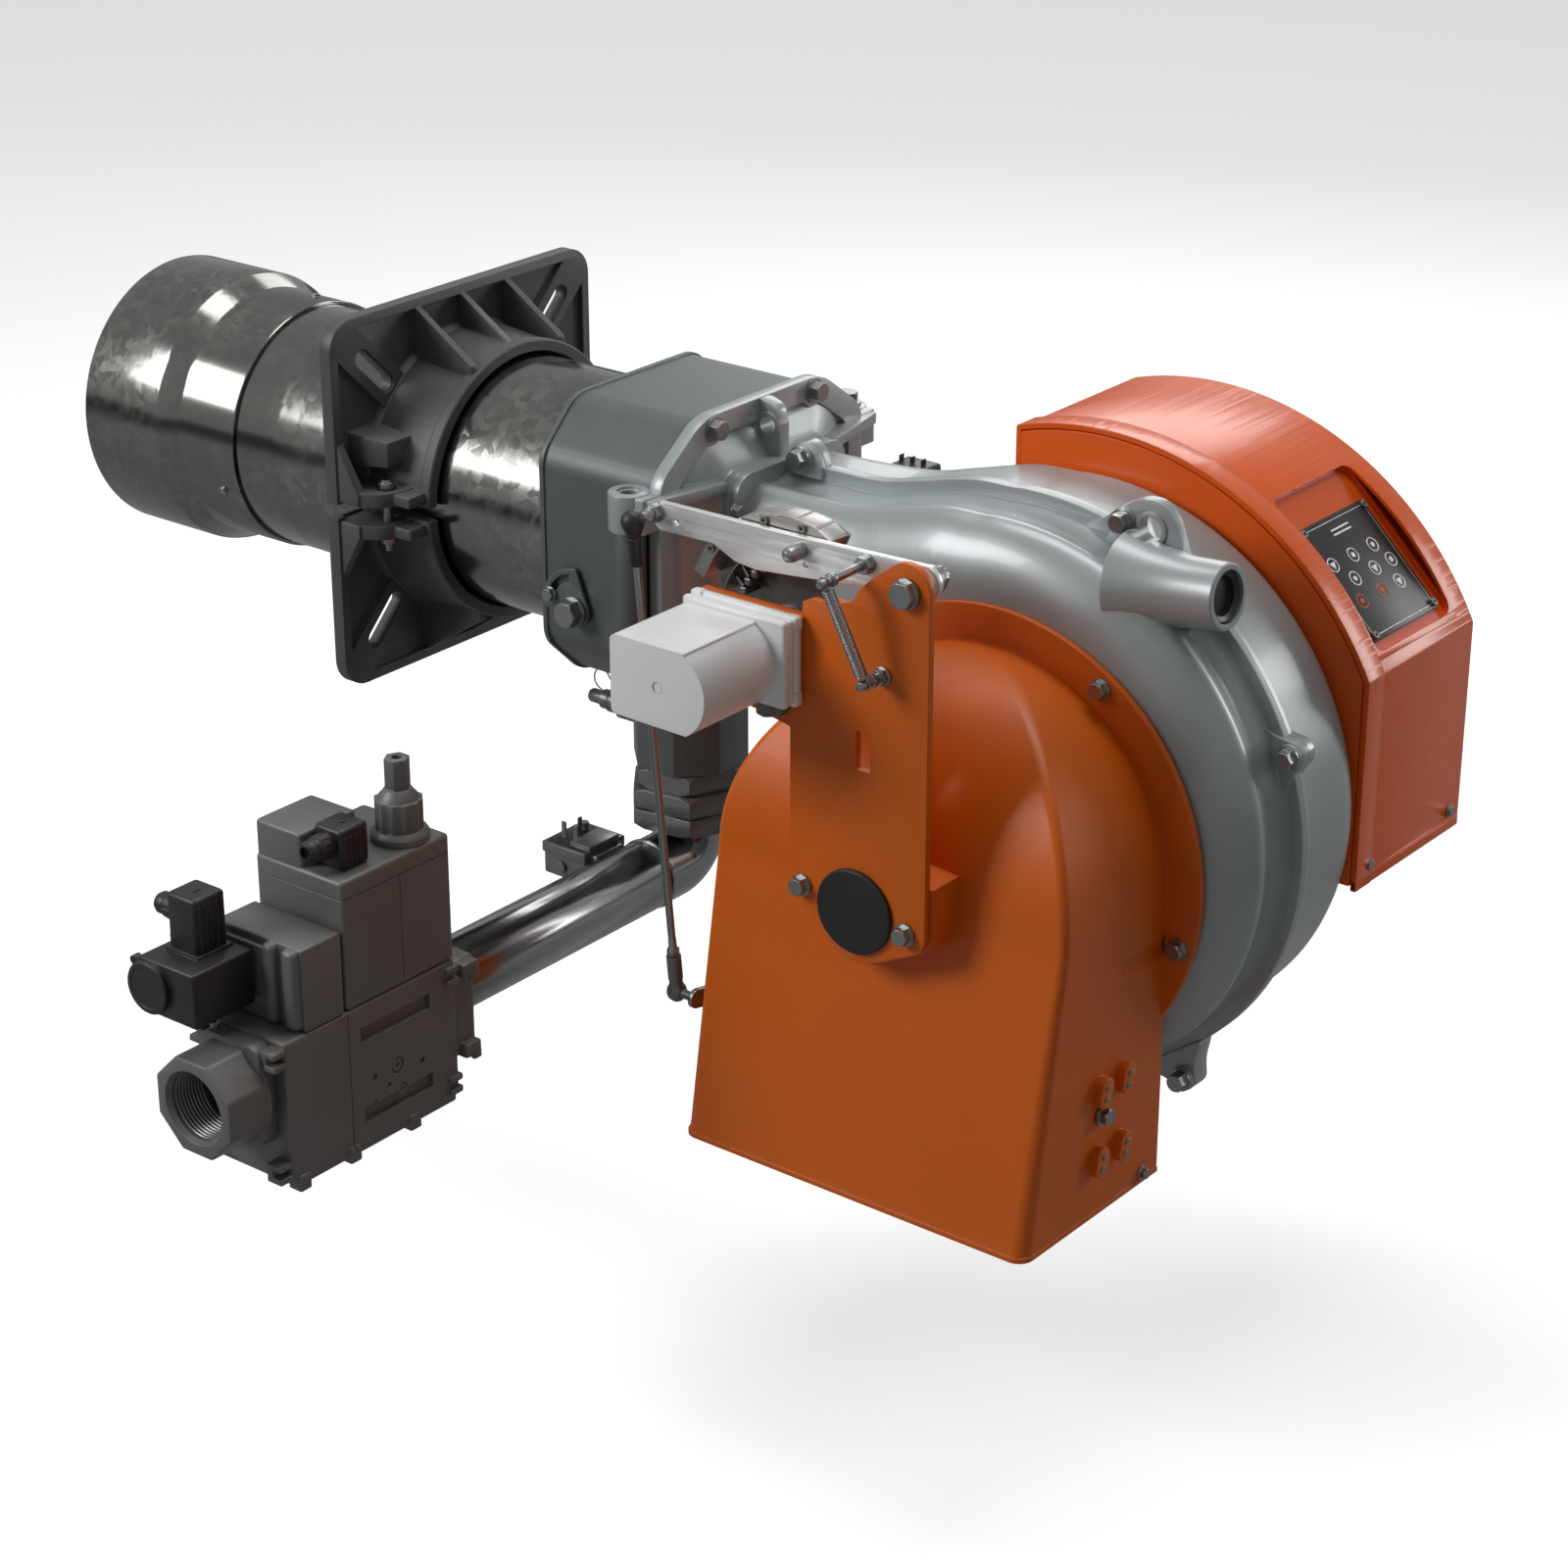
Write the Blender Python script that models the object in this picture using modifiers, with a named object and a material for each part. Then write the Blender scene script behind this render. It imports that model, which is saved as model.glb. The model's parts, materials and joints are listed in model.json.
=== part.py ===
"""Forced-draught gas burner with a sliding boiler flange, a swing-out fan body and a gas train.

Metres, +Z up. The blast tube lies along X and fires towards -X. The fan turns about an axis along Y.
The origin is on the blast tube's axis, in the boiler side of the mounting flange.
"""

import math

import bmesh
import bpy
from mathutils import Matrix, Vector

for old in list(bpy.data.objects):
    bpy.data.objects.remove(old)

# Clearances
FIT = 0.0003
RUNNING = 0.0005
WELD = 0.000001
OVERRUN = 0.010

# Mounting flange
FLANGE_HALF = 0.160
FLANGE_THICKNESS = 0.012
FLANGE_FLOOR = 0.007
FLANGE_RIM = 0.009
FLANGE_CORNER = 0.025
HUB_BASE_RADIUS = 0.124
HUB_END_RADIUS = 0.1165
HUB_END = 0.078
HUB_MOUTH = 0.003
SLOT_INNER = 0.136
SLOT_OUTER = 0.181
SLOT_RADIUS = 0.007
GUSSET_THICKNESS = 0.007
GUSSET_PITCH = 0.055
SPLIT = 0.012
LUG_THICKNESS = 0.012
LUG_GAP = 0.008
CLAMP_BOLT_X = 0.042
CLAMP_BOLT_Y = 0.028 - FLANGE_HALF
CLAMP_BOLT_RADIUS = 0.004
CLAMP_BOLT_FLATS = 0.013

# Blast tube and flame head
TUBE_RADIUS = 0.1075
TUBE_WALL = 0.0025
TUBE_START = -0.235
SLEEVE_END = -0.165
FLAME_CONE_END = -0.231
FLAME_CONE_START = -0.2475
FLAME_RADIUS = 0.122
FLAME_START = -0.341

# Head housing, an octagonal box behind the blast tube
HOUSING_FRONT = 0.200
HOUSING_REAR = 0.325
HOUSING_HALF_WIDTH = 0.118
HOUSING_HALF_HEIGHT = 0.120
HOUSING_TOP_FLAT = 0.076
HOUSING_SIDE_FLAT = 0.080
HOUSING_WALL = 0.007
TUBE_OPENING = 0.100

# Gas neck, unions and pipe
GAS_X = 0.257
NECK_FLATS = 0.094
NECK_BOTTOM = -0.208
NECK_BORE = 0.030
NUT_UPPER_FLATS = 0.088
NUT_UPPER_BOTTOM = -0.226
NUT_LOWER_FLATS = 0.096
NUT_LOWER_BOTTOM = -0.262
NUT_CHAMFER = 0.003
PIPE_RADIUS = 0.030
PIPE_WALL = 0.003
BEND_RADIUS = 0.033

# Multi-function gas valve at the pipe's near end
VALVE_LEFT = 0.211
VALVE_RIGHT = 0.302
VALVE_TOP = -0.2515
VALVE_BOTTOM = -0.370
VALVE_REAR = -0.342
VALVE_SEAM = -0.461
VALVE_FRONT = -0.526
VALVE_EDGE = 0.003
OUTLET_FLANGE_REAR = -0.318
INLET_FACE = -0.580
INLET_FLANGE_SEAT = -0.541
INLET_BORE = 0.0275
INLET_FLATS = 0.078
COIL_TOP = -0.1445
COIL_RAISED_TOP = -0.116
COIL_FRONT = -0.460
FRONT_COIL_TOP = -0.183
FRONT_COIL_REAR = -0.463
FRONT_COIL_FRONT = -0.511
RATIO_SWITCH_LEFT = 0.187
RATIO_SWITCH_WIDTH = 0.071
RATIO_SWITCH_DEPTH = 0.0605
RATIO_SWITCH_BOTTOM = -0.236
RATIO_SWITCH_HEIGHT = 0.045
RATIO_DIAL_RADIUS = 0.021
REGULATOR_Y = -0.372
REGULATOR_TOP = -0.078

# Combustion head inside the tube
LANCE_RADIUS = 0.025
LANCE_WALL = 0.0025
LANCE_START = -0.228
LANCE_END = 0.262
DIFFUSER_RADIUS = 0.072
DIFFUSER_X = -0.226
DIFFUSER_THICKNESS = 0.004
ELECTRODES = ((0.036, 0.036), (-0.036, 0.036))

# Head adjuster on the housing's near side
ADJUSTER_X = 0.238
ADJUSTER_Z = -0.045
ADJUSTER_SHAFT = 0.006
INDEX_THICKNESS = 0.003
INDEX_RADIUS = 0.035
INDEX_SLOT_RADIUS = 0.027
INDEX_SLOT_HALF = 0.0033
LOCK_ANGLE = 160
ADJUSTER_RANGE = 50
CRANK_LENGTH = 0.028

# Swing hinge, the same on both sides of the housing
HINGE_X = 0.3135
HINGE_Y = 0.1395
HINGE_PIN = 0.006
HINGE_COLUMN = 0.013
HINGE_LUG = 0.017
HINGE_LUG_BOTTOM = 0.046
HINGE_LUG_TOP = 0.0785
COLUMN_BOTTOM = -0.090

# Transition casting between the housing and the fan scroll
CLOSING_BOLTS = ((-0.064, 0.114), (0.064, 0.114))
CASTING_FLANGE = 0.0117
CASTING_TOP = 0.125
CASTING_TOP_FLAT = 0.075
CASTING_HALF_WIDTH = 0.130
CASTING_SIDE_FLAT = 0.085
COLLAR_X = 0.358
COLLAR_HALF_WIDTH = 0.070
COLLAR_HALF_HEIGHT = 0.080
COLLAR_CORNER = 0.018
COLLAR_THICKNESS = 0.008
DUCT_HALF_WIDTH = 0.059
DUCT_HALF_HEIGHT = 0.065
CASTING_EAR_X = 0.346
CASTING_EAR_Z = 0.104
CASTING_EAR_BORE = 0.0075

# Fan scroll, split on the plane y = 0
FAN_X = 0.621
FAN_Z = -0.1545
SCROLL_TOP_RADIUS = 0.260
SCROLL_TOP_ANGLE = 98
SCROLL_GROWTH = 0.00122
SCROLL_WALL = 0.007
SCROLL_TONGUE = 303
SCROLL_NEAR = 0.075
SCROLL_FAR = 0.095
RIB_DEPTH = 0.008
RIB_THICKNESS = 0.006
SCROLL_BOLTS = ((0.383, 0.086), (0.687, 0.100), (0.839, -0.051), (0.761, -0.345))
SCROLL_EAR_X = 0.711
SCROLL_EAR_Z = 0.098
SCROLL_EAR_BORE = 0.010
SIGHT_Y = -0.027
SIGHT_Z = 0.068
SIGHT_RADIUS = 0.026
SIGHT_BORE = 0.020
SIGHT_MOUTH = 0.790
INTAKE_RADIUS = 0.125
MOTOR_SPIGOT = 0.062

# Fan and motor
FAN_RADIUS = 0.134
FAN_FRONT = -0.040
FAN_REAR = 0.048
FAN_BLADES = 20
FAN_BLADE_DEPTH = 0.024
SHAFT_RADIUS = 0.012
MOTOR_RADIUS = 0.086
MOTOR_FLANGE_RADIUS = 0.098
MOTOR_END = 0.334

# Air intake hood
HOOD_LEFT = 0.460
HOOD_RIGHT = 0.783
HOOD_BOTTOM = -0.389
HOOD_BACK = -0.078
HOOD_FRONT = -0.258
HOOD_SHOULDER = -0.215
HOOD_WALL = 0.003
HOOD_CORNER = 0.015
HOOD_SHOULDER_CORNER = 0.070
HOOD_RING_RADIUS = 0.1905
HOOD_RING_SEAT = -0.0753
HOOD_RING_FRONT = -0.0813
RING_BOLTS = (57, -13)
BOSS_RADIUS = 0.058
BOSS_Z = -0.152

# Linkage bracket, servo motor and cam
BRACKET_FRONT = -0.250
BRACKET_THICKNESS = 0.006
FOOT_RADIUS = 0.062
FOOT_BOLT_OFFSET = 0.0465
CAP_RADIUS = 0.033
SERVO_X = 0.524
SERVO_Z = 0.034
SERVO_SHAFT = 0.008
SERVO_BASE_FRONT = -0.270
SERVO_FRONT = -0.352
CAM_BACK = -0.200
CAM_DISC = 0.005
CAM_FRONT = -0.226
CAM_DISC_RADIUS = 0.062
CAM_BAND = 0.010
CAM_LEAF = 0.002
CAM_CLEARANCE = 0.0005
CAM_STEPS = 18
CAM_OVERTRAVEL = 14

# Lever, follower, rod and damper
PIVOT_X = 0.667
PIVOT_Z = 0.111
PIVOT_RADIUS = 0.006
LEVER_FRONT = -0.235
LEVER_BACK = -0.229
LEVER_LEFT = 0.419
FOLLOWER_X = 0.555
FOLLOWER_Z = 0.110
FOLLOWER_STUD = 0.004
ROLLER_RADIUS = 0.008
ROLLER_BACK = -0.207
CAM_RANGE = 90
LEVER_RANGE = 12
UPPER_BALL = (0.4227, -0.262, 0.111)
LOWER_BALL = (0.4227, -0.219, -0.292)
BALL_HOUSING = 0.0095
BALL_STUD = 0.004
ROD_RADIUS = 0.0033
SPRING_TOP = (0.6175, -0.284, 0.115)
SPRING_FOOT = (0.644, -0.272, 0.041)
SPRING_POST = 0.0035
SPRING_RADIUS = 0.0045
DAMPER_Y = -0.160
DAMPER_Z = -0.304
DAMPER_SHAFT = 0.005
DAMPER_HALF_CHORD = 0.066
DAMPER_ARM_X = 0.440
DAMPER_ARM_THICKNESS = 0.004

# Control cover over the motor
COVER_NEAR = 0.105
COVER_FAR = 0.262
COVER_LEFT = 0.515
COVER_RIGHT = 0.843
COVER_BOTTOM = -0.200
COVER_ARCH_X = 0.598
COVER_ARCH_Z = -0.149
COVER_ARCH_RADIUS = 0.274
COVER_WALL = 0.004
COVER_EDGE = 0.014
BASE_NEAR = 0.0953
PANEL_TILT = 45.5
PANEL_DEPTH = 0.016
PANEL_FLOOR = COVER_ARCH_RADIUS - PANEL_DEPTH
PANEL_TOP = -0.040
PANEL_LENGTH = 0.104
PANEL_WIDTH = 0.100
PANEL_THICKNESS = 0.004
POCKET_HALF = 0.074
POCKET_WALL = 0.006
POCKET_NEAR = 0.123
POCKET_FAR = 0.240

PARTS = bpy.data.collections.new("gas_burner")
SHAPES = bpy.data.collections.new("cutters")
for collection in (PARTS, SHAPES):
    bpy.context.scene.collection.children.link(collection)

# A flat outline's own plane for a thickness along each world axis
PLANES = {
    "X": Matrix(((0, 0, 1, 0), (1, 0, 0, 0), (0, 1, 0, 0), (0, 0, 0, 1))),
    "Y": Matrix(((1, 0, 0, 0), (0, 0, -1, 0), (0, 1, 0, 0), (0, 0, 0, 1))),
    "Z": Matrix.Identity(4),
}


# Shape tools

def helper(name, data):
    """A shape that is joined to a part or cut from it."""
    obj = bpy.data.objects.new(name, data)
    obj.hide_render = True
    obj.display_type = "WIRE"
    SHAPES.objects.link(obj)
    return obj


def cleaned(bm, name):
    """A mesh with its doubles merged and its faces turned outwards."""
    bmesh.ops.remove_doubles(bm, verts=bm.verts, dist=WELD)
    bmesh.ops.recalc_face_normals(bm, faces=bm.faces)
    mesh = bpy.data.meshes.new(name)
    bm.to_mesh(mesh)
    bm.free()
    return mesh


def meshed(obj):
    """The evaluated shape as a plain closed mesh in world coordinates."""
    bpy.context.view_layer.update()
    graph = bpy.context.evaluated_depsgraph_get()
    mesh = bpy.data.meshes.new_from_object(obj.evaluated_get(graph), depsgraph=graph)
    mesh.transform(obj.matrix_world)
    bm = bmesh.new()
    bm.from_mesh(mesh)
    result = helper(obj.name, cleaned(bm, obj.name))
    bpy.data.objects.remove(obj)
    return result


def bevelled(obj, width, segments=2, angle=40):
    """The shape with its sharp edges rounded."""
    bevel = obj.modifiers.new("rounded edges", "BEVEL")
    bevel.width = width
    bevel.segments = segments
    bevel.limit_method = "ANGLE"
    bevel.angle_limit = math.radians(angle)
    return meshed(obj)


def box(low, high, bevel=0.0):
    """A box between two corners."""
    bm = bmesh.new()
    bmesh.ops.create_cube(bm, size=1)
    size = Vector(high) - Vector(low)
    bmesh.ops.scale(bm, vec=size, verts=bm.verts)
    bmesh.ops.translate(bm, vec=Vector(low) + size / 2, verts=bm.verts)
    obj = helper("box", cleaned(bm, "box"))
    return bevelled(obj, bevel) if bevel else obj


def rod(start, end, radius, end_radius=None, sides=24):
    """A cylinder or cone from one point to another."""
    start, end = Vector(start), Vector(end)
    along = end - start
    bm = bmesh.new()
    bmesh.ops.create_cone(
        bm, cap_ends=True, segments=sides, depth=along.length,
        radius1=radius, radius2=radius if end_radius is None else end_radius,
    )
    turn = along.to_track_quat("Z", "Y").to_matrix().to_4x4()
    bmesh.ops.transform(bm, matrix=Matrix.Translation((start + end) / 2) @ turn, verts=bm.verts)
    return helper("rod", cleaned(bm, "rod"))


def plate(outlines, axis, low, high):
    """A flat outline, with any holes inside it, given its thickness along one axis."""
    curve = bpy.data.curves.new("outline", "CURVE")
    curve.dimensions = "2D"
    curve.fill_mode = "BOTH"
    curve.extrude = (high - low) / 2
    for points in outlines:
        spline = curve.splines.new("POLY")
        spline.points.add(len(points) - 1)
        spline.use_cyclic_u = True
        for point, (u, v) in zip(spline.points, points):
            point.co = (u, v, 0, 1)
    obj = helper("plate", curve)
    middle = (low + high) / 2
    shift = -middle if axis == "Y" else middle
    obj.matrix_world = PLANES[axis] @ Matrix.Translation((0, 0, shift))
    return meshed(obj)


def turned(profile, origin, axis, steps=40):
    """A (radius, height) profile turned about an axis through the origin point."""
    mesh = bpy.data.meshes.new("profile")
    closed = profile[0][0] > 0
    count = len(profile)
    edges = [(i, (i + 1) % count) for i in range(count if closed else count - 1)]
    mesh.from_pydata([(radius, 0, height) for radius, height in profile], edges, [])
    obj = helper("turned", mesh)
    screw = obj.modifiers.new("turn", "SCREW")
    screw.steps = steps
    screw.render_steps = steps
    screw.use_merge_vertices = True
    screw.merge_threshold = WELD
    turn = Vector(axis).to_track_quat("Z", "Y").to_matrix().to_4x4()
    obj.matrix_world = Matrix.Translation(origin) @ turn
    return meshed(obj)


def tube(points, radius, sides=12):
    """A solid round bar along a row of points."""
    curve = bpy.data.curves.new("tube", "CURVE")
    curve.dimensions = "3D"
    curve.bevel_depth = radius
    curve.bevel_resolution = max(0, sides // 4 - 1)
    curve.use_fill_caps = True
    spline = curve.splines.new("POLY")
    spline.points.add(len(points) - 1)
    for point, place in zip(spline.points, points):
        point.co = (*place, 1)
    return meshed(helper("tube", curve))


def loft(rings):
    """A closed skin through rings of equally many points, with flat ends."""
    bm = bmesh.new()
    rows = [[bm.verts.new(point) for point in ring] for ring in rings]
    count = len(rows[0])
    for below, above in zip(rows, rows[1:]):
        for i in range(count):
            j = (i + 1) % count
            bm.faces.new((below[i], below[j], above[j], above[i]))
    bm.faces.new(rows[0])
    bm.faces.new(rows[-1])
    return helper("loft", cleaned(bm, "loft"))


def combined(base, joins=(), cuts=()):
    """The base with shapes joined to it, then shapes cut from it."""
    steps = [("UNION", shape) for shape in joins] + [("DIFFERENCE", shape) for shape in cuts]
    for operation, shape in steps:
        boolean = base.modifiers.new(operation, "BOOLEAN")
        boolean.operation = operation
        boolean.object = shape
    result = meshed(base)
    for _, shape in steps:
        bpy.data.objects.remove(shape)
    return result


# Outlines

def arc(centre, radius, start, end, steps):
    """Points along an arc, angles in degrees."""
    points = []
    for i in range(steps + 1):
        angle = math.radians(start + (end - start) * i / steps)
        points.append((centre[0] + radius * math.cos(angle), centre[1] + radius * math.sin(angle)))
    return points


def circle(centre, radius, sides=24):
    return arc(centre, radius, 0, 360 - 360 / sides, sides - 1)


def polygon(centre, flats, sides=6, turn=0.0):
    """A regular polygon by its width across flats."""
    radius = flats / 2 / math.cos(math.pi / sides)
    return arc(centre, radius, turn, turn + 360 - 360 / sides, sides - 1)


def rounded(half_u, half_v, corner, steps=4, centre=(0.0, 0.0)):
    """A rectangle with round corners."""
    points = []
    for start, su, sv in ((0, 1, 1), (90, -1, 1), (180, -1, -1), (270, 1, -1)):
        middle = (centre[0] + su * (half_u - corner), centre[1] + sv * (half_v - corner))
        points += arc(middle, corner, start, start + 90, steps)
    return points


def capsule(first, last, radius, steps=6):
    """A slot with round ends between two points."""
    turn = math.degrees(math.atan2(last[1] - first[1], last[0] - first[0]))
    return arc(last, radius, turn - 90, turn + 90, steps) + arc(first, radius, turn + 90, turn + 270, steps)


def octagon(half_width, half_height, top_flat, side_flat):
    return [
        (half_width, -side_flat), (half_width, side_flat), (top_flat, half_height), (-top_flat, half_height),
        (-half_width, side_flat), (-half_width, -side_flat), (-top_flat, -half_height), (top_flat, -half_height),
    ]


# Materials

MATERIALS = {
    "flange_grey": ((0.075, 0.080, 0.080), 0.55, 0.6),
    "galvanised": ((0.42, 0.43, 0.42), 0.30, 1.0),
    "housing_grey": ((0.130, 0.145, 0.145), 0.50, 0.4),
    "cast_aluminium": ((0.32, 0.35, 0.35), 0.38, 0.6),
    "orange_paint": ((0.60, 0.115, 0.012), 0.35, 0.0),
    "orange_gloss": ((0.72, 0.10, 0.008), 0.15, 0.0),
    "black_plastic": ((0.015, 0.015, 0.015), 0.45, 0.0),
    "white_plastic": ((0.72, 0.74, 0.74), 0.40, 0.0),
    "zinc_plate": ((0.70, 0.71, 0.71), 0.30, 0.9),
    "bright_steel": ((0.50, 0.51, 0.52), 0.22, 1.0),
    "brushed_steel": ((0.42, 0.41, 0.39), 0.35, 1.0),
    "dark_steel": ((0.10, 0.10, 0.10), 0.40, 0.9),
    "valve_grey": ((0.125, 0.130, 0.130), 0.50, 0.4),
    "pipe_steel": ((0.36, 0.37, 0.37), 0.18, 1.0),
    "ceramic": ((0.75, 0.72, 0.66), 0.40, 0.0),
    "brass": ((0.60, 0.46, 0.20), 0.30, 1.0),
}


def material(name):
    """The named finish, made once."""
    if name in bpy.data.materials:
        return bpy.data.materials[name]
    colour, roughness, metallic = MATERIALS[name]
    made = bpy.data.materials.new(name)
    made.use_nodes = True
    shader = made.node_tree.nodes["Principled BSDF"]
    shader.inputs["Base Color"].default_value = (*colour, 1)
    shader.inputs["Roughness"].default_value = roughness
    shader.inputs["Metallic"].default_value = metallic
    return made


# Bodies, each an empty on its joint's axis

BODIES = {}


def body(name, place, parent=None):
    empty = bpy.data.objects.new(name, None)
    empty.empty_display_size = 0.05
    PARTS.objects.link(empty)
    empty.location = place
    if parent:
        empty.parent = BODIES[parent]
        empty.location = Vector(place) - BODIES[parent].matrix_world.translation
    bpy.context.view_layer.update()
    BODIES[name] = empty


def part(name, finish, owner, base, joins=(), cuts=(), smooth=35):
    """A finished piece in the part's collection, carried by its body."""
    shape = combined(base, joins, cuts) if joins or cuts else base
    mesh = shape.data
    mesh.name = name
    mesh.materials.clear()
    mesh.materials.append(material(finish))
    mesh.shade_smooth()
    mesh.set_sharp_from_angle(angle=math.radians(smooth))
    bpy.data.objects.remove(shape)
    obj = bpy.data.objects.new(name, mesh)
    PARTS.objects.link(obj)
    empty = BODIES[owner]
    mesh.transform(Matrix.Translation(-empty.matrix_world.translation))
    obj.parent = empty
    return obj


def hex_bolt(name, owner, axis, place, seat, head, flats, radius, tip, finish="bright_steel"):
    """A hexagon bolt: its head lies between seat and head, its shank runs from the seat to the tip."""
    low, high = sorted((seat, head))
    return part(
        name, finish, owner,
        plate([polygon(place, flats)], axis, low, high),
        [rod(along(axis, place, (seat + head) / 2), along(axis, place, tip), radius, sides=16)],
    )


def along(axis, place, height):
    """The 3-D point of a 2-D place on the plane across an axis."""
    u, v = place
    return {"X": (height, u, v), "Y": (u, height, v), "Z": (u, v, height)}[axis]


# Mounting flange, which clamps round the blast tube

def gusset(across, side):
    """A rib from the flange's rim to its hub, above or below the tube."""
    outline = [
        (0.003, side * (FLANGE_HALF - FLANGE_RIM / 2)),
        (FLANGE_THICKNESS, side * (FLANGE_HALF - FLANGE_RIM / 2)),
        (HUB_END - 0.004, side * (HUB_END_RADIUS - 0.004)),
        (HUB_END - 0.004, side * 0.085),
        (0.003, side * 0.085),
    ]
    return plate([outline], "Y", across - GUSSET_THICKNESS / 2, across + GUSSET_THICKNESS / 2)


def side_gusset(height):
    """A rib from the flange's far rim to its hub."""
    outline = [
        (0.003, FLANGE_HALF - FLANGE_RIM / 2),
        (FLANGE_THICKNESS, FLANGE_HALF - FLANGE_RIM / 2),
        (HUB_END - 0.004, HUB_END_RADIUS - 0.004),
        (HUB_END - 0.004, 0.085),
        (0.003, 0.085),
    ]
    return plate([outline], "Z", height - GUSSET_THICKNESS / 2, height + GUSSET_THICKNESS / 2)


def clamp_lug(side):
    """One of the two lugs that the clamp bolt draws together."""
    end, root = CLAMP_BOLT_Y - 0.024, CLAMP_BOLT_Y + 0.030
    outline = [
        (0.003, end), (CLAMP_BOLT_X - 0.014, end), (CLAMP_BOLT_X + 0.013, end + 0.008),
        (CLAMP_BOLT_X + 0.020, CLAMP_BOLT_Y + 0.012), (CLAMP_BOLT_X + 0.020, root), (0.003, root),
    ]
    low, high = sorted((side * LUG_GAP, side * (LUG_GAP + LUG_THICKNESS)))
    return plate([outline], "Z", low, high)


def mounting_flange():
    recess = FLANGE_HALF - FLANGE_RIM
    base = combined(
        plate([rounded(FLANGE_HALF, FLANGE_HALF, FLANGE_CORNER)], "X", 0, FLANGE_THICKNESS),
        cuts=[plate(
            [rounded(recess, recess, FLANGE_CORNER - FLANGE_RIM)], "X", FLANGE_FLOOR, FLANGE_THICKNESS + OVERRUN,
        )],
    )
    hub = turned(
        [(0, 0.002), (HUB_BASE_RADIUS, 0.002), (HUB_BASE_RADIUS, FLANGE_FLOOR + 0.001),
         (HUB_END_RADIUS, HUB_END - 0.012), (HUB_END_RADIUS, HUB_END), (0, HUB_END)],
        (0, 0, 0), (1, 0, 0), 48,
    )
    joins = [hub, clamp_lug(1), clamp_lug(-1)]
    joins += [gusset(y, side) for side in (1, -1) for y in (-GUSSET_PITCH, 0, GUSSET_PITCH)]
    joins += [side_gusset(z) for z in (-GUSSET_PITCH, GUSSET_PITCH)]
    joins.append(box((0.003, -0.138, 0.036), (0.046, -0.098, 0.060)))
    bore = TUBE_RADIUS + RUNNING
    cuts = [
        rod((-OVERRUN, 0, 0), (HUB_END + OVERRUN, 0, 0), bore, sides=48),
        rod((HUB_END - 0.012, 0, 0), (HUB_END + 0.001, 0, 0), bore, bore + HUB_MOUTH, 48),
        box((-OVERRUN, -FLANGE_HALF - OVERRUN, -SPLIT / 2), (HUB_END + OVERRUN, -0.090, SPLIT / 2)),
        rod((CLAMP_BOLT_X, CLAMP_BOLT_Y, -0.03), (CLAMP_BOLT_X, CLAMP_BOLT_Y, 0.03),
            CLAMP_BOLT_RADIUS + FIT, sides=16),
    ]
    for quarter in range(4):
        angle = math.radians(45 + 90 * quarter)
        ends = [(r * math.cos(angle), r * math.sin(angle)) for r in (SLOT_INNER, SLOT_OUTER - SLOT_RADIUS)]
        cuts.append(plate([capsule(*ends, SLOT_RADIUS)], "X", -OVERRUN, FLANGE_THICKNESS + OVERRUN))
    part("mounting_flange", "flange_grey", "flange", base, joins, cuts)


def clamp_bolt():
    top = LUG_GAP + LUG_THICKNESS + FIT
    place = (CLAMP_BOLT_X, CLAMP_BOLT_Y)
    part(
        "clamp_bolt", "bright_steel", "flange",
        rod((*place, -top - 0.012), (*place, top + 0.002), CLAMP_BOLT_RADIUS, sides=16),
        [plate([polygon(place, CLAMP_BOLT_FLATS)], "Z", top, top + 0.008),
         plate([polygon(place, CLAMP_BOLT_FLATS)], "Z", -top - 0.007, -top)],
    )


# Flame tube and head housing

def tubes():
    inner = TUBE_RADIUS - TUBE_WALL
    end = HOUSING_FRONT - FIT
    part(
        "blast_tube", "galvanised", "head",
        turned([(TUBE_RADIUS, TUBE_START), (TUBE_RADIUS, end), (inner, end), (inner, TUBE_START)],
               (0, 0, 0), (1, 0, 0), 48),
    )
    sleeve = TUBE_RADIUS + FIT
    flame_inner = FLAME_RADIUS - TUBE_WALL
    part(
        "flame_tube", "galvanised", "head",
        turned(
            [(FLAME_RADIUS, FLAME_START), (FLAME_RADIUS, FLAME_CONE_START),
             (sleeve + TUBE_WALL, FLAME_CONE_END), (sleeve + TUBE_WALL, SLEEVE_END), (sleeve, SLEEVE_END),
             (sleeve, FLAME_CONE_END - 0.002), (flame_inner, FLAME_CONE_START), (flame_inner, FLAME_START)],
            (0, 0, 0), (1, 0, 0), 48,
        ),
    )


def hinge_column(side):
    """The housing's upright beside the swing hinge."""
    y = side * HINGE_Y
    web = sorted((side * (HOUSING_HALF_WIDTH - 0.003), y))
    return [
        rod((HINGE_X, y, COLUMN_BOTTOM), (HINGE_X, y, HINGE_LUG_BOTTOM - FIT), HINGE_COLUMN),
        box((HINGE_X - 0.020, web[0], -0.070), (HINGE_X, web[1], HINGE_LUG_BOTTOM - 0.012)),
    ]


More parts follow.
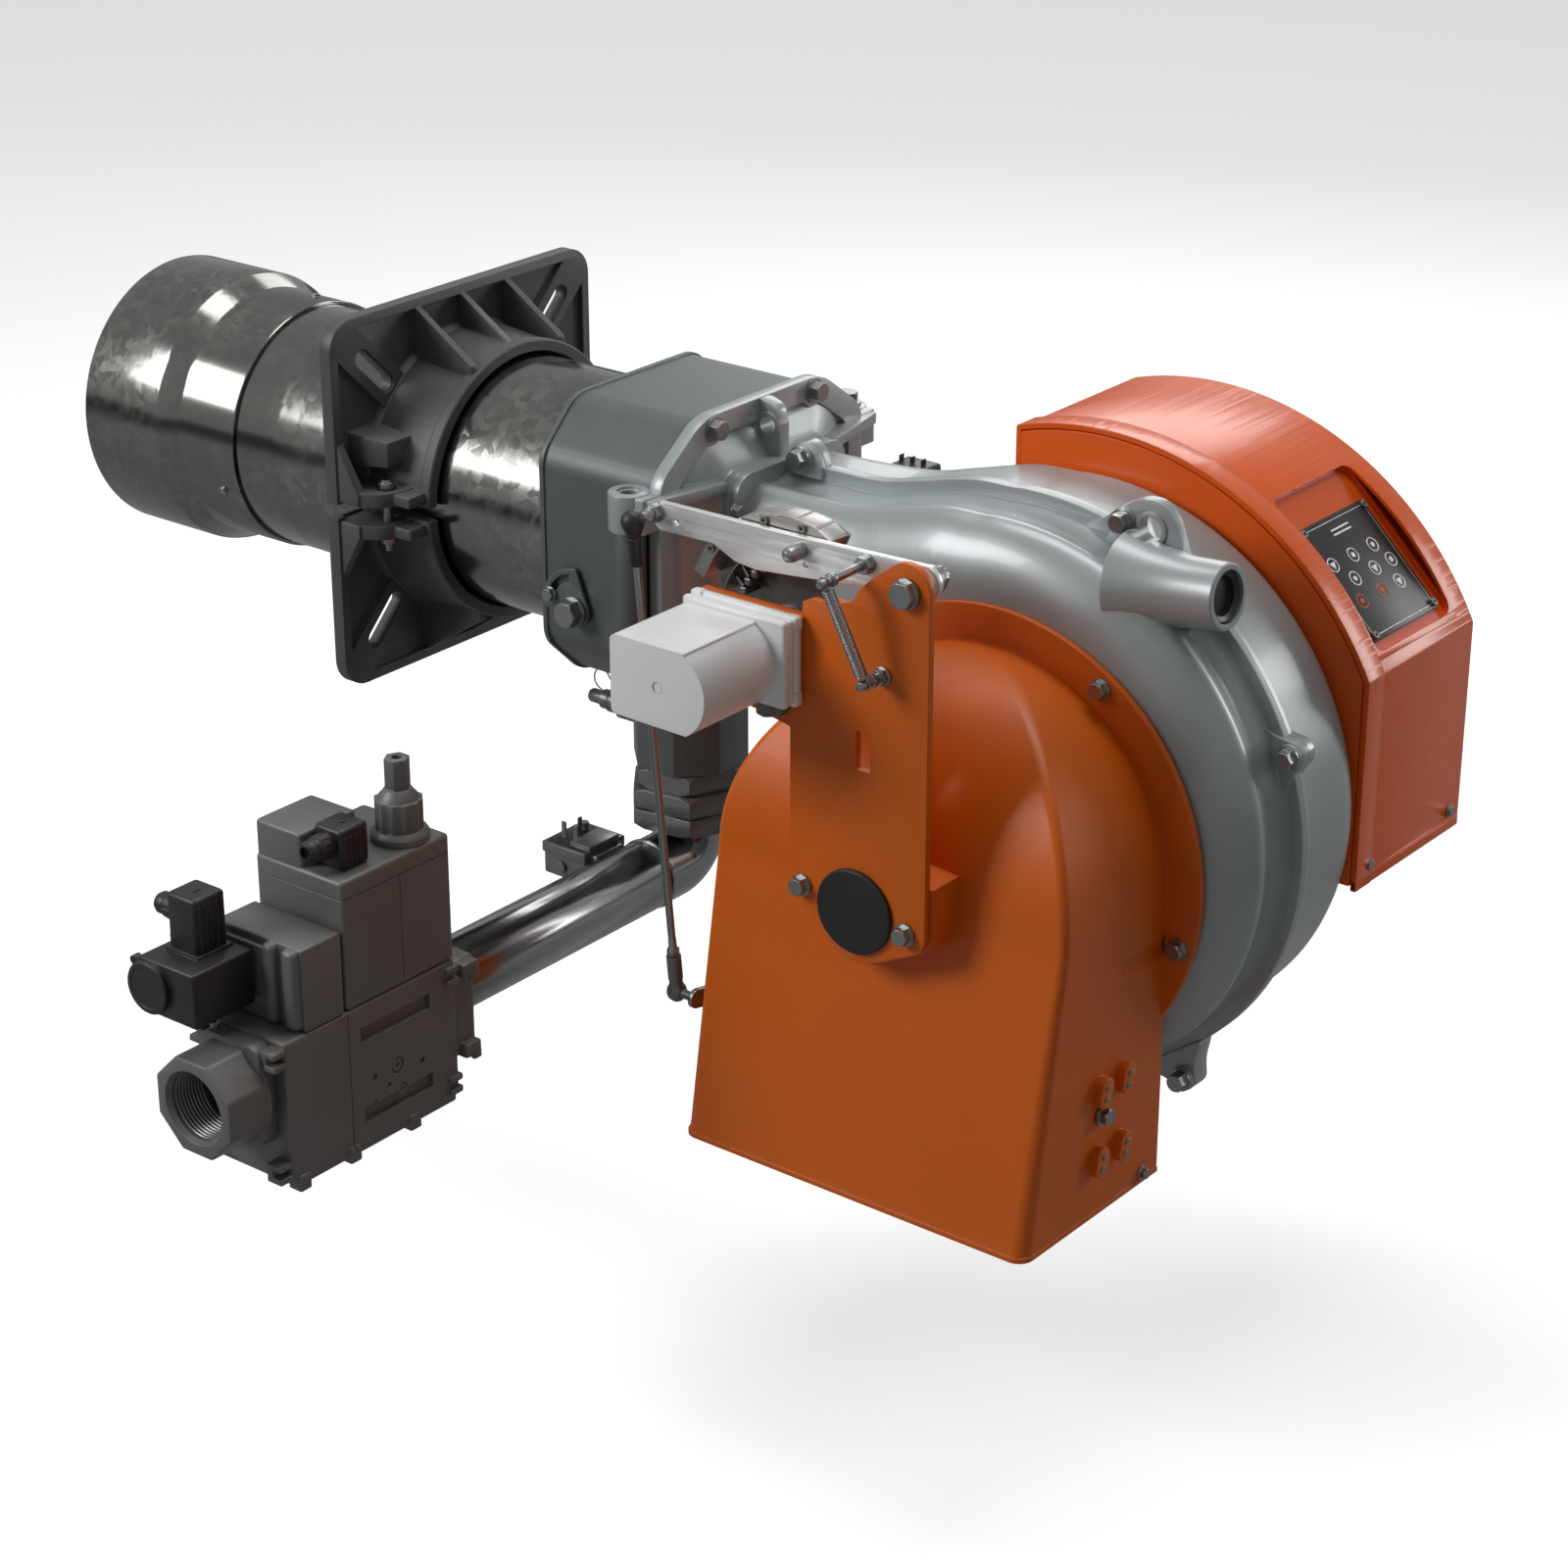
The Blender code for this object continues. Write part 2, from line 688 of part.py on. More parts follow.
def head_housing():
    outline = octagon(HOUSING_HALF_WIDTH, HOUSING_HALF_HEIGHT, HOUSING_TOP_FLAT, HOUSING_SIDE_FLAT)
    thin = HOUSING_WALL
    inner = octagon(
        HOUSING_HALF_WIDTH - thin, HOUSING_HALF_HEIGHT - thin,
        HOUSING_TOP_FLAT - thin / 2, HOUSING_SIDE_FLAT - thin / 2,
    )
    shell = combined(
        bevelled(plate([outline], "X", HOUSING_FRONT, HOUSING_REAR), 0.004),
        cuts=[plate([inner], "X", HOUSING_FRONT + thin, HOUSING_REAR + OVERRUN)],
    )
    neck = plate([polygon((GAS_X, 0), NECK_FLATS, 8, 22.5)], "Z", NECK_BOTTOM, -HOUSING_HALF_HEIGHT + thin / 2)
    adjuster = (ADJUSTER_X, ADJUSTER_Z)
    lock = arc(adjuster, INDEX_SLOT_RADIUS, LOCK_ANGLE, LOCK_ANGLE, 1)[0]
    cuts = [
        rod((HOUSING_FRONT - OVERRUN, 0, 0), (HOUSING_FRONT + OVERRUN, 0, 0), TUBE_OPENING, sides=48),
        rod((GAS_X, 0, NECK_BOTTOM - OVERRUN), (GAS_X, 0, -0.100), NECK_BORE),
        rod(along("Y", adjuster, -0.130), along("Y", adjuster, -0.105), ADJUSTER_SHAFT + FIT, sides=24),
        rod(along("Y", lock, -0.130), along("Y", lock, -0.1125), 0.0028 + FIT, sides=16),
    ]
    for side in (1, -1):
        place = (HINGE_X, side * HINGE_Y)
        cuts.append(rod((*place, -0.012), (*place, HINGE_LUG_BOTTOM + OVERRUN), HINGE_PIN + FIT, sides=24))
    part("head_housing", "housing_grey", "head", shell, [neck] + hinge_column(1) + hinge_column(-1), cuts)


def hinge_pin():
    place = (HINGE_X, HINGE_Y)
    seat = HINGE_LUG_TOP + FIT
    hex_bolt("hinge_pin", "head", "Z", place, seat, seat + 0.011, 0.018, HINGE_PIN, -0.010)


# Gas neck and pipe

def union_nut(name, top, bottom, flats, bore):
    nut = plate([polygon((GAS_X, 0), flats, 6, 8)], "Z", bottom, top)
    middle = (top + bottom) / 2
    reach = flats / 2 / math.cos(math.pi / 6)
    chamfer = turned(
        [(0, bottom), (reach - NUT_CHAMFER, bottom), (reach + 0.001, bottom + 2 * NUT_CHAMFER),
         (reach + 0.001, top - 2 * NUT_CHAMFER), (reach - NUT_CHAMFER, top), (0, top)],
        (GAS_X, 0, 0), (0, 0, 1),
    )
    limit = nut.modifiers.new("chamfer", "BOOLEAN")
    limit.operation = "INTERSECT"
    limit.object = chamfer
    nut = meshed(nut)
    bpy.data.objects.remove(chamfer)
    part(name, "dark_steel", "head", nut, cuts=[rod((GAS_X, 0, middle - 0.05), (GAS_X, 0, middle + 0.05), bore)])


def bend(start, finish, radius):
    """A centre line down from the union, round a bend and along -Y."""
    centre_y = -BEND_RADIUS
    points = [(GAS_X, 0, start)]
    for i in range(7):
        angle = math.radians(90 * i / 6)
        points.append((
            GAS_X, centre_y + BEND_RADIUS * math.cos(angle), radius - BEND_RADIUS * math.sin(angle),
        ))
    points.append((GAS_X, finish, radius - BEND_RADIUS))
    return points


def gas_line():
    union_nut("union_nut_upper", NECK_BOTTOM - FIT, NUT_UPPER_BOTTOM, NUT_UPPER_FLATS, NECK_BORE - 0.004)
    union_nut("union_nut_lower", NUT_UPPER_BOTTOM - FIT, NUT_LOWER_BOTTOM, NUT_LOWER_FLATS, NECK_BORE - 0.004)
    top = NUT_LOWER_BOTTOM - FIT
    turn = top - 0.002
    joint = -0.060
    solid = tube(bend(top, joint, turn), PIPE_RADIUS, 32)
    bore = tube(bend(top + OVERRUN, joint - OVERRUN, turn), PIPE_RADIUS - PIPE_WALL, 32)
    part("gas_elbow", "pipe_steel", "head", solid, cuts=[bore])
    axis = turn - BEND_RADIUS
    start = (GAS_X, joint - FIT, axis)
    end = (GAS_X, OUTLET_FLANGE_REAR - 0.012, axis)
    part(
        "gas_pipe", "pipe_steel", "head", rod(start, end, PIPE_RADIUS),
        cuts=[rod((GAS_X, 0, axis), (GAS_X, -0.4, axis), PIPE_RADIUS - PIPE_WALL)],
    )
    return axis


def test_nipple(name, place, reach):
    y, z = place
    root = GAS_X - reach
    part(
        name, "brass", "head", rod((root, y, z), (root - 0.020, y, z), 0.0070, sides=16),
        [rod((root - 0.018, y, z), (root - 0.040, y, z), 0.0085, sides=16),
         rod((root - 0.038, y, z), (root - 0.056, y, z), 0.0060, sides=16)],
    )


def low_pressure_switch(axis):
    right = GAS_X - PIPE_RADIUS - FIT
    low = (right - 0.050, -0.100, axis - 0.006)
    high = (right, -0.050, axis + 0.027)
    pins = [box((x, -0.085, high[2] - 0.001), (x + 0.005, -0.083, high[2] + 0.012)) for x in (0.192, 0.206)]
    part("gas_pressure_switch", "dark_steel", "head", box(low, high, 0.002), pins)


# Gas valve

def valve(axis):
    middle_x = (VALVE_LEFT + VALVE_RIGHT) / 2
    part(
        "valve_outlet_flange", "valve_grey", "head",
        box((VALVE_LEFT + VALVE_EDGE, VALVE_REAR + FIT, axis - 0.044),
            (VALVE_RIGHT - VALVE_EDGE, OUTLET_FLANGE_REAR, axis + 0.040), 0.004),
        cuts=[
            rod((GAS_X, VALVE_REAR - OVERRUN, axis), (GAS_X, -0.30, axis), PIPE_RADIUS - PIPE_WALL),
            rod((GAS_X, OUTLET_FLANGE_REAR - 0.012 - FIT, axis), (GAS_X, -0.30, axis), PIPE_RADIUS + FIT),
        ],
    )
    body_box = box((VALVE_LEFT, VALVE_FRONT, VALVE_BOTTOM), (VALVE_RIGHT, VALVE_REAR, VALVE_TOP), VALVE_EDGE)
    grooves = [
        box((VALVE_RIGHT - 0.004, -0.448, z), (VALVE_RIGHT + 0.010, -0.372, z + 0.012)) for z in (-0.283, -0.352)
    ]
    passage = [
        rod((GAS_X, VALVE_FRONT - OVERRUN, axis), (GAS_X, VALVE_FRONT + 0.035, axis), INLET_BORE),
        rod((GAS_X, VALVE_REAR - 0.035, axis), (GAS_X, VALVE_REAR + OVERRUN, axis), PIPE_RADIUS - PIPE_WALL),
    ]
    lugs = [
        box((x, VALVE_FRONT - 0.013, z), (x + 0.010, VALVE_FRONT + 0.004, z + 0.012))
        for x in (VALVE_LEFT + 0.002, VALVE_RIGHT - 0.012) for z in (VALVE_BOTTOM + 0.004, VALVE_TOP - 0.018)
    ]
    part("valve_body", "valve_grey", "head", body_box, lugs, grooves + passage)
    part(
        "valve_inlet_flange", "valve_grey", "head",
        plate([rounded(0.030, 0.042, 0.010, centre=(GAS_X, axis))], "Y", INLET_FLANGE_SEAT, VALVE_FRONT - FIT),
        [plate([polygon((GAS_X, axis), INLET_FLATS, 8, 22.5)], "Y", INLET_FACE, INLET_FLANGE_SEAT + 0.002)],
        [rod((GAS_X, INLET_FACE - OVERRUN, axis), (GAS_X, VALVE_FRONT + OVERRUN, axis), INLET_BORE)],
    )
    coil_seat = VALVE_TOP + FIT
    part(
        "main_coil", "valve_grey", "head",
        box((VALVE_LEFT, COIL_FRONT, coil_seat), (VALVE_RIGHT, VALVE_REAR - 0.001, COIL_TOP), VALVE_EDGE),
        [box((VALVE_LEFT + 0.001, COIL_FRONT + 0.001, COIL_TOP - 0.010),
             (middle_x + 0.004, REGULATOR_Y - 0.027, COIL_RAISED_TOP), 0.002)],
    )
    part(
        "front_coil", "valve_grey", "head",
        box((VALVE_LEFT, FRONT_COIL_FRONT, coil_seat), (VALVE_RIGHT, FRONT_COIL_REAR, FRONT_COIL_TOP),
            VALVE_EDGE),
    )
    ring_seat = COIL_TOP + FIT
    place = (0.278, REGULATOR_Y)
    part(
        "pressure_regulator", "valve_grey", "head",
        rod((*place, ring_seat), (*place, ring_seat + 0.008), 0.023),
        [plate([polygon(place, 0.038)], "Z", ring_seat + 0.007, ring_seat + 0.040),
         plate([polygon(place, 0.018)], "Z", ring_seat + 0.039, REGULATOR_TOP)],
    )
    plug_side = middle_x + 0.004 + FIT
    part(
        "main_coil_plug", "dark_steel", "head",
        box((plug_side, -0.446, ring_seat), (plug_side + 0.030, -0.416, ring_seat + 0.034), 0.003),
        [rod((plug_side + 0.015, -0.445, ring_seat + 0.020), (plug_side + 0.015, -0.470, ring_seat + 0.020),
             0.010, sides=16)],
    )


def front_controls():
    top = RATIO_SWITCH_BOTTOM + RATIO_SWITCH_HEIGHT
    rear = FRONT_COIL_FRONT - FIT
    front = rear - RATIO_SWITCH_DEPTH
    dial = (RATIO_SWITCH_LEFT + 0.024, top - RATIO_SWITCH_HEIGHT / 2)
    part(
        "air_gas_ratio_switch", "dark_steel", "head",
        box((RATIO_SWITCH_LEFT, front, RATIO_SWITCH_BOTTOM), (RATIO_SWITCH_LEFT + RATIO_SWITCH_WIDTH, rear, top), 0.003),
        [rod(along("Y", dial, front + 0.001), along("Y", dial, front - 0.005), RATIO_DIAL_RADIUS)],
    )
    plug_left = RATIO_SWITCH_LEFT + 0.0224
    plug_front = rear - 0.0384
    gland = (plug_front + 0.0157, top + 0.026)
    part(
        "front_coil_plug", "dark_steel", "head",
        box((plug_left, plug_front, top + FIT), (plug_left + 0.031, plug_front + 0.031, top + 0.047), 0.003),
        [rod(along("X", gland, plug_left + 0.001), along("X", gland, plug_left - 0.031), 0.0105, sides=16)],
    )


# Combustion head

def gas_manifold():
    part(
        "gas_manifold", "cast_aluminium", "head",
        rod((0.222, 0, 0), (0.300, 0, 0), 0.036),
        [rod((GAS_X, 0, NECK_BOTTOM + 0.010), (GAS_X, 0, -0.010), NECK_BORE - FIT)],
        [rod((0.212, 0, 0), (0.290, 0, 0), LANCE_RADIUS + RUNNING),
         rod((GAS_X, 0, NECK_BOTTOM - OVERRUN), (GAS_X, 0, 0), NECK_BORE - 0.006)],
    )


def combustion_head():
    inner = LANCE_RADIUS - LANCE_WALL
    lance = turned(
        [(LANCE_RADIUS, LANCE_START), (LANCE_RADIUS, LANCE_END), (inner, LANCE_END), (inner, LANCE_START)],
        (0, 0, 0), (1, 0, 0), 32,
    )
    bracket = [
        box((0.192, -0.0415, -0.026), (0.212, -LANCE_RADIUS + 0.003, -0.006)),
        box((0.192, -0.0415, -0.026), (0.246, -0.0375, -0.006)),
    ]
    part("gas_lance", "brushed_steel", "combustion_head", lance, bracket)
    holes = [circle((0, 0), LANCE_RADIUS + FIT)]
    for i in range(8):
        angle = math.radians(22.5 + 45 * i)
        ends = [(r * math.cos(angle), r * math.sin(angle)) for r in (0.040, 0.064)]
        holes.append(capsule(*ends, 0.0025, 3))
    for place in ELECTRODES:
        holes.append(circle(place, 0.004 + FIT, 16))
    part(
        "diffuser_disc", "brushed_steel", "combustion_head",
        plate([circle((0, 0), DIFFUSER_RADIUS, 48)] + holes, "X", DIFFUSER_X,
              DIFFUSER_X + DIFFUSER_THICKNESS),
    )
    for name, place, tip in zip(("ignition_electrode", "flame_probe"), ELECTRODES, (-0.242, -0.268)):
        part(
            name, "ceramic", "combustion_head",
            rod(along("X", place, -0.080), along("X", place, -0.232), 0.004, sides=16),
            [rod(along("X", place, -0.230), along("X", place, tip), 0.0015, sides=8)],
        )


def adjuster():
    centre = (ADJUSTER_X, ADJUSTER_Z)
    wall = -HOUSING_HALF_WIDTH - FIT
    front = wall - INDEX_THICKNESS
    outline = arc(centre, INDEX_RADIUS, LOCK_ANGLE + 22, LOCK_ANGLE - ADJUSTER_RANGE - 22, 10)
    outline += arc(centre, 0.013, 30, -130, 8)
    lower = LOCK_ANGLE - ADJUSTER_RANGE
    slot = arc(centre, INDEX_SLOT_RADIUS + INDEX_SLOT_HALF, lower - 9, LOCK_ANGLE + 9, 8)
    slot += arc(centre, INDEX_SLOT_RADIUS - INDEX_SLOT_HALF, LOCK_ANGLE + 9, lower - 9, 8)
    part(
        "index_plate", "housing_grey", "head_adjuster",
        plate([outline, slot, circle(centre, ADJUSTER_SHAFT + FIT, 24)], "Y", front, wall),
    )
    crank_front = -0.052
    pin = (ADJUSTER_X, ADJUSTER_Z + CRANK_LENGTH)
    part(
        "adjuster_spindle", "bright_steel", "head_adjuster",
        rod(along("Y", centre, front - 0.002), along("Y", centre, crank_front + 0.001), ADJUSTER_SHAFT, sides=24),
        [plate([polygon(centre, 0.020)], "Y", front - FIT - 0.015, front - FIT),
         plate([capsule(centre, pin, 0.007)], "Y", crank_front, crank_front + 0.005),
         rod(along("Y", pin, crank_front + 0.001), along("Y", pin, -0.0415 - RUNNING), 0.003, sides=16)],
    )
    lock = arc(centre, INDEX_SLOT_RADIUS, LOCK_ANGLE, LOCK_ANGLE, 1)[0]
    hex_bolt("adjuster_lock_screw", "head", "Y", lock, front - FIT, front - 0.0055, 0.010, 0.0028, -0.1135)


# Swing body: transition casting

def duct_ring(x, half_width, half_height, corner):
    """A section across the duct."""
    return [(x, y, z) for y, z in rounded(half_width, half_height, corner)]


def transition_casting():
    flange_rear = HOUSING_REAR + FIT
    flange_front = flange_rear + CASTING_FLANGE
    outline = octagon(CASTING_HALF_WIDTH, CASTING_TOP, CASTING_TOP_FLAT, CASTING_SIDE_FLAT)
    collar_end = COLLAR_X - FIT
    taper = loft([
        duct_ring(flange_rear + 0.004, 0.106, 0.108, 0.036),
        duct_ring(flange_front + 0.002, 0.104, 0.106, 0.036),
        duct_ring(collar_end - COLLAR_THICKNESS, COLLAR_HALF_WIDTH, COLLAR_HALF_HEIGHT, COLLAR_CORNER),
        duct_ring(collar_end, COLLAR_HALF_WIDTH, COLLAR_HALF_HEIGHT, COLLAR_CORNER),
    ])
    duct = loft([
        duct_ring(flange_rear - OVERRUN, 0.098, 0.100, 0.034),
        duct_ring(flange_rear + 0.004, 0.096, 0.098, 0.034),
        duct_ring(collar_end - COLLAR_THICKNESS, DUCT_HALF_WIDTH, DUCT_HALF_HEIGHT, COLLAR_CORNER - 0.008),
        duct_ring(collar_end + OVERRUN, DUCT_HALF_WIDTH, DUCT_HALF_HEIGHT, COLLAR_CORNER - 0.008),
    ])
    ear = plate(
        [[(flange_front - 0.003, 0.060), (flange_front - 0.003, CASTING_EAR_Z + 0.017),
          (CASTING_EAR_X + 0.004, CASTING_EAR_Z + 0.017), (CASTING_EAR_X + 0.009, CASTING_EAR_Z + 0.012),
          (collar_end, 0.084), (collar_end, 0.070)]],
        "Y", -0.006, 0.006,
    )
    joins = [taper, ear]
    ear_hole = (CASTING_EAR_X, CASTING_EAR_Z)
    cuts = [duct, rod(along("Y", ear_hole, -0.02), along("Y", ear_hole, 0.02), CASTING_EAR_BORE, sides=24)]
    for side in (1, -1):
        y = side * HINGE_Y
        web = sorted((side * (HOUSING_HALF_WIDTH + 0.004), side * (HINGE_Y + 0.010)))
        joins.append(rod((HINGE_X, y, HINGE_LUG_BOTTOM), (HINGE_X, y, HINGE_LUG_TOP), HINGE_LUG))
        joins.append(box((HINGE_X, web[0], HINGE_LUG_BOTTOM), (flange_front - 0.001, web[1], HINGE_LUG_TOP)))
        brace = [(flange_front - 0.004, side * (HINGE_Y + 0.008)), (flange_front, side * (HINGE_Y + 0.008)),
                 (collar_end - 0.001, side * 0.066), (flange_front - 0.004, side * 0.066)]
        joins.append(plate([brace], "Z", HINGE_LUG_TOP - 0.014, HINGE_LUG_TOP - 0.002))
        cuts.append(rod((HINGE_X, y, HINGE_LUG_BOTTOM - OVERRUN), (HINGE_X, y, HINGE_LUG_TOP + OVERRUN),
                        HINGE_PIN + RUNNING, sides=24))
    for place in CLOSING_BOLTS:
        joins.append(plate([polygon(place, 0.017)], "X", flange_front - 0.001, flange_front + 0.009))
    part(
        "transition_casting", "cast_aluminium", "burner_body",
        plate([outline], "X", flange_rear, flange_front), joins, cuts,
    )


# Swing body: fan scroll

def scroll_radius(angle):
    """The rib's radius from the fan axis. It shrinks clockwise from the outlet round to the tongue."""
    behind = (SCROLL_TOP_ANGLE - angle) % 360
    return SCROLL_TOP_RADIUS * math.exp(-SCROLL_GROWTH * behind)


def scroll_outline(inset, steps=42, sweep=330):
    """The scroll's outline across the fan axis, pulled in by an inset."""
    points = []
    for i in range(steps):
        angle = SCROLL_TOP_ANGLE - sweep * i / (steps - 1)
        radius = scroll_radius(angle) - inset
        turn = math.radians(angle)
        points.append((FAN_X + radius * math.cos(turn), FAN_Z + radius * math.sin(turn)))
    return points


def scroll_ring(y, inset):
    return [(x, y, z) for x, z in scroll_outline(inset)]


def bolt_lug(place, low, high):
    """A boss on the rib, round a bolt and joined inwards."""
    x, z = place
    if x < FAN_X - 0.1:
        root = (x, z - 0.018)
    else:
        towards = Vector((FAN_X - x, FAN_Z - z)).normalized() * 0.030
        root = (x + towards.x, z + towards.y)
    return plate([capsule(place, root, 0.012, 8)], "Y", low, high)


def scroll_half(name, side, depth, insets):
    """One half of the scroll: side -1 is the near half with the air intake, side 1 carries the motor."""
    past = -side * OVERRUN
    outer = loft([scroll_ring(past if share == 0 else side * depth * share, inset) for share, inset in insets])
    inside = (depth - SCROLL_WALL) / depth
    cavity = loft([
        scroll_ring(2 * past if share == 0 else side * depth * share * inside, inset + SCROLL_WALL)
        for share, inset in insets
    ])
    wall_width = DUCT_HALF_WIDTH + SCROLL_WALL
    wall_height = DUCT_HALF_HEIGHT + SCROLL_WALL
    neck = loft([duct_ring(x, wall_width, wall_height, 0.016) for x in (COLLAR_X + 0.002, 0.580)])
    collar = loft([
        duct_ring(x, COLLAR_HALF_WIDTH, COLLAR_HALF_HEIGHT, COLLAR_CORNER)
        for x in (COLLAR_X, COLLAR_X + COLLAR_THICKNESS)
    ])
    passage = loft([duct_ring(x, DUCT_HALF_WIDTH, DUCT_HALF_HEIGHT, 0.010) for x in (COLLAR_X - OVERRUN, 0.590)])
    shoulder = [(0.430, 0.068), (0.493, 0.081), (0.548, 0.096), (0.600, 0.098), (0.600, 0.020), (0.430, 0.020)]
    ramp = bevelled(plate([shoulder], "Y", *sorted((0.9 * past, side * 0.048))), 0.004, 1)
    edge = COLLAR_HALF_HEIGHT - 0.001
    rib_start = COLLAR_X + 0.004
    rib_outline = [(rib_start, -edge), (rib_start, edge), (0.455, edge), (0.493, 0.089), (0.548, 0.1015)]
    rib_outline += scroll_outline(0, 42, SCROLL_TONGUE)
    rib = plate([rib_outline], "Y", *sorted((0.8 * past, side * RIB_THICKNESS)))
    joins = [neck, collar, ramp, rib]
    joins += [bolt_lug(place, *sorted((0.7 * past, side * 0.009))) for place in SCROLL_BOLTS]
    if side < 0:
        ear = [(0.664, 0.060), (0.685, 0.112), (0.697, 0.121), (0.722, 0.120), (0.733, 0.110), (0.757, 0.030)]
        joins.append(plate([ear], "Y", -0.010, 0.6 * past))
        joins.append(rod((0.700, SIGHT_Y, SIGHT_Z), (SIGHT_MOUTH, SIGHT_Y, SIGHT_Z), SIGHT_RADIUS))
        joins += [plate([polygon(place, 0.013)], "Y", -0.017, -0.008) for place in SCROLL_BOLTS]
    cuts = [cavity, passage]
    if side < 0:
        cuts.append(rod((SCROLL_EAR_X, -0.03, SCROLL_EAR_Z), (SCROLL_EAR_X, 0.03, SCROLL_EAR_Z), SCROLL_EAR_BORE))
        cuts.append(rod((0.772, SIGHT_Y, SIGHT_Z), (SIGHT_MOUTH + OVERRUN, SIGHT_Y, SIGHT_Z), SIGHT_BORE))
        cuts.append(rod((FAN_X, -0.09, FAN_Z), (FAN_X, -0.05, FAN_Z), INTAKE_RADIUS, sides=40))
    else:
        cuts.append(rod((FAN_X, 0.07, FAN_Z), (FAN_X, 0.12, FAN_Z), MOTOR_SPIGOT))
    low, high = sorted((side * FIT / 2, -side * 0.2))
    cuts.append(box((0.3, low, -0.5), (0.9, high, 0.2)))
    part(name, "cast_aluminium", "burner_body", outer, joins, cuts)


def scroll():
    scroll_half("scroll_near_half", -1, SCROLL_NEAR,
                [(0, RIB_DEPTH), (0.3, 0.011), (0.52, 0.022), (0.84, 0.040), (1, 0.056)])
    scroll_half("scroll_far_half", 1, SCROLL_FAR, [(0, RIB_DEPTH), (0.88, RIB_DEPTH), (1, 0.020)])
    part(
        "sight_glass", "black_plastic", "burner_body",
        rod((0.7723, SIGHT_Y, SIGHT_Z), (SIGHT_MOUTH - 0.003, SIGHT_Y, SIGHT_Z), SIGHT_BORE - FIT),
    )


# Fan, motor and control box

def fan():
    blades = []
    middle = FAN_RADIUS - FAN_BLADE_DEPTH / 2 - 0.001
    for i in range(FAN_BLADES):
        blade = box((middle - FAN_BLADE_DEPTH / 2, FAN_FRONT + 0.001, -0.001),
                    (middle + FAN_BLADE_DEPTH / 2, FAN_REAR - 0.002, 0.001))
        turn = Matrix.Rotation(2 * math.pi * i / FAN_BLADES, 4, "Y")
        blade.data.transform(Matrix.Translation((FAN_X, 0, FAN_Z)) @ turn)
        blades.append(blade)
    centre = (FAN_X, FAN_Z)
    inner = FAN_RADIUS - FAN_BLADE_DEPTH
    part(
        "fan_wheel", "dark_steel", "fan",
        plate([circle(centre, FAN_RADIUS, 40), circle(centre, SHAFT_RADIUS + FIT)], "Y", FAN_REAR - 0.004, FAN_REAR),
        [plate([circle(centre, FAN_RADIUS, 40), circle(centre, inner, 40)], "Y", FAN_FRONT, FAN_FRONT + 0.003),
         plate([circle(centre, 0.024), circle(centre, SHAFT_RADIUS + FIT)], "Y", 0.020,
               FAN_REAR - 0.001)] + blades,
    )
    part("motor_shaft", "bright_steel", "fan", rod((FAN_X, 0.012, FAN_Z), (FAN_X, 0.142, FAN_Z), SHAFT_RADIUS))
    seat = SCROLL_FAR + FIT
    part(
        "motor", "housing_grey", "burner_body",
        rod((FAN_X, seat, FAN_Z), (FAN_X, seat + 0.012, FAN_Z), MOTOR_FLANGE_RADIUS, sides=48),
        [rod((FAN_X, seat + 0.010, FAN_Z), (FAN_X, MOTOR_END - 0.040, FAN_Z), MOTOR_RADIUS, sides=48),
         rod((FAN_X, MOTOR_END - 0.042, FAN_Z), (FAN_X, MOTOR_END, FAN_Z),
             MOTOR_RADIUS - 0.003, MOTOR_RADIUS - 0.008, 48),
         box((FAN_X - 0.048, 0.140, FAN_Z + 0.070), (FAN_X + 0.048, 0.235, FAN_Z + 0.115), 0.003)],
        [rod((FAN_X, 0.08, FAN_Z), (FAN_X, 0.145, FAN_Z), SHAFT_RADIUS + RUNNING)],
    )


def cover_outline(inset, bottom):
    """The control cover's arch, cut off by its two side walls."""
    centre = (COVER_ARCH_X, COVER_ARCH_Z)
    radius = COVER_ARCH_RADIUS - inset
    left, right = COVER_LEFT + inset, COVER_RIGHT - inset
    start = math.degrees(math.acos((right - centre[0]) / radius))
    end = math.degrees(math.acos((left - centre[0]) / radius))
    return [(right, bottom)] + arc(centre, radius, start, end, 24) + [(left, bottom)]


def tilted_box(low, high):
    """A box set on the arch: along the slope, along Y and out from the arch's centre."""
    obj = box(low, high)
    turn = Matrix.Rotation(math.radians(90 - PANEL_TILT), 4, "Y")
    obj.data.transform(Matrix.Translation((COVER_ARCH_X, 0, COVER_ARCH_Z)) @ turn)
    return obj


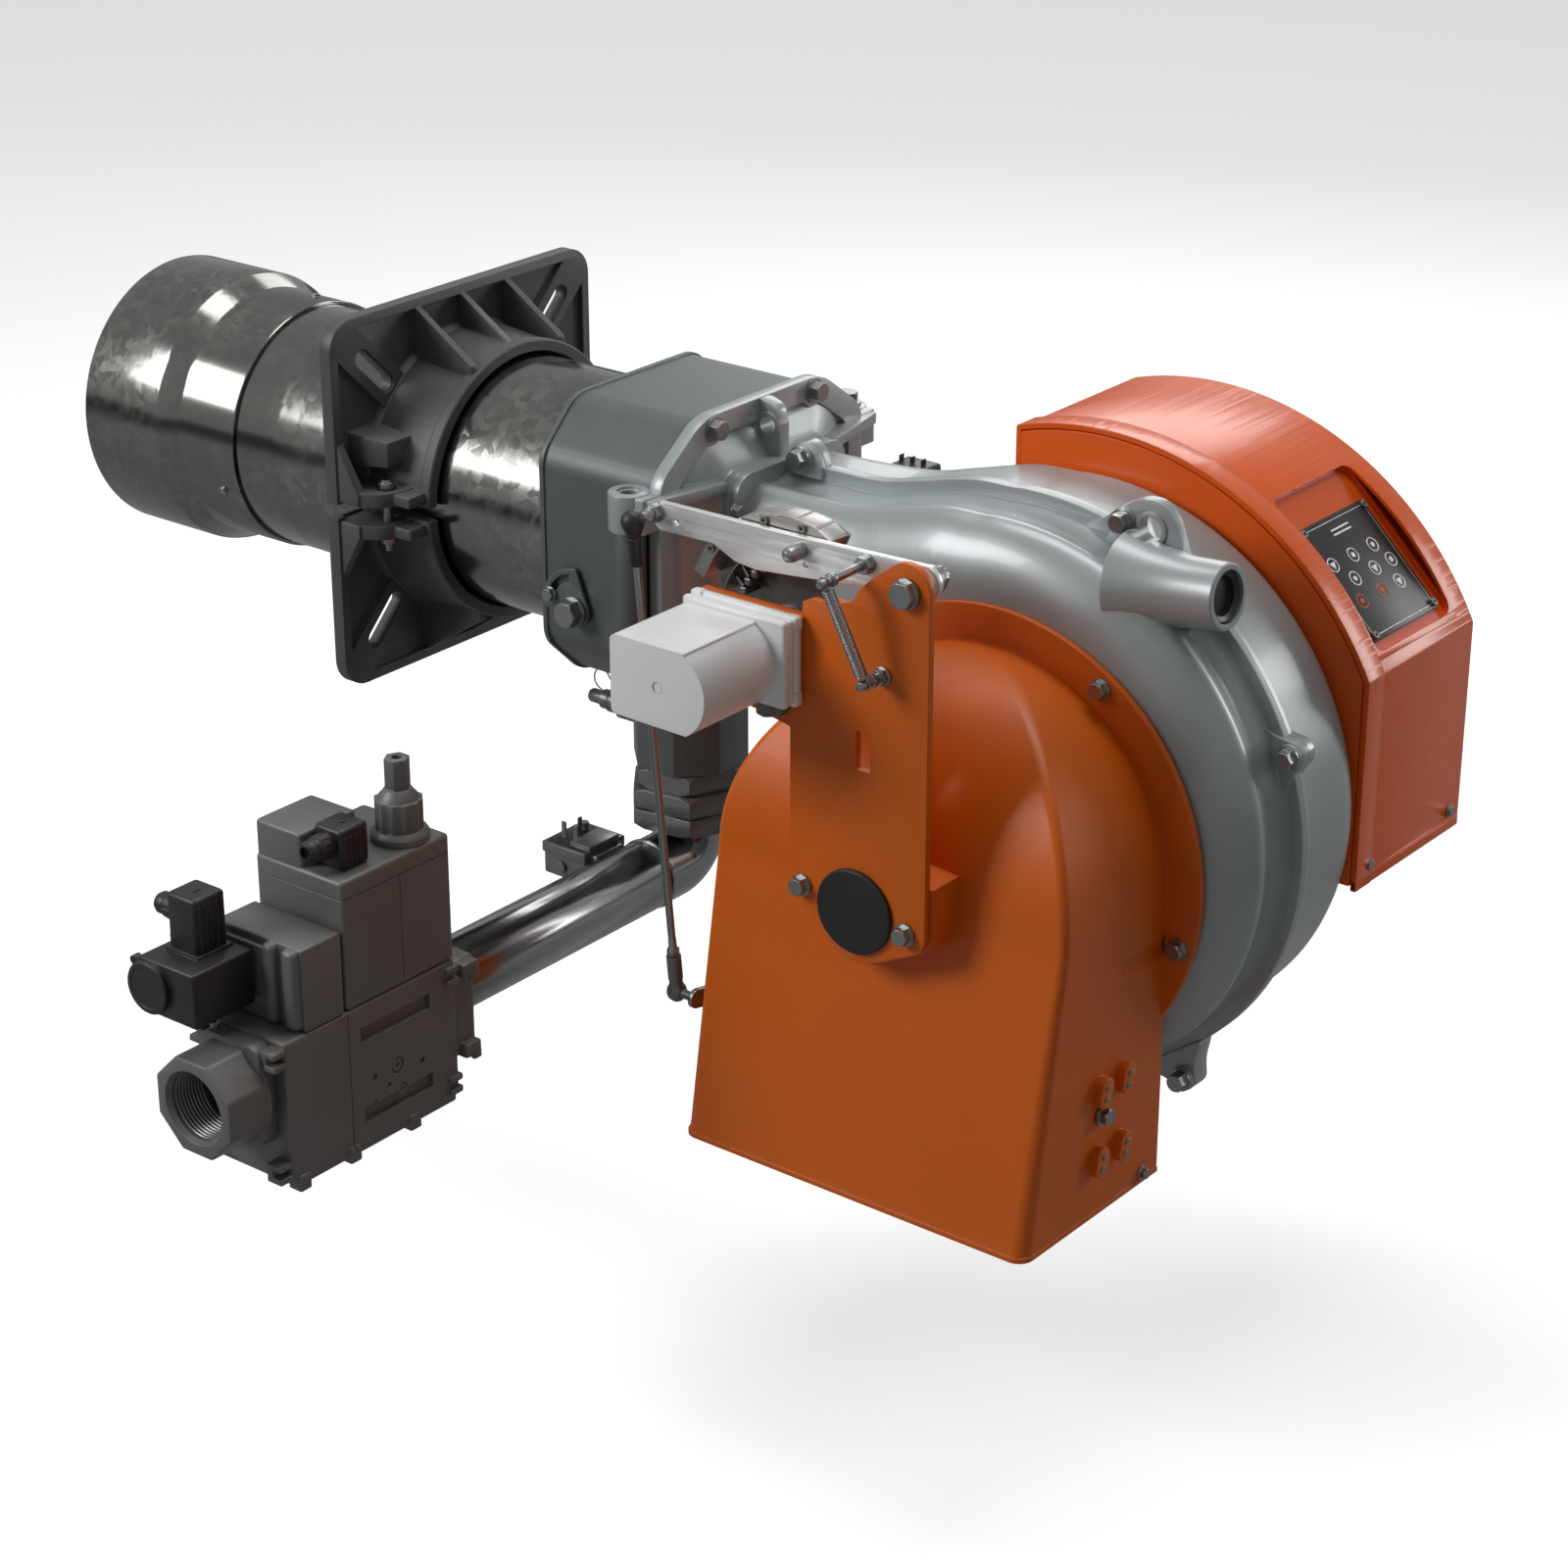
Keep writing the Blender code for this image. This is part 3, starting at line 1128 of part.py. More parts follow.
def control_box():
    part(
        "control_base", "dark_steel", "burner_body",
        plate([cover_outline(COVER_WALL + FIT, COVER_BOTTOM + 0.004)], "Y", BASE_NEAR, COVER_NEAR + 0.006),
        cuts=[rod((FAN_X, 0.08, FAN_Z), (FAN_X, 0.12, FAN_Z), MOTOR_FLANGE_RADIUS + FIT, sides=48),
              box((FAN_X - MOTOR_FLANGE_RADIUS - FIT, 0.08, -0.3), (FAN_X + MOTOR_FLANGE_RADIUS + FIT, 0.12, FAN_Z))],
    )
    shell = combined(
        bevelled(plate([cover_outline(0, COVER_BOTTOM - 2 * COVER_EDGE)], "Y", COVER_NEAR - 2 * COVER_EDGE, COVER_FAR),
                 COVER_EDGE, 3, 50),
        cuts=[box((COVER_LEFT - OVERRUN, 0, COVER_BOTTOM - 0.1), (COVER_RIGHT + OVERRUN, COVER_NEAR, 0.2)),
              box((COVER_LEFT - OVERRUN, 0, COVER_BOTTOM - 0.1), (COVER_RIGHT + OVERRUN, 0.3, COVER_BOTTOM)),
              plate([cover_outline(COVER_WALL, COVER_BOTTOM - OVERRUN)], "Y",
                    COVER_NEAR - OVERRUN, COVER_FAR - COVER_WALL)],
    )
    notch = MOTOR_RADIUS + 0.004
    reach = POCKET_HALF + POCKET_WALL
    pocket_floor = tilted_box(
        (-reach, POCKET_NEAR - POCKET_WALL, PANEL_FLOOR - COVER_WALL),
        (reach, POCKET_FAR + POCKET_WALL, PANEL_FLOOR + COVER_WALL),
    )
    pocket = tilted_box(
        (-POCKET_HALF, POCKET_NEAR, PANEL_FLOOR), (POCKET_HALF, POCKET_FAR, PANEL_FLOOR + PANEL_DEPTH + 2 * OVERRUN),
    )
    part(
        "control_cover", "orange_gloss", "burner_body", shell, [pocket_floor],
        [pocket, rod((FAN_X, COVER_FAR - 0.03, FAN_Z), (FAN_X, COVER_FAR + OVERRUN, FAN_Z), notch, sides=48),
         box((FAN_X - notch, COVER_FAR - 0.03, -0.3), (FAN_X + notch, COVER_FAR + OVERRUN, FAN_Z))],
    )
    middle = (POCKET_NEAR + POCKET_FAR) / 2
    seat = PANEL_FLOOR + FIT
    part(
        "display_panel", "black_plastic", "burner_body",
        tilted_box(
            (PANEL_TOP, middle - PANEL_WIDTH / 2, seat),
            (PANEL_TOP + PANEL_LENGTH, middle + PANEL_WIDTH / 2, seat + PANEL_THICKNESS),
        ),
    )


def air_pressure_switch():
    wall = DUCT_HALF_WIDTH + SCROLL_WALL + FIT
    part(
        "air_pressure_switch", "black_plastic", "burner_body",
        box((0.388, wall, 0.000), (0.446, wall + 0.050, 0.050), 0.003),
        [box((0.400, wall + 0.012, 0.049), (0.434, wall + 0.044, 0.066), 0.002)],
    )


# Intake hood

def hood_ring(z, half_width, front, corner, back):
    """A level section of the hood: square behind, round at the front corners."""
    centre = (HOOD_LEFT + HOOD_RIGHT) / 2
    corner = min(corner, half_width * 0.98, (back - front) * 0.98)
    points = [(centre - half_width, back), (centre - half_width, (back + front + corner) / 2)]
    points += arc((centre - half_width + corner, front + corner), corner, 180, 270, 4)
    points += arc((centre + half_width - corner, front + corner), corner, 270, 360, 4)
    points += [(centre + half_width, (back + front + corner) / 2), (centre + half_width, back)]
    return [(x, y, z) for x, y in points]


def hood_skin(inset, start):
    """The hood's outer form, or its hollow when inset by the wall."""
    half = (HOOD_RIGHT - HOOD_LEFT) / 2
    rings = []
    for i in range(4):
        share = i / 3
        z = start + (FAN_Z - start) * share
        front = HOOD_FRONT + (HOOD_SHOULDER - HOOD_FRONT) * share
        corner = HOOD_CORNER + (HOOD_SHOULDER_CORNER - HOOD_CORNER) * share
        rings.append(hood_ring(z, half - inset, front + inset, corner - inset, HOOD_BACK - inset))
    for degrees in (15, 30, 44, 57, 68, 77):
        turn = math.radians(degrees)
        z = FAN_Z + (half - inset) * math.sin(turn)
        front = HOOD_BACK - inset + (HOOD_SHOULDER - HOOD_BACK + 2 * inset) * math.cos(turn)
        width = (half - inset) * math.cos(turn)
        corner = (HOOD_SHOULDER_CORNER - inset) * math.cos(turn)
        rings.append(hood_ring(z, width, front, corner, HOOD_BACK - inset))
    return loft(rings)


def intake_hood():
    centre = (FAN_X, FAN_Z)
    shell = combined(hood_skin(0, HOOD_BOTTOM), cuts=[hood_skin(HOOD_WALL, HOOD_BOTTOM - OVERRUN)])
    boss_front = BRACKET_FRONT + BRACKET_THICKNESS + FIT
    joins = [
        plate([circle(centre, HOOD_RING_RADIUS, 48)], "Y", HOOD_RING_FRONT, HOOD_RING_SEAT),
        rod((FAN_X, HOOD_SHOULDER + 0.012, BOSS_Z), (FAN_X, boss_front, BOSS_Z),
            BOSS_RADIUS + 0.004, BOSS_RADIUS, 40),
    ]
    for y in (-0.173, -0.141):
        for z in (-0.275, -0.335):
            ends = (y - 0.006, z + 0.008), (y + 0.006, z - 0.008)
            joins.append(plate([capsule(*ends, 0.008, 4)], "X", HOOD_RIGHT - 0.002, HOOD_RIGHT + 0.004))
    cuts = [
        rod((FAN_X, -0.10, FAN_Z), (FAN_X, -0.06, FAN_Z), INTAKE_RADIUS, sides=40),
        rod((HOOD_LEFT - OVERRUN, DAMPER_Y, DAMPER_Z), (HOOD_RIGHT + OVERRUN, DAMPER_Y, DAMPER_Z),
            DAMPER_SHAFT + RUNNING),
    ]
    for angle in RING_BOLTS:
        place = arc(centre, HOOD_RING_RADIUS - 0.012, angle, angle, 1)[0]
        joins.append(plate([polygon(place, 0.013)], "Y", HOOD_RING_FRONT - 0.009, HOOD_RING_FRONT + 0.001))
    part("intake_hood", "orange_paint", "burner_body", shell, joins, cuts)


# Bracket, servo and cam

def bracket():
    back = BRACKET_FRONT + BRACKET_THICKNESS
    foot = (FAN_X, BOSS_Z)
    outline = arc(foot, FOOT_RADIUS, 190, 350, 16)
    outline += [(0.684, 0.085)]
    outline += arc((PIVOT_X - 0.003, PIVOT_Z - 0.001), 0.020, -12, 150, 8)
    outline += [(0.622, 0.101)] + arc((0.606, 0.101), 0.014, -20, -120, 5)
    outline += arc((0.580, 0.075), 0.009, 70, 175, 4)
    outline += [(0.5705, 0.0695), (0.478, 0.0695), (0.478, -0.005), (0.560, -0.020)]
    window = [(0.620, -0.038), (0.633, -0.038), (0.633, -0.007), (0.620, -0.007)]
    holes = [window, circle((PIVOT_X, PIVOT_Z), PIVOT_RADIUS + FIT, 24),
             circle((SERVO_X, SERVO_Z), SERVO_SHAFT + RUNNING, 24)]
    heads = [
        plate([polygon((FAN_X + side * FOOT_BOLT_OFFSET, BOSS_Z - 0.001), 0.013)],
              "Y", BRACKET_FRONT - 0.008, BRACKET_FRONT + 0.001)
        for side in (1, -1)
    ]
    part("linkage_bracket", "orange_paint", "burner_body", plate([outline] + holes, "Y", BRACKET_FRONT, back), heads)
    front = BRACKET_FRONT - FIT
    cap = rod((FAN_X, front, BOSS_Z + 0.001), (FAN_X, front - 0.005, BOSS_Z + 0.001), CAP_RADIUS, sides=40)
    part("bracket_cap", "black_plastic", "burner_body", bevelled(cap, 0.001, 1))
    hex_bolt("lever_pivot_bolt", "burner_body", "Y", (PIVOT_X, PIVOT_Z), front, front - 0.010, 0.019,
             PIVOT_RADIUS, LEVER_BACK + 0.008)
    place = (SPRING_FOOT[0], SPRING_FOOT[2])
    part(
        "spring_foot_post", "bright_steel", "burner_body",
        plate([polygon(place, 0.011)], "Y", front - 0.006, front),
        [rod(along("Y", place, front - 0.004), along("Y", place, SPRING_FOOT[1] - 0.004), SPRING_POST, sides=16)],
    )


def servo():
    seat = BRACKET_FRONT - FIT
    part(
        "servo_base", "white_plastic", "burner_body",
        box((0.475, SERVO_BASE_FRONT, 0.001), (0.572, seat, 0.070), 0.003),
        cuts=[rod((SERVO_X, seat - 0.012, SERVO_Z), (SERVO_X, seat + OVERRUN, SERVO_Z),
                  SERVO_SHAFT + RUNNING, sides=24)],
    )
    outline = [(0.475, 0.002), (0.545, 0.002)] + arc((0.528, 0.0325), 0.037, -50, 50, 8)
    outline += [(0.545, 0.063), (0.475, 0.063)]
    part(
        "servo_cover", "white_plastic", "burner_body",
        bevelled(plate([outline], "Y", SERVO_FRONT, SERVO_BASE_FRONT - FIT), 0.003, 2, 50),
    )


def roller_path():
    """The roller's centre seen from the cam: (radius, angle) while the cam turns and the lever drops."""
    path = []
    for i in range(-4, CAM_STEPS + 3):
        turned_by = CAM_RANGE * i / CAM_STEPS
        drop = math.radians(LEVER_RANGE * min(max(turned_by, 0), CAM_RANGE) / CAM_RANGE)
        u, v = FOLLOWER_X - PIVOT_X, FOLLOWER_Z - PIVOT_Z
        x = PIVOT_X + u * math.cos(drop) - v * math.sin(drop) - SERVO_X
        z = PIVOT_Z + u * math.sin(drop) + v * math.cos(drop) - SERVO_Z
        path.append((math.hypot(x, z), math.degrees(math.atan2(z, x)) + turned_by))
    return path


def cam_point(radius, angle):
    turn = math.radians(angle)
    return (SERVO_X + radius * math.cos(turn), SERVO_Z + radius * math.sin(turn))


def cam_strip(low, high):
    """A strip that follows the roller's path between two offsets from it."""
    path = roller_path()
    outer = [cam_point(radius + high, angle) for radius, angle in path]
    inner = [cam_point(radius + low, angle) for radius, angle in reversed(path)]
    return outer + inner


def cam():
    reach = ROLLER_RADIUS + CAM_CLEARANCE
    path = roller_path()
    first, last = path[0][1], path[-1][1]
    backing = [cam_point(radius + reach + CAM_BAND - 0.002, angle) for radius, angle in path]
    backing += arc((SERVO_X, SERVO_Z), 0.046, last + 8, 360 + first - 8, 24)
    part(
        "cam_disc", "dark_steel", "cam",
        plate([backing], "Y", CAM_BACK - CAM_DISC, CAM_BACK),
        [rod((SERVO_X, CAM_BACK - 0.002, SERVO_Z), (SERVO_X, BRACKET_FRONT - 0.010, SERVO_Z), SERVO_SHAFT, sides=24),
         rod((SERVO_X, CAM_BACK - 0.002, SERVO_Z), (SERVO_X, CAM_FRONT - 0.004, SERVO_Z), 0.018, sides=24)],
    )
    seat = CAM_BACK - CAM_DISC - FIT
    part("cam_band", "brushed_steel", "cam", plate([cam_strip(reach, reach + CAM_BAND)], "Y", CAM_FRONT, seat))
    part("cam_leaf", "bright_steel", "cam", plate([cam_strip(-reach - CAM_LEAF, -reach)], "Y", CAM_FRONT, seat))


# Lever, follower, rod, spring and damper

def lever():
    pivot = (PIVOT_X, PIVOT_Z)
    outline = arc(pivot, 0.0135, -95, 85, 8)
    outline += [(0.537, 0.121), (LEVER_LEFT + 0.006, 0.1195)]
    outline += arc((LEVER_LEFT + 0.011, 0.108), 0.011, 110, 250, 6)
    outline += [(0.476, 0.0985), (0.497, 0.089), (0.516, 0.087), (0.560, 0.091), (0.612, 0.0965)]
    post = (SPRING_TOP[0], SPRING_TOP[2])
    post_nut = BRACKET_FRONT + BRACKET_THICKNESS + RUNNING
    follower = (FOLLOWER_X, FOLLOWER_Z)
    ball = (UPPER_BALL[0], UPPER_BALL[2])
    part(
        "control_lever", "zinc_plate", "lever",
        plate([outline], "Y", LEVER_FRONT, LEVER_BACK),
        [rod(along("Y", pivot, LEVER_FRONT + 0.001), along("Y", pivot, BRACKET_FRONT + BRACKET_THICKNESS + FIT),
             0.011, sides=24),
         plate([polygon(post, 0.012)], "Y", post_nut, LEVER_FRONT + 0.001),
         rod(along("Y", post, LEVER_FRONT), along("Y", post, SPRING_TOP[1] - 0.004), SPRING_POST, sides=16),
         plate([polygon(ball, 0.013)], "Y", LEVER_FRONT - 0.008, LEVER_FRONT + 0.001),
         rod(along("Y", ball, LEVER_FRONT), along("Y", ball, UPPER_BALL[1] + 0.0035), BALL_STUD, sides=16)],
        [rod(along("Y", place, LEVER_FRONT - OVERRUN), along("Y", place, LEVER_BACK + OVERRUN), radius, sides=sides)
         for place, radius, sides in (
             (pivot, PIVOT_RADIUS + FIT, 24), (follower, FOLLOWER_STUD + FIT, 24),
             ((0.441, 0.107), 0.003, 16), ((0.562, 0.101), 0.002, 12),
         )],
    )
    part(
        "cam_follower", "bright_steel", "lever",
        rod(along("Y", follower, ROLLER_BACK), along("Y", follower, CAM_FRONT), ROLLER_RADIUS, sides=24),
        [rod(along("Y", follower, CAM_FRONT + 0.001), along("Y", follower, LEVER_FRONT - 0.002), FOLLOWER_STUD,
             sides=24),
         rod(along("Y", follower, LEVER_FRONT - FIT), along("Y", follower, -0.255), 0.0065, sides=16)],
    )


def link_rod():
    top, foot = Vector(UPPER_BALL), Vector(LOWER_BALL)
    down = (foot - top).normalized()
    part(
        "upper_ball_joint", "black_plastic", "rod",
        turned([(0, -0.0095), (0.0055, -0.0078), (0.0090, -0.003), (0.0095, 0), (0.0090, 0.003), (0.0070, 0.0075),
                (0.0070, 0.038), (0, 0.038)], top, down, 20),
        cuts=[rod(top + Vector((0, 0.002, 0)), top + Vector((0, 0.02, 0)), BALL_STUD + RUNNING, sides=16),
              rod(top + down * 0.014, top + down * 0.05, ROD_RADIUS + FIT, sides=12)],
    )
    part("link_rod", "bright_steel", "rod", rod(top + down * 0.016, foot - down * 0.016, ROD_RADIUS, sides=12))
    part(
        "lower_ball_joint", "dark_steel", "rod",
        turned([(0, -0.0085), (0.0050, -0.0070), (0.0080, -0.003), (0.0085, 0), (0.0080, 0.003), (0.0062, 0.0070),
                (0.0062, 0.034), (0, 0.034)], foot, -down, 20),
        [rod(foot, (DAMPER_ARM_X - RUNNING, foot.y, foot.z), BALL_STUD, sides=16)],
        [rod(foot - down * 0.014, foot - down * 0.05, ROD_RADIUS + FIT, sides=12)],
    )


def spring():
    top, foot = Vector(SPRING_TOP), Vector(SPRING_FOOT)
    run = (foot - top).normalized()
    clear = SPRING_POST + FIT
    part("lever_spring", "bright_steel", "burner_body",
         rod(top + run * clear * 1.14, foot - run * clear * 1.14, SPRING_RADIUS, sides=16))


def damper():
    axis = (DAMPER_Y, DAMPER_Z)
    ball = (LOWER_BALL[1], LOWER_BALL[2])
    arm_end = DAMPER_ARM_X + DAMPER_ARM_THICKNESS
    hub_end = HOOD_LEFT - RUNNING
    part(
        "damper_shaft", "bright_steel", "damper",
        rod(along("X", axis, arm_end + FIT), along("X", axis, HOOD_RIGHT + 0.008), DAMPER_SHAFT, sides=24),
        [rod(along("X", axis, arm_end + FIT), along("X", axis, arm_end + 0.008), 0.009, sides=24)],
    )
    part(
        "damper_arm", "bright_steel", "damper",
        plate([capsule(axis, ball, 0.008)], "X", DAMPER_ARM_X, arm_end),
    )
    inner_left, inner_right = HOOD_LEFT + HOOD_WALL + 0.013, HOOD_RIGHT - HOOD_WALL - 0.013
    seat = DAMPER_Z + DAMPER_SHAFT + FIT
    part(
        "damper_blade", "galvanised", "damper",
        box((inner_left, DAMPER_Y - DAMPER_HALF_CHORD, seat),
            (inner_right, DAMPER_Y + DAMPER_HALF_CHORD, seat + 0.003)),
    )


# Build, body by body

body("flange", (0, 0, 0))
mounting_flange()
clamp_bolt()

body("head", (0, 0, 0), "flange")
tubes()
head_housing()
hinge_pin()
pipe_axis = gas_line()
neck_reach = NECK_FLATS / 2 + FIT
test_nipple("test_nipple_upper", (-0.008, -0.176), neck_reach)
test_nipple("test_nipple_lower", (0.0135, -0.192), neck_reach)
low_pressure_switch(pipe_axis)
valve(pipe_axis)
front_controls()
gas_manifold()

body("head_adjuster", (ADJUSTER_X, -HOUSING_HALF_WIDTH, ADJUSTER_Z), "head")
body("combustion_head", (LANCE_START, 0, 0), "head")
adjuster()
combustion_head()

body("burner_body", (HINGE_X, HINGE_Y, 0), "head")
transition_casting()
scroll()
body("fan", (FAN_X, 0, FAN_Z), "burner_body")
fan()
control_box()
air_pressure_switch()
intake_hood()
bracket()
servo()

body("cam", (SERVO_X, CAM_BACK, SERVO_Z), "burner_body")
cam()
body("lever", (PIVOT_X, LEVER_FRONT, PIVOT_Z), "burner_body")
lever()
body("rod", UPPER_BALL, "lever")
link_rod()
spring()
body("damper", (HOOD_LEFT, DAMPER_Y, DAMPER_Z), "burner_body")
damper()
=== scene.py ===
"""A forced-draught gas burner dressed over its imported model. Metres, +Z up, firing towards -X."""

import json
import math

import bmesh
import bpy
from mathutils import Matrix, Vector


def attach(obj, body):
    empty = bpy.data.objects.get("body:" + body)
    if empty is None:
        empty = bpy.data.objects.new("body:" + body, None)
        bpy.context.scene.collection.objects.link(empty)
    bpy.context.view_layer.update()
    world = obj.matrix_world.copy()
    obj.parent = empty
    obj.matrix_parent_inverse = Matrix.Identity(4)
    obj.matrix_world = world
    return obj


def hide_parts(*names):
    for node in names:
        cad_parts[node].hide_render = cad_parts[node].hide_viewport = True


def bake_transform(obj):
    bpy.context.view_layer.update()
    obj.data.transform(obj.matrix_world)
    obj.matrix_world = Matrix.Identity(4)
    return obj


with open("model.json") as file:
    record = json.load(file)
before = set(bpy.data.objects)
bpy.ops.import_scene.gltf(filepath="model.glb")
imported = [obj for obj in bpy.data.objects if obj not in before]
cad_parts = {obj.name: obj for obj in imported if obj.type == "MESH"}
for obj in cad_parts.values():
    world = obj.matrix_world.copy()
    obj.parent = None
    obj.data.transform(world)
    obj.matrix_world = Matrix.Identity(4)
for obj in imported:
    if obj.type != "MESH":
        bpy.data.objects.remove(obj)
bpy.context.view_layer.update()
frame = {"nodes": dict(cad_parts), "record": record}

PHOTO_CAMERA = (2.0549, -2.1535, 0.9992)
PHOTO_TURN = (66.25, 0, 38.25)
PHOTO_LENS = 82.8
FLOOR = -0.62

# Sizes that several pieces share
TUBE = 0.1075
GAS_X = 0.257
PIPE_Z = -0.2973
FAN_X = 0.621
FAN_Z = -0.1545
PIVOT = (0.667, 0.111)
SERVO = (0.524, 0.034)
FOLLOWER = (0.555, 0.110)
UPPER_BALL = (0.4227, -0.262, 0.111)
LOWER_BALL = (0.4227, -0.219, -0.292)
SPRING_TOP = (0.6175, -0.284, 0.115)
SPRING_FOOT = (0.644, -0.272, 0.041)
BRACKET_FRONT = -0.250
GAP = 0.0004


# Shader groups

def new_group(name, inputs, outputs):
    """A shader group with number sockets, its input node and its output node."""
    tree = bpy.data.node_groups.new(name, "ShaderNodeTree")
    for socket, default in inputs:
        made = tree.interface.new_socket(socket, in_out="INPUT", socket_type="NodeSocketFloat")
        made.default_value = default
    for socket, kind in outputs:
        tree.interface.new_socket(socket, in_out="OUTPUT", socket_type=kind)
    return tree, tree.nodes.new("NodeGroupInput"), tree.nodes.new("NodeGroupOutput")


def node(tree, kind, values=(), links=(), **settings):
    """A node with its settings, its input values and its incoming links."""
    made = tree.nodes.new(kind)
    for key, value in settings.items():
        setattr(made, key, value)
    for socket, value in values:
        made.inputs[socket].default_value = value
    for socket, source in links:
        tree.links.new(source, made.inputs[socket])
    return made


def maths(tree, operation, first, second, clamp=False):
    """A Math node whose inputs are sockets or numbers."""
    made = node(tree, "ShaderNodeMath", operation=operation, use_clamp=clamp)
    for slot, source in enumerate((first, second)):
        if isinstance(source, (int, float)):
            made.inputs[slot].default_value = source
        else:
            tree.links.new(source, made.inputs[slot])
    return made.outputs[0]


def edge_wear():
    """A mask that is bright along sharp edges and broken up by noise."""
    tree, given, out = new_group(
        "edge wear", (("Width", 0.001), ("Strength", 4.0), ("Break Up", 60.0)), (("Mask", "NodeSocketFloat"),),
    )
    coords = node(tree, "ShaderNodeTexCoord")
    rounded = node(tree, "ShaderNodeBevel", samples=4, links=[("Radius", given.outputs["Width"])])
    surface = node(tree, "ShaderNodeNewGeometry")
    facing = node(tree, "ShaderNodeVectorMath", operation="DOT_PRODUCT",
                  links=[(0, rounded.outputs[0]), (1, surface.outputs["Normal"])])
    bend = maths(tree, "SUBTRACT", 1.0, facing.outputs["Value"])
    noise = node(tree, "ShaderNodeTexNoise", values=[("Detail", 4.0)],
                 links=[("Vector", coords.outputs["Object"]), ("Scale", given.outputs["Break Up"])])
    patchy = maths(tree, "MULTIPLY", noise.outputs[0], noise.outputs[0])
    worn = maths(tree, "MULTIPLY", bend, maths(tree, "MULTIPLY", patchy, given.outputs["Strength"]), True)
    tree.links.new(worn, out.inputs["Mask"])
    return tree


def cast_grain():
    """The height and the mottling of a cast or moulded skin."""
    tree, given, out = new_group(
        "cast grain", (("Scale", 900.0), ("Pits", 0.3)), (("Height", "NodeSocketFloat"), ("Mottle", "NodeSocketFloat")),
    )
    coords = node(tree, "ShaderNodeTexCoord")
    fine = node(tree, "ShaderNodeTexNoise", values=[("Detail", 5.0), ("Roughness", 0.6)],
                links=[("Vector", coords.outputs["Object"]), ("Scale", given.outputs["Scale"])])
    cells = node(tree, "ShaderNodeTexVoronoi", feature="SMOOTH_F1",
                 links=[("Vector", coords.outputs["Object"]),
                        ("Scale", maths(tree, "MULTIPLY", given.outputs["Scale"], 0.6))])
    broad = node(tree, "ShaderNodeTexNoise", values=[("Scale", 14.0), ("Detail", 3.0)],
                 links=[("Vector", coords.outputs["Object"])])
    pitted = maths(tree, "MULTIPLY", cells.outputs["Distance"], given.outputs["Pits"])
    tree.links.new(maths(tree, "ADD", fine.outputs[0], pitted), out.inputs["Height"])
    tree.links.new(broad.outputs[0], out.inputs["Mottle"])
    return tree


def settled_dust():
    """A faint mask on faces that look up, broken up by noise."""
    tree, given, out = new_group("settled dust", (("Amount", 0.2),), (("Mask", "NodeSocketFloat"),))
    coords = node(tree, "ShaderNodeTexCoord")
    surface = node(tree, "ShaderNodeNewGeometry")
    parts = node(tree, "ShaderNodeSeparateXYZ", links=[("Vector", surface.outputs["Normal"])])
    noise = node(tree, "ShaderNodeTexNoise", values=[("Scale", 35.0), ("Detail", 6.0), ("Roughness", 0.65)],
                 links=[("Vector", coords.outputs["Object"])])
    up = maths(tree, "MULTIPLY", maths(tree, "MAXIMUM", parts.outputs["Z"], 0.0), noise.outputs[0])
    tree.links.new(maths(tree, "MULTIPLY", up, given.outputs["Amount"], True), out.inputs["Mask"])
    return tree


def zinc_spangle():
    """The crystal pattern of hot-dip galvanised sheet: a random grey in each cell."""
    tree, given, out = new_group(
        "zinc spangle", (("Size", 90.0), ("Contrast", 1.0)), (("Shade", "NodeSocketFloat"), ("Cloud", "NodeSocketFloat")),
    )
    coords = node(tree, "ShaderNodeTexCoord")
    warp = node(tree, "ShaderNodeTexNoise", values=[("Scale", 40.0), ("Detail", 3.0)],
                links=[("Vector", coords.outputs["Object"])])
    shifted = node(tree, "ShaderNodeVectorMath", operation="MULTIPLY_ADD", values=[(1, (0.02, 0.02, 0.02))],
                   links=[(0, warp.outputs["Color"]), (2, coords.outputs["Object"])])
    cells = node(tree, "ShaderNodeTexVoronoi", feature="F1",
                 links=[("Vector", shifted.outputs[0]), ("Scale", given.outputs["Size"])])
    grey = node(tree, "ShaderNodeSeparateColor", links=[("Color", cells.outputs["Color"])])
    cloud = node(tree, "ShaderNodeTexNoise", values=[("Scale", 7.0), ("Detail", 6.0), ("Roughness", 0.6)],
                 links=[("Vector", coords.outputs["Object"])])
    patches = node(tree, "ShaderNodeMapRange", values=[("From Min", 0.42), ("From Max", 0.62)],
                   links=[("Value", cloud.outputs[0])])
    shade = maths(tree, "MULTIPLY", maths(tree, "MULTIPLY", grey.outputs[0], patches.outputs[0]), given.outputs["Contrast"])
    tree.links.new(shade, out.inputs["Shade"])
    tree.links.new(patches.outputs[0], out.inputs["Cloud"])
    return tree


EDGES = edge_wear()
GRAIN = cast_grain()
DUST = settled_dust()
SPANGLE = zinc_spangle()


# Finishes

def group_node(tree, group, **values):
    made = tree.nodes.new("ShaderNodeGroup")
    made.node_tree = group
    for socket, value in values.items():
        made.inputs[socket.replace("_", " ")].default_value = value
    return made


def blended(tree, factor, first, second):
    """A colour between two, each a socket or an RGB triple."""
    mix = node(tree, "ShaderNodeMix", data_type="RGBA", clamp_factor=True)
    tree.links.new(factor, mix.inputs["Factor"])
    for socket, source in (("A", first), ("B", second)):
        place = [s for s in mix.inputs if s.name == socket and s.type == "RGBA"][0]
        if isinstance(source, tuple):
            place.default_value = (*source, 1)
        else:
            tree.links.new(source, place)
    return [s for s in mix.outputs if s.type == "RGBA"][0]


def shaded(colour, factor):
    return tuple(min(1.0, channel * factor) for channel in colour)


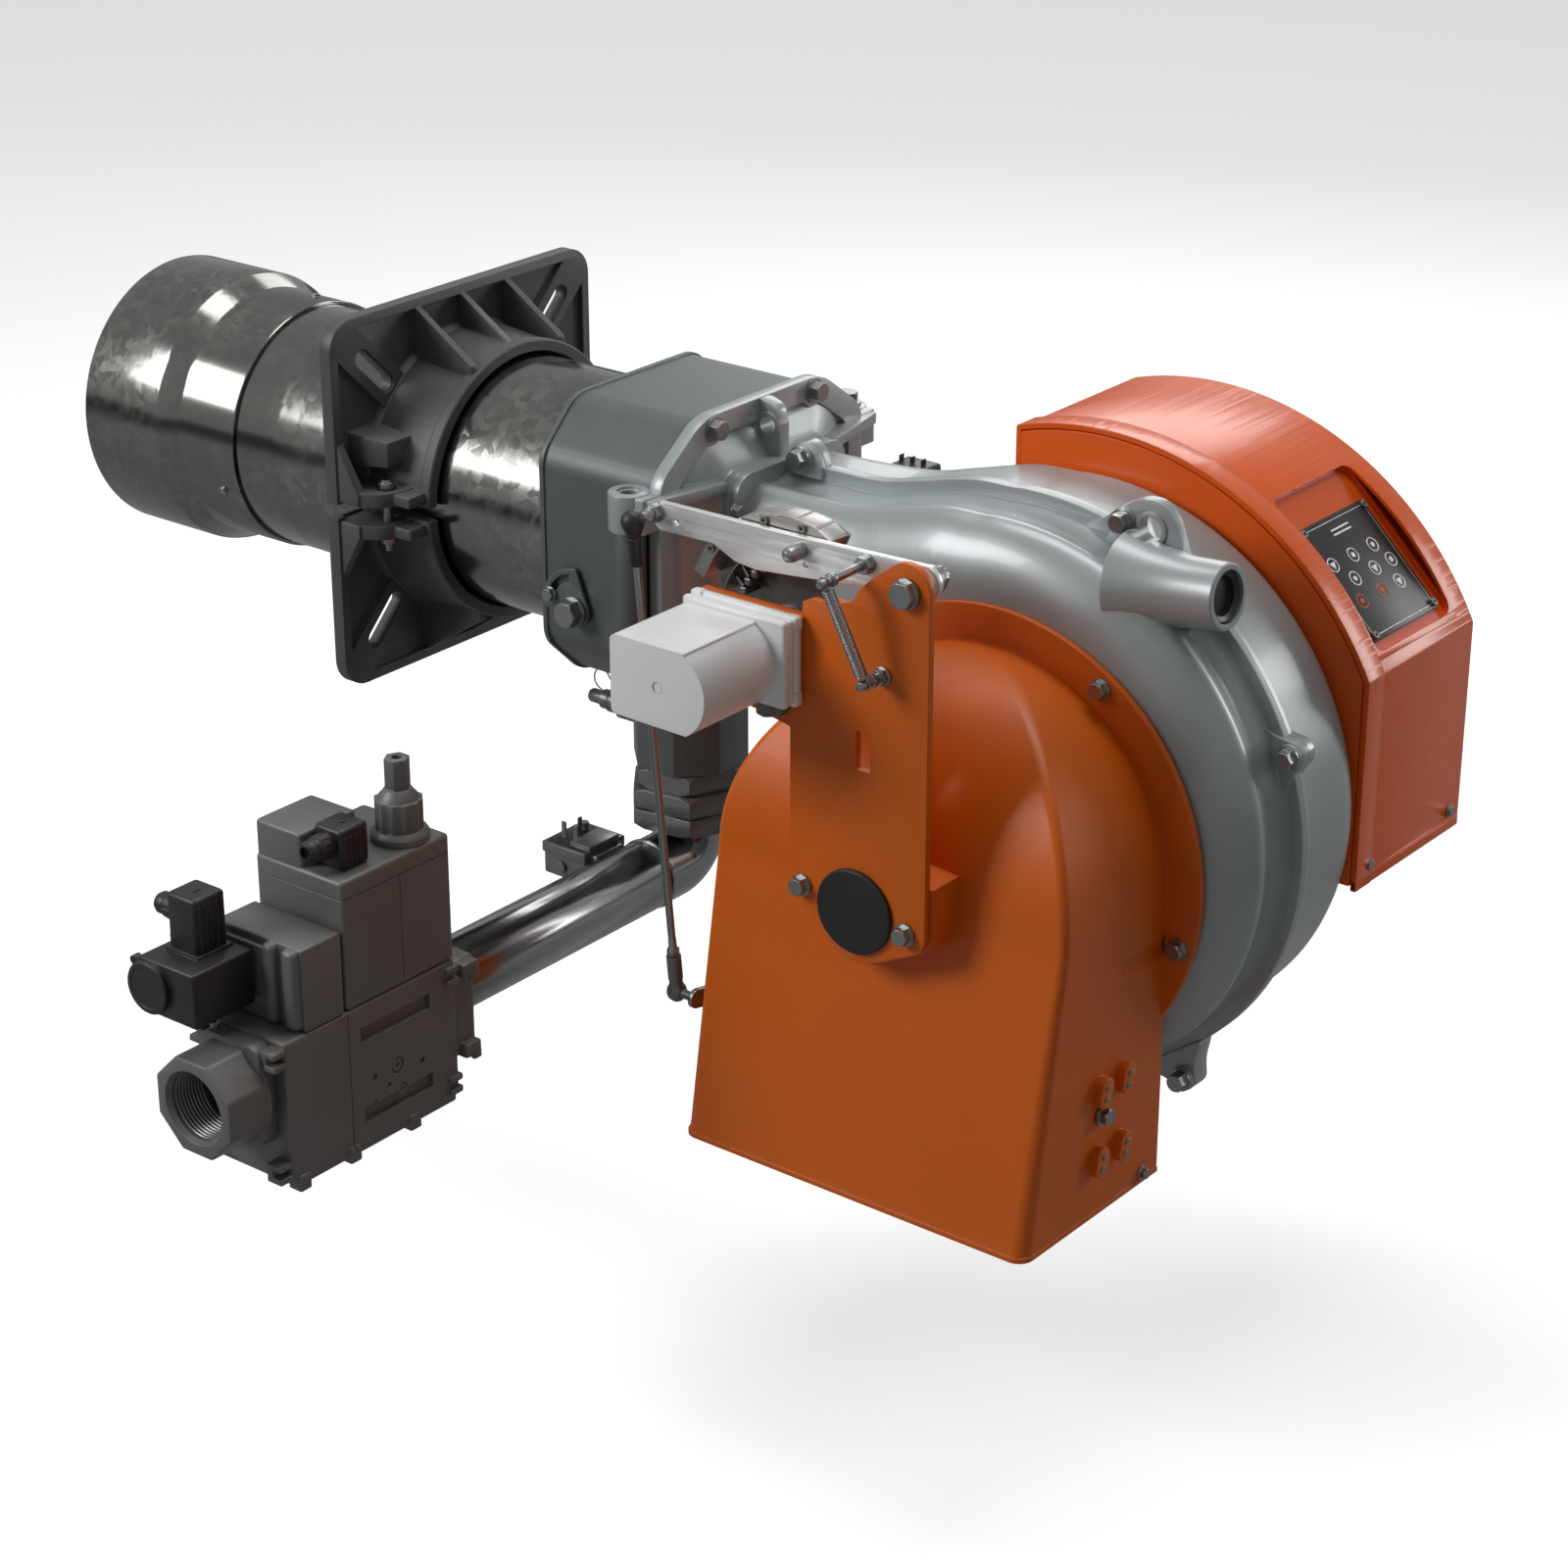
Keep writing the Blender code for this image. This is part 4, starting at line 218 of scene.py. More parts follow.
def finish(name, colour, roughness, metallic=0.0, coat=0.0, grain=900.0, depth=0.00002, mottle=0.12,
           edge=None, edge_strength=5.0, dust=0.10, edge_width=0.0012, rough_swing=0.12, specular=0.5):
    """A coat of paint, a casting or a moulding: mottled, grained, worn at its edges and a little dusty."""
    made = bpy.data.materials.new(name)
    made.use_nodes = True
    tree = made.node_tree
    shader = tree.nodes["Principled BSDF"]
    shader.inputs["Metallic"].default_value = metallic
    shader.inputs["Coat Weight"].default_value = coat
    shader.inputs["Coat Roughness"].default_value = 0.08
    shader.inputs["Specular IOR Level"].default_value = specular
    skin = group_node(tree, GRAIN, Scale=grain)
    worn = group_node(tree, EDGES, Width=edge_width, Strength=edge_strength)
    dusty = group_node(tree, DUST, Amount=dust)
    base = blended(tree, skin.outputs["Mottle"], shaded(colour, 1 - mottle), shaded(colour, 1 + mottle))
    base = blended(tree, worn.outputs["Mask"], base, edge or shaded(colour, 1.5))
    base = blended(tree, dusty.outputs["Mask"], base, (0.45, 0.43, 0.40))
    tree.links.new(base, shader.inputs["Base Color"])
    swing = maths(tree, "MULTIPLY_ADD", skin.outputs["Mottle"], rough_swing)
    swing.node.inputs[2].default_value = roughness - rough_swing / 2
    tree.links.new(swing, shader.inputs["Roughness"])
    soft = node(tree, "ShaderNodeBevel", samples=4, values=[("Radius", edge_width * 0.8)])
    bump = node(tree, "ShaderNodeBump", values=[("Strength", 0.6), ("Distance", depth)],
                links=[("Height", skin.outputs["Height"]), ("Normal", soft.outputs[0])])
    tree.links.new(bump.outputs[0], shader.inputs["Normal"])
    return made


def sheet_zinc(name, colour, roughness, contrast, size):
    """Galvanised sheet: crystals that differ in grey and in gloss, with cloudy patches."""
    made = bpy.data.materials.new(name)
    made.use_nodes = True
    tree = made.node_tree
    shader = tree.nodes["Principled BSDF"]
    shader.inputs["Metallic"].default_value = 1.0
    crystals = group_node(tree, SPANGLE, Size=size, Contrast=contrast)
    worn = group_node(tree, EDGES, Width=0.0012, Strength=3.0)
    base = blended(tree, crystals.outputs["Shade"], colour, shaded(colour, 2.6))
    base = blended(tree, worn.outputs["Mask"], base, (0.75, 0.75, 0.73))
    tree.links.new(base, shader.inputs["Base Color"])
    swing = maths(tree, "MULTIPLY_ADD", crystals.outputs["Shade"], 0.28)
    swing.node.inputs[2].default_value = roughness
    tree.links.new(swing, shader.inputs["Roughness"])
    bump = node(tree, "ShaderNodeBump", values=[("Strength", 0.25), ("Distance", 0.0003)],
                links=[("Height", crystals.outputs["Cloud"])])
    tree.links.new(bump.outputs[0], shader.inputs["Normal"])
    return made


def turned_metal(name, colour, roughness, lines=1400.0, stretch=(1, 1, 30), metallic=1.0):
    """Bare metal with fine lines from a tool or a brush."""
    made = bpy.data.materials.new(name)
    made.use_nodes = True
    tree = made.node_tree
    shader = tree.nodes["Principled BSDF"]
    shader.inputs["Metallic"].default_value = metallic
    coords = node(tree, "ShaderNodeTexCoord")
    mapping = node(tree, "ShaderNodeMapping", values=[("Scale", stretch)], links=[("Vector", coords.outputs["Object"])])
    streaks = node(tree, "ShaderNodeTexNoise", values=[("Scale", lines), ("Detail", 3.0)],
                   links=[("Vector", mapping.outputs[0])])
    worn = group_node(tree, EDGES, Width=0.0006, Strength=3.0)
    base = blended(tree, streaks.outputs[0], shaded(colour, 0.8), shaded(colour, 1.2))
    base = blended(tree, worn.outputs["Mask"], base, shaded(colour, 1.7))
    tree.links.new(base, shader.inputs["Base Color"])
    swing = maths(tree, "MULTIPLY_ADD", streaks.outputs[0], 0.15)
    swing.node.inputs[2].default_value = roughness
    tree.links.new(swing, shader.inputs["Roughness"])
    soft = node(tree, "ShaderNodeBevel", samples=4, values=[("Radius", 0.0006)])
    bump = node(tree, "ShaderNodeBump", values=[("Strength", 0.15), ("Distance", 0.00005)],
                links=[("Height", streaks.outputs[0]), ("Normal", soft.outputs[0])])
    tree.links.new(bump.outputs[0], shader.inputs["Normal"])
    return made


FINISHES = {
    "flange_grey": finish("dark casting paint", (0.088, 0.094, 0.094), 0.52, 0.35, grain=700, depth=0.00008,
                          edge=(0.16, 0.17, 0.17), edge_strength=6),
    "galvanised": sheet_zinc("galvanised sheet", (0.20, 0.20, 0.19), 0.14, 0.35, 130),
    "housing_grey": finish("grey casting paint", (0.118, 0.131, 0.131), 0.46, 0.35, grain=800, depth=0.00006,
                           edge=(0.42, 0.44, 0.44), edge_strength=7),
    "cast_aluminium": finish("light casting paint", (0.37, 0.405, 0.41), 0.38, 0.30, coat=0.25, grain=650,
                             depth=0.00005, edge=(0.60, 0.62, 0.62), edge_strength=5),
    "orange_paint": finish("orange powder coat", (0.70, 0.127, 0.002), 0.42, coat=0.03, specular=0.4, grain=1100, depth=0.00002,
                           edge=(0.75, 0.18, 0.02), mottle=0.05, dust=0.01),
    "orange_gloss": finish("orange gloss moulding", (0.84, 0.112, 0.002), 0.26, coat=0.05, specular=0.35, grain=1200, depth=0.00001,
                           edge=(0.85, 0.16, 0.03), mottle=0.04, dust=0.02),
    "black_plastic": finish("black moulding", (0.012, 0.012, 0.013), 0.42, grain=1600, edge=(0.05, 0.05, 0.05), dust=0.05),
    "white_plastic": finish("white moulding", (0.84, 0.85, 0.85), 0.34, coat=0.1, grain=1500, depth=0.00001,
                            edge=(0.85, 0.87, 0.87), mottle=0.03, dust=0.03),
    "zinc_plate": finish("zinc plated sheet", (0.74, 0.75, 0.75), 0.34, 0.55, grain=900, depth=0.00001, mottle=0.05, dust=0.02),
    "bright_steel": turned_metal("plated fasteners", (0.30, 0.31, 0.31), 0.24, 1600, (1, 1, 1)),
    "brushed_steel": turned_metal("satin steel", (0.40, 0.385, 0.37), 0.30, 1200, (20, 1, 20)),
    "dark_steel": finish("dark fittings", (0.19, 0.192, 0.188), 0.34, 0.60, grain=1000, edge=(0.30, 0.31, 0.31)),
    "valve_grey": finish("valve coating", (0.165, 0.163, 0.158), 0.48, 0.30, grain=850, depth=0.00007,
                         edge=(0.26, 0.27, 0.27), edge_strength=6),
    "pipe_steel": turned_metal("polished pipe", (0.30, 0.31, 0.31), 0.10, 700, (1, 0.05, 1)),
    "ceramic": finish("glazed ceramic", (0.72, 0.68, 0.60), 0.25, coat=0.4),
    "brass": turned_metal("brass fittings", (0.42, 0.32, 0.17), 0.24, 1400, (1, 1, 1)),
}

slot_of = {entry["node"]: entry["material_slot"] for entry in frame["record"]["subparts"]}
for name, shown in frame["nodes"].items():
    shown.data.materials.clear()
    shown.data.materials.append(FINISHES[slot_of[name]])

# Shape tools

PLANES = {
    "X": Matrix(((0, 0, 1, 0), (1, 0, 0, 0), (0, 1, 0, 0), (0, 0, 0, 1))),
    "Y": Matrix(((1, 0, 0, 0), (0, 0, -1, 0), (0, 1, 0, 0), (0, 0, 0, 1))),
    "Z": Matrix.Identity(4),
}


def raw(data):
    """A loose object that later becomes part of a piece."""
    shape = bpy.data.objects.new("shape", data)
    bpy.context.scene.collection.objects.link(shape)
    return shape


def solid(bm):
    """An object from a bmesh, its doubles merged and its faces turned outwards."""
    bmesh.ops.remove_doubles(bm, verts=bm.verts, dist=1e-6)
    bmesh.ops.recalc_face_normals(bm, faces=bm.faces)
    mesh = bpy.data.meshes.new("shape")
    bm.to_mesh(mesh)
    bm.free()
    return raw(mesh)


def settled(shape):
    """The shape with its modifiers and its place worked into a plain mesh."""
    bpy.context.view_layer.update()
    graph = bpy.context.evaluated_depsgraph_get()
    mesh = bpy.data.meshes.new_from_object(shape.evaluated_get(graph), depsgraph=graph)
    mesh.transform(shape.matrix_world)
    bpy.data.objects.remove(shape)
    bm = bmesh.new()
    bm.from_mesh(mesh)
    return solid(bm)


def eased(shape, width, segments=3, angle=35):
    """The shape with its sharp edges rounded."""
    bevel = shape.modifiers.new("eased", "BEVEL")
    bevel.width = width
    bevel.segments = segments
    bevel.limit_method = "ANGLE"
    bevel.angle_limit = math.radians(angle)
    bevel.harden_normals = False
    return settled(shape)


def box(low, high, edge=0.0, segments=3):
    bm = bmesh.new()
    bmesh.ops.create_cube(bm, size=1)
    size = Vector(high) - Vector(low)
    bmesh.ops.scale(bm, vec=size, verts=bm.verts)
    bmesh.ops.translate(bm, vec=Vector(low) + size / 2, verts=bm.verts)
    shape = solid(bm)
    return eased(shape, edge, segments) if edge else shape


def rod(start, end, radius, end_radius=None, sides=48, edge=0.0):
    start, end = Vector(start), Vector(end)
    run = end - start
    bm = bmesh.new()
    bmesh.ops.create_cone(bm, cap_ends=True, segments=sides, depth=run.length,
                          radius1=radius, radius2=radius if end_radius is None else end_radius)
    turn = run.to_track_quat("Z", "Y").to_matrix().to_4x4()
    bmesh.ops.transform(bm, matrix=Matrix.Translation((start + end) / 2) @ turn, verts=bm.verts)
    shape = solid(bm)
    return eased(shape, edge, 2) if edge else shape


def plate(outlines, axis, low, high, edge=0.0, segments=3, angle=50):
    """A flat outline, with any holes inside it, given its thickness along one axis."""
    curve = bpy.data.curves.new("outline", "CURVE")
    curve.dimensions = "2D"
    curve.fill_mode = "BOTH"
    curve.extrude = (high - low) / 2
    for points in outlines:
        spline = curve.splines.new("POLY")
        spline.points.add(len(points) - 1)
        spline.use_cyclic_u = True
        for point, (u, v) in zip(spline.points, points):
            point.co = (u, v, 0, 1)
    shape = raw(curve)
    middle = (low + high) / 2
    shape.matrix_world = PLANES[axis] @ Matrix.Translation((0, 0, -middle if axis == "Y" else middle))
    shape = settled(shape)
    return eased(shape, edge, segments, angle) if edge else shape


def turned(profile, origin, axis, steps=96):
    """A (radius, height) profile turned about an axis through the origin point."""
    mesh = bpy.data.meshes.new("profile")
    closed = profile[0][0] > 0 or profile[-1][0] > 0
    count = len(profile)
    mesh.from_pydata([(radius, 0, height) for radius, height in profile],
                     [(i, (i + 1) % count) for i in range(count if closed else count - 1)], [])
    shape = raw(mesh)
    screw = shape.modifiers.new("turn", "SCREW")
    screw.steps = screw.render_steps = steps
    screw.use_merge_vertices = True
    screw.merge_threshold = 1e-6
    shape.matrix_world = Matrix.Translation(origin) @ Vector(axis).to_track_quat("Z", "Y").to_matrix().to_4x4()
    return settled(shape)


def wire(points, radius, sides=16, cyclic=False):
    """A solid round bar along a row of points."""
    curve = bpy.data.curves.new("wire", "CURVE")
    curve.dimensions = "3D"
    curve.bevel_depth = radius
    curve.bevel_resolution = max(0, sides // 4 - 1)
    curve.use_fill_caps = True
    spline = curve.splines.new("POLY")
    spline.points.add(len(points) - 1)
    spline.use_cyclic_u = cyclic
    for point, place in zip(spline.points, points):
        point.co = (*place, 1)
    return settled(raw(curve))


def loft(rings):
    """A closed skin through rings of equally many points, with flat ends."""
    bm = bmesh.new()
    rows = [[bm.verts.new(point) for point in ring] for ring in rings]
    count = len(rows[0])
    for below, above in zip(rows, rows[1:]):
        for i in range(count):
            j = (i + 1) % count
            bm.faces.new((below[i], below[j], above[j], above[i]))
    bm.faces.new(rows[0])
    bm.faces.new(rows[-1])
    return solid(bm)


def combined(base, joins=(), cuts=(), solver="EXACT"):
    """The base with shapes joined to it, then shapes cut from it."""
    steps = [("UNION", shape) for shape in joins] + [("DIFFERENCE", shape) for shape in cuts]
    for operation, shape in steps:
        boolean = base.modifiers.new(operation, "BOOLEAN")
        boolean.operation = operation
        boolean.solver = solver
        boolean.object = shape
    base = settled(base)
    for _, shape in steps:
        bpy.data.objects.remove(shape)
    return base


def show(name, shapes, slot, body, replaced=(), angle=35):
    """A finished piece: its shapes gathered in one mesh, with its finish and its body; the model parts it replaces are
    hidden.
    """
    bm = bmesh.new()
    for shape in shapes if isinstance(shapes, (list, tuple)) else (shapes,):
        bm.from_mesh(shape.data)
        bpy.data.objects.remove(shape)
    mesh = bpy.data.meshes.new(name)
    bm.to_mesh(mesh)
    bm.free()
    mesh.shade_smooth()
    mesh.set_sharp_from_angle(angle=math.radians(angle))
    mesh.materials.clear()
    mesh.materials.append(FINISHES[slot])
    piece = bpy.data.objects.new(name, mesh)
    bpy.context.scene.collection.objects.link(piece)
    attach(piece, body)
    if replaced:
        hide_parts(*replaced)
    return piece


# Outlines

def arc(centre, radius, start, end, steps):
    """Points along an arc, angles in degrees."""
    points = []
    for i in range(steps + 1):
        angle = math.radians(start + (end - start) * i / steps)
        points.append((centre[0] + radius * math.cos(angle), centre[1] + radius * math.sin(angle)))
    return points


def circle(centre, radius, sides=48):
    return arc(centre, radius, 0, 360 - 360 / sides, sides - 1)


def polygon(centre, flats, sides=6, turn=0.0):
    """A regular polygon by its width across flats."""
    return arc(centre, flats / 2 / math.cos(math.pi / sides), turn, turn + 360 - 360 / sides, sides - 1)


def rounded(half_u, half_v, corner, steps=8, centre=(0.0, 0.0)):
    """A rectangle with round corners."""
    points = []
    for start, su, sv in ((0, 1, 1), (90, -1, 1), (180, -1, -1), (270, 1, -1)):
        middle = (centre[0] + su * (half_u - corner), centre[1] + sv * (half_v - corner))
        points += arc(middle, corner, start, start + 90, steps)
    return points


def capsule(first, last, radius, steps=12):
    """A slot with round ends between two points."""
    turn = math.degrees(math.atan2(last[1] - first[1], last[0] - first[0]))
    return arc(last, radius, turn - 90, turn + 90, steps) + arc(first, radius, turn + 90, turn + 270, steps)


def octagon(half_width, half_height, top_flat, side_flat):
    return [
        (half_width, -side_flat), (half_width, side_flat), (top_flat, half_height), (-top_flat, half_height),
        (-half_width, side_flat), (-half_width, -side_flat), (-top_flat, -half_height), (top_flat, -half_height),
    ]


def softened(points, radius, steps=6):
    """A closed outline with each corner replaced by a curve of about that radius."""
    result = []
    count = len(points)
    for i, corner in enumerate(points):
        here = Vector(corner)
        before, after = Vector(points[i - 1]), Vector(points[(i + 1) % count])
        reach = min(radius, (before - here).length * 0.45, (after - here).length * 0.45)
        start = here + (before - here).normalized() * reach
        end = here + (after - here).normalized() * reach
        for step in range(steps + 1):
            share = step / steps
            result.append(tuple(start * (1 - share) ** 2 + here * 2 * share * (1 - share) + end * share ** 2))
    return result


def curved(points, per_span=8):
    """A smooth open line through points of any dimension."""
    places = [Vector(point) for point in points]
    places = [places[0] * 2 - places[1], *places, places[-1] * 2 - places[-2]]
    result = []
    for i in range(1, len(places) - 2):
        a, b, c, d = places[i - 1:i + 3]
        for step in range(per_span):
            t = step / per_span
            result.append(tuple(
                (b * 2 + (c - a) * t + (a * 2 - b * 5 + c * 4 - d) * t * t + (b * 3 - a - c * 3 + d) * t ** 3) / 2
            ))
    result.append(tuple(places[-2]))
    return result


def drawn_in(points, inset):
    """A closed outline moved inwards by an inset, point by point."""
    count = len(points)
    area = sum(points[i - 1][0] * points[i][1] - points[i][0] * points[i - 1][1] for i in range(count))
    side = 1 if area > 0 else -1
    result = []
    for i in range(count):
        here = Vector(points[i])
        first = (here - Vector(points[i - 1])).normalized()
        second = (Vector(points[(i + 1) % count]) - here).normalized()
        normal = Vector((-(first.y + second.y), first.x + second.x)) * side
        normal.normalize()
        half = max(0.5, normal.dot(Vector((-first.y, first.x)) * side))
        result.append(tuple(here + normal * inset / half))
    return result


def blend_step(value, low, high):
    share = min(1.0, max(0.0, (value - low) / (high - low)))
    return share * share * (3 - 2 * share)


def soft_least(first, second, radius):
    """The smaller of two values, rounded where they meet."""
    share = max(radius - abs(first - second), 0.0) / radius
    return min(first, second) - share * share * radius / 4


def along(axis, place, height):
    """The 3-D point of a 2-D place on the plane across an axis."""
    u, v = place
    return {"X": (height, u, v), "Y": (u, height, v), "Z": (u, v, height)}[axis]


# Repeated things, made with Geometry Nodes

def geometry_group(name, inputs):
    tree = bpy.data.node_groups.new(name, "GeometryNodeTree")
    tree.interface.new_socket("Geometry", in_out="INPUT", socket_type="NodeSocketGeometry")
    tree.interface.new_socket("Geometry", in_out="OUTPUT", socket_type="NodeSocketGeometry")
    for socket, kind, default in inputs:
        made = tree.interface.new_socket(socket, in_out="INPUT", socket_type=kind)
        if default is not None:
            made.default_value = default
    return tree, tree.nodes.new("NodeGroupInput"), tree.nodes.new("NodeGroupOutput")


def finished(tree, given, out, geometry):
    """Ends a geometry group: real copies, then their finish."""
    real = node(tree, "GeometryNodeRealizeInstances", links=[("Geometry", geometry)])
    coated = node(tree, "GeometryNodeSetMaterial",
                  links=[("Geometry", real.outputs[0]), ("Material", given.outputs["Finish"])])
    tree.links.new(coated.outputs[0], out.inputs["Geometry"])


def hex_heads():
    """A washer-faced hexagon head at each point, along its direction and at its size across flats."""
    tree, given, out = geometry_group("hex heads", (
        ("Height", "NodeSocketFloat", 0.62), ("Washer", "NodeSocketFloat", 0.70), ("Finish", "NodeSocketMaterial", None),
    ))
    height = given.outputs["Height"]
    prism = node(tree, "GeometryNodeMeshCylinder", values=[("Vertices", 6), ("Radius", 0.577)],
                 links=[("Depth", height)])
    chamfer = node(tree, "GeometryNodeMeshCone", values=[("Vertices", 64), ("Radius Top", 0.50), ("Radius Bottom", 0.98)],
                   links=[("Depth", height)])
    centred = node(tree, "ShaderNodeCombineXYZ", links=[("Z", maths(tree, "MULTIPLY", height, -0.5))])
    chamfer_moved = node(tree, "GeometryNodeTransform",
                         links=[("Geometry", chamfer.outputs["Mesh"]), ("Translation", centred.outputs[0])])
    head = node(tree, "GeometryNodeMeshBoolean", operation="INTERSECT", solver="EXACT", links=[("Mesh 2", prism.outputs["Mesh"])])
    tree.links.new(chamfer_moved.outputs[0], head.inputs["Mesh 2"])
    lifted = node(tree, "ShaderNodeCombineXYZ",
                  links=[("Z", maths(tree, "ADD", maths(tree, "MULTIPLY", height, 0.5), 0.10))])
    head = node(tree, "GeometryNodeTransform", links=[("Geometry", head.outputs["Mesh"]), ("Translation", lifted.outputs[0])])
    washer = node(tree, "GeometryNodeMeshCylinder", values=[("Vertices", 48), ("Depth", 0.14)],
                  links=[("Radius", given.outputs["Washer"])])
    lift = node(tree, "GeometryNodeTransform", values=[("Translation", (0, 0, 0.07))], links=[("Geometry", washer.outputs["Mesh"])])
    whole = node(tree, "GeometryNodeJoinGeometry", links=[("Geometry", head.outputs[0])])
    tree.links.new(lift.outputs[0], whole.inputs["Geometry"])
    placed(tree, given, out, whole.outputs[0])
    return tree


def placed(tree, given, out, geometry):
    """Copies of a geometry on the input's points, turned to 'direction' and scaled by 'size'."""
    facing = node(tree, "GeometryNodeInputNamedAttribute", data_type="FLOAT_VECTOR", values=[("Name", "direction")])
    size = node(tree, "GeometryNodeInputNamedAttribute", data_type="FLOAT", values=[("Name", "size")])
    turn = node(tree, "FunctionNodeAlignRotationToVector", axis="Z", links=[("Vector", facing.outputs["Attribute"])])
    copies = node(tree, "GeometryNodeInstanceOnPoints", links=[
        ("Points", given.outputs["Geometry"]), ("Instance", geometry), ("Rotation", turn.outputs[0]),
        ("Scale", size.outputs["Attribute"]),
    ])
    finished(tree, given, out, copies.outputs[0])


def socket_heads():
    """A round head with a hexagon socket at each point."""
    tree, given, out = geometry_group("socket heads", (
        ("Height", "NodeSocketFloat", 0.55), ("Socket", "NodeSocketFloat", 0.26), ("Finish", "NodeSocketMaterial", None),
    ))
    head = node(tree, "GeometryNodeMeshCylinder", values=[("Vertices", 40), ("Radius", 0.5)],
                links=[("Depth", given.outputs["Height"])])
    key = node(tree, "GeometryNodeMeshCylinder", values=[("Vertices", 6), ("Depth", 0.5)],
               links=[("Radius", given.outputs["Socket"])])
    raised = node(tree, "ShaderNodeCombineXYZ", links=[("Z", maths(tree, "MULTIPLY", given.outputs["Height"], 0.5))])
    key = node(tree, "GeometryNodeTransform", links=[("Geometry", key.outputs["Mesh"]), ("Translation", raised.outputs[0])])
    cut = node(tree, "GeometryNodeMeshBoolean", operation="DIFFERENCE", solver="EXACT",
               links=[("Mesh 1", head.outputs["Mesh"]), ("Mesh 2", key.outputs[0])])
    cut = node(tree, "GeometryNodeTransform", links=[("Geometry", cut.outputs["Mesh"]), ("Translation", raised.outputs[0])])
    placed(tree, given, out, cut.outputs[0])
    return tree


def coil_group():
    """A round-wire coil along Z."""
    tree, given, out = geometry_group("coil", (
        ("Turns", "NodeSocketFloat", 20.0), ("Radius", "NodeSocketFloat", 0.004), ("Length", "NodeSocketFloat", 0.05),
        ("Wire", "NodeSocketFloat", 0.0006), ("Finish", "NodeSocketMaterial", None),
    ))
    spiral = node(tree, "GeometryNodeCurveSpiral", values=[("Resolution", 20)], links=[
        ("Rotations", given.outputs["Turns"]), ("Start Radius", given.outputs["Radius"]),
        ("End Radius", given.outputs["Radius"]), ("Height", given.outputs["Length"]),
    ])
    section = node(tree, "GeometryNodeCurvePrimitiveCircle", values=[("Resolution", 8)], links=[("Radius", given.outputs["Wire"])])
    swept = node(tree, "GeometryNodeCurveToMesh", links=[("Curve", spiral.outputs[0]), ("Profile Curve", section.outputs[0])])
    swept.inputs["Fill Caps"].default_value = True
    finished(tree, given, out, swept.outputs[0])
    return tree


def ring_of_bars():
    """Flat bars set round an axis, such as fins or blades."""
    tree, given, out = geometry_group("ring of bars", (
        ("Count", "NodeSocketInt", 24), ("Radius", "NodeSocketFloat", 0.09), ("Tilt", "NodeSocketFloat", 0.0),
        ("Bar", "NodeSocketVector", (0.01, 0.002, 0.1)), ("Finish", "NodeSocketMaterial", None),
    ))
    bar = node(tree, "GeometryNodeMeshCube", links=[("Size", given.outputs["Bar"])])
    ring = node(tree, "GeometryNodeMeshCircle", links=[("Vertices", given.outputs["Count"]), ("Radius", given.outputs["Radius"])])
    order = node(tree, "GeometryNodeInputIndex")
    step = maths(tree, "DIVIDE", 2 * math.pi, given.outputs["Count"])
    turn = maths(tree, "ADD", maths(tree, "MULTIPLY", order.outputs[0], step), given.outputs["Tilt"])
    spin = node(tree, "ShaderNodeCombineXYZ", links=[("Z", turn)])
    copies = node(tree, "GeometryNodeInstanceOnPoints", links=[
        ("Points", ring.outputs["Mesh"]), ("Instance", bar.outputs["Mesh"]), ("Rotation", spin.outputs[0]),
    ])
    finished(tree, given, out, copies.outputs[0])
    return tree


HEX_HEADS = hex_heads()
SOCKET_HEADS = socket_heads()
COIL = coil_group()
BARS = ring_of_bars()


def grown(tree, points, directions, sizes, place, **values):
    """What a geometry group makes on a set of points, as a plain shape."""
    mesh = bpy.data.meshes.new("points")
    mesh.from_pydata(points, [], [])
    mesh.attributes.new("direction", "FLOAT_VECTOR", "POINT")
    mesh.attributes.new("size", "FLOAT", "POINT")
    for i, (direction, scale) in enumerate(zip(directions, sizes)):
        mesh.attributes["direction"].data[i].vector = direction
        mesh.attributes["size"].data[i].value = scale
    shape = raw(mesh)
    shape.matrix_world = place
    maker = shape.modifiers.new("grown", "NODES")
    maker.node_group = tree
    for socket in tree.interface.items_tree:
        if socket.in_out == "INPUT" and socket.name in values:
            maker[socket.identifier] = values[socket.name]
    bpy.context.view_layer.update()
    graph = bpy.context.evaluated_depsgraph_get()
    made = bpy.data.meshes.new_from_object(shape.evaluated_get(graph), depsgraph=graph)
    made.transform(shape.matrix_world)
    bpy.data.objects.remove(shape)
    return raw(made)


def bolts(name, slot, body, heads, replaced=(), tree=None, **values):
    """A set of bolt heads: (place, direction, size across) each."""
    places, directions, sizes = zip(*heads)
    shape = grown(tree or HEX_HEADS, places, directions, sizes, Matrix.Identity(4), Finish=FINISHES[slot], **values)
    return show(name, shape, slot, body, replaced, 25)


def coil(start, end, radius, wire_radius, turns):
    """A coil spring between two points."""
    start, end = Vector(start), Vector(end)
    run = end - start
    place = Matrix.Translation(start) @ run.to_track_quat("Z", "Y").to_matrix().to_4x4()
    return grown(COIL, [(0, 0, 0)], [(0, 0, 1)], [1], place, Turns=float(turns), Radius=radius, Length=run.length,
                 Wire=wire_radius, Finish=FINISHES["bright_steel"])


def bar_ring(centre, axis, count, radius, bar, tilt=0.0):
    """Bars round an axis; a bar's size is out, across and along the axis."""
    place = Matrix.Translation(centre) @ Vector(axis).to_track_quat("Z", "Y").to_matrix().to_4x4()
    return grown(BARS, [(0, 0, 0)], [(0, 0, 1)], [1], place, Count=count, Radius=radius, Bar=Vector(bar), Tilt=tilt,
                 Finish=FINISHES["dark_steel"])

# Blast tube and flame tube

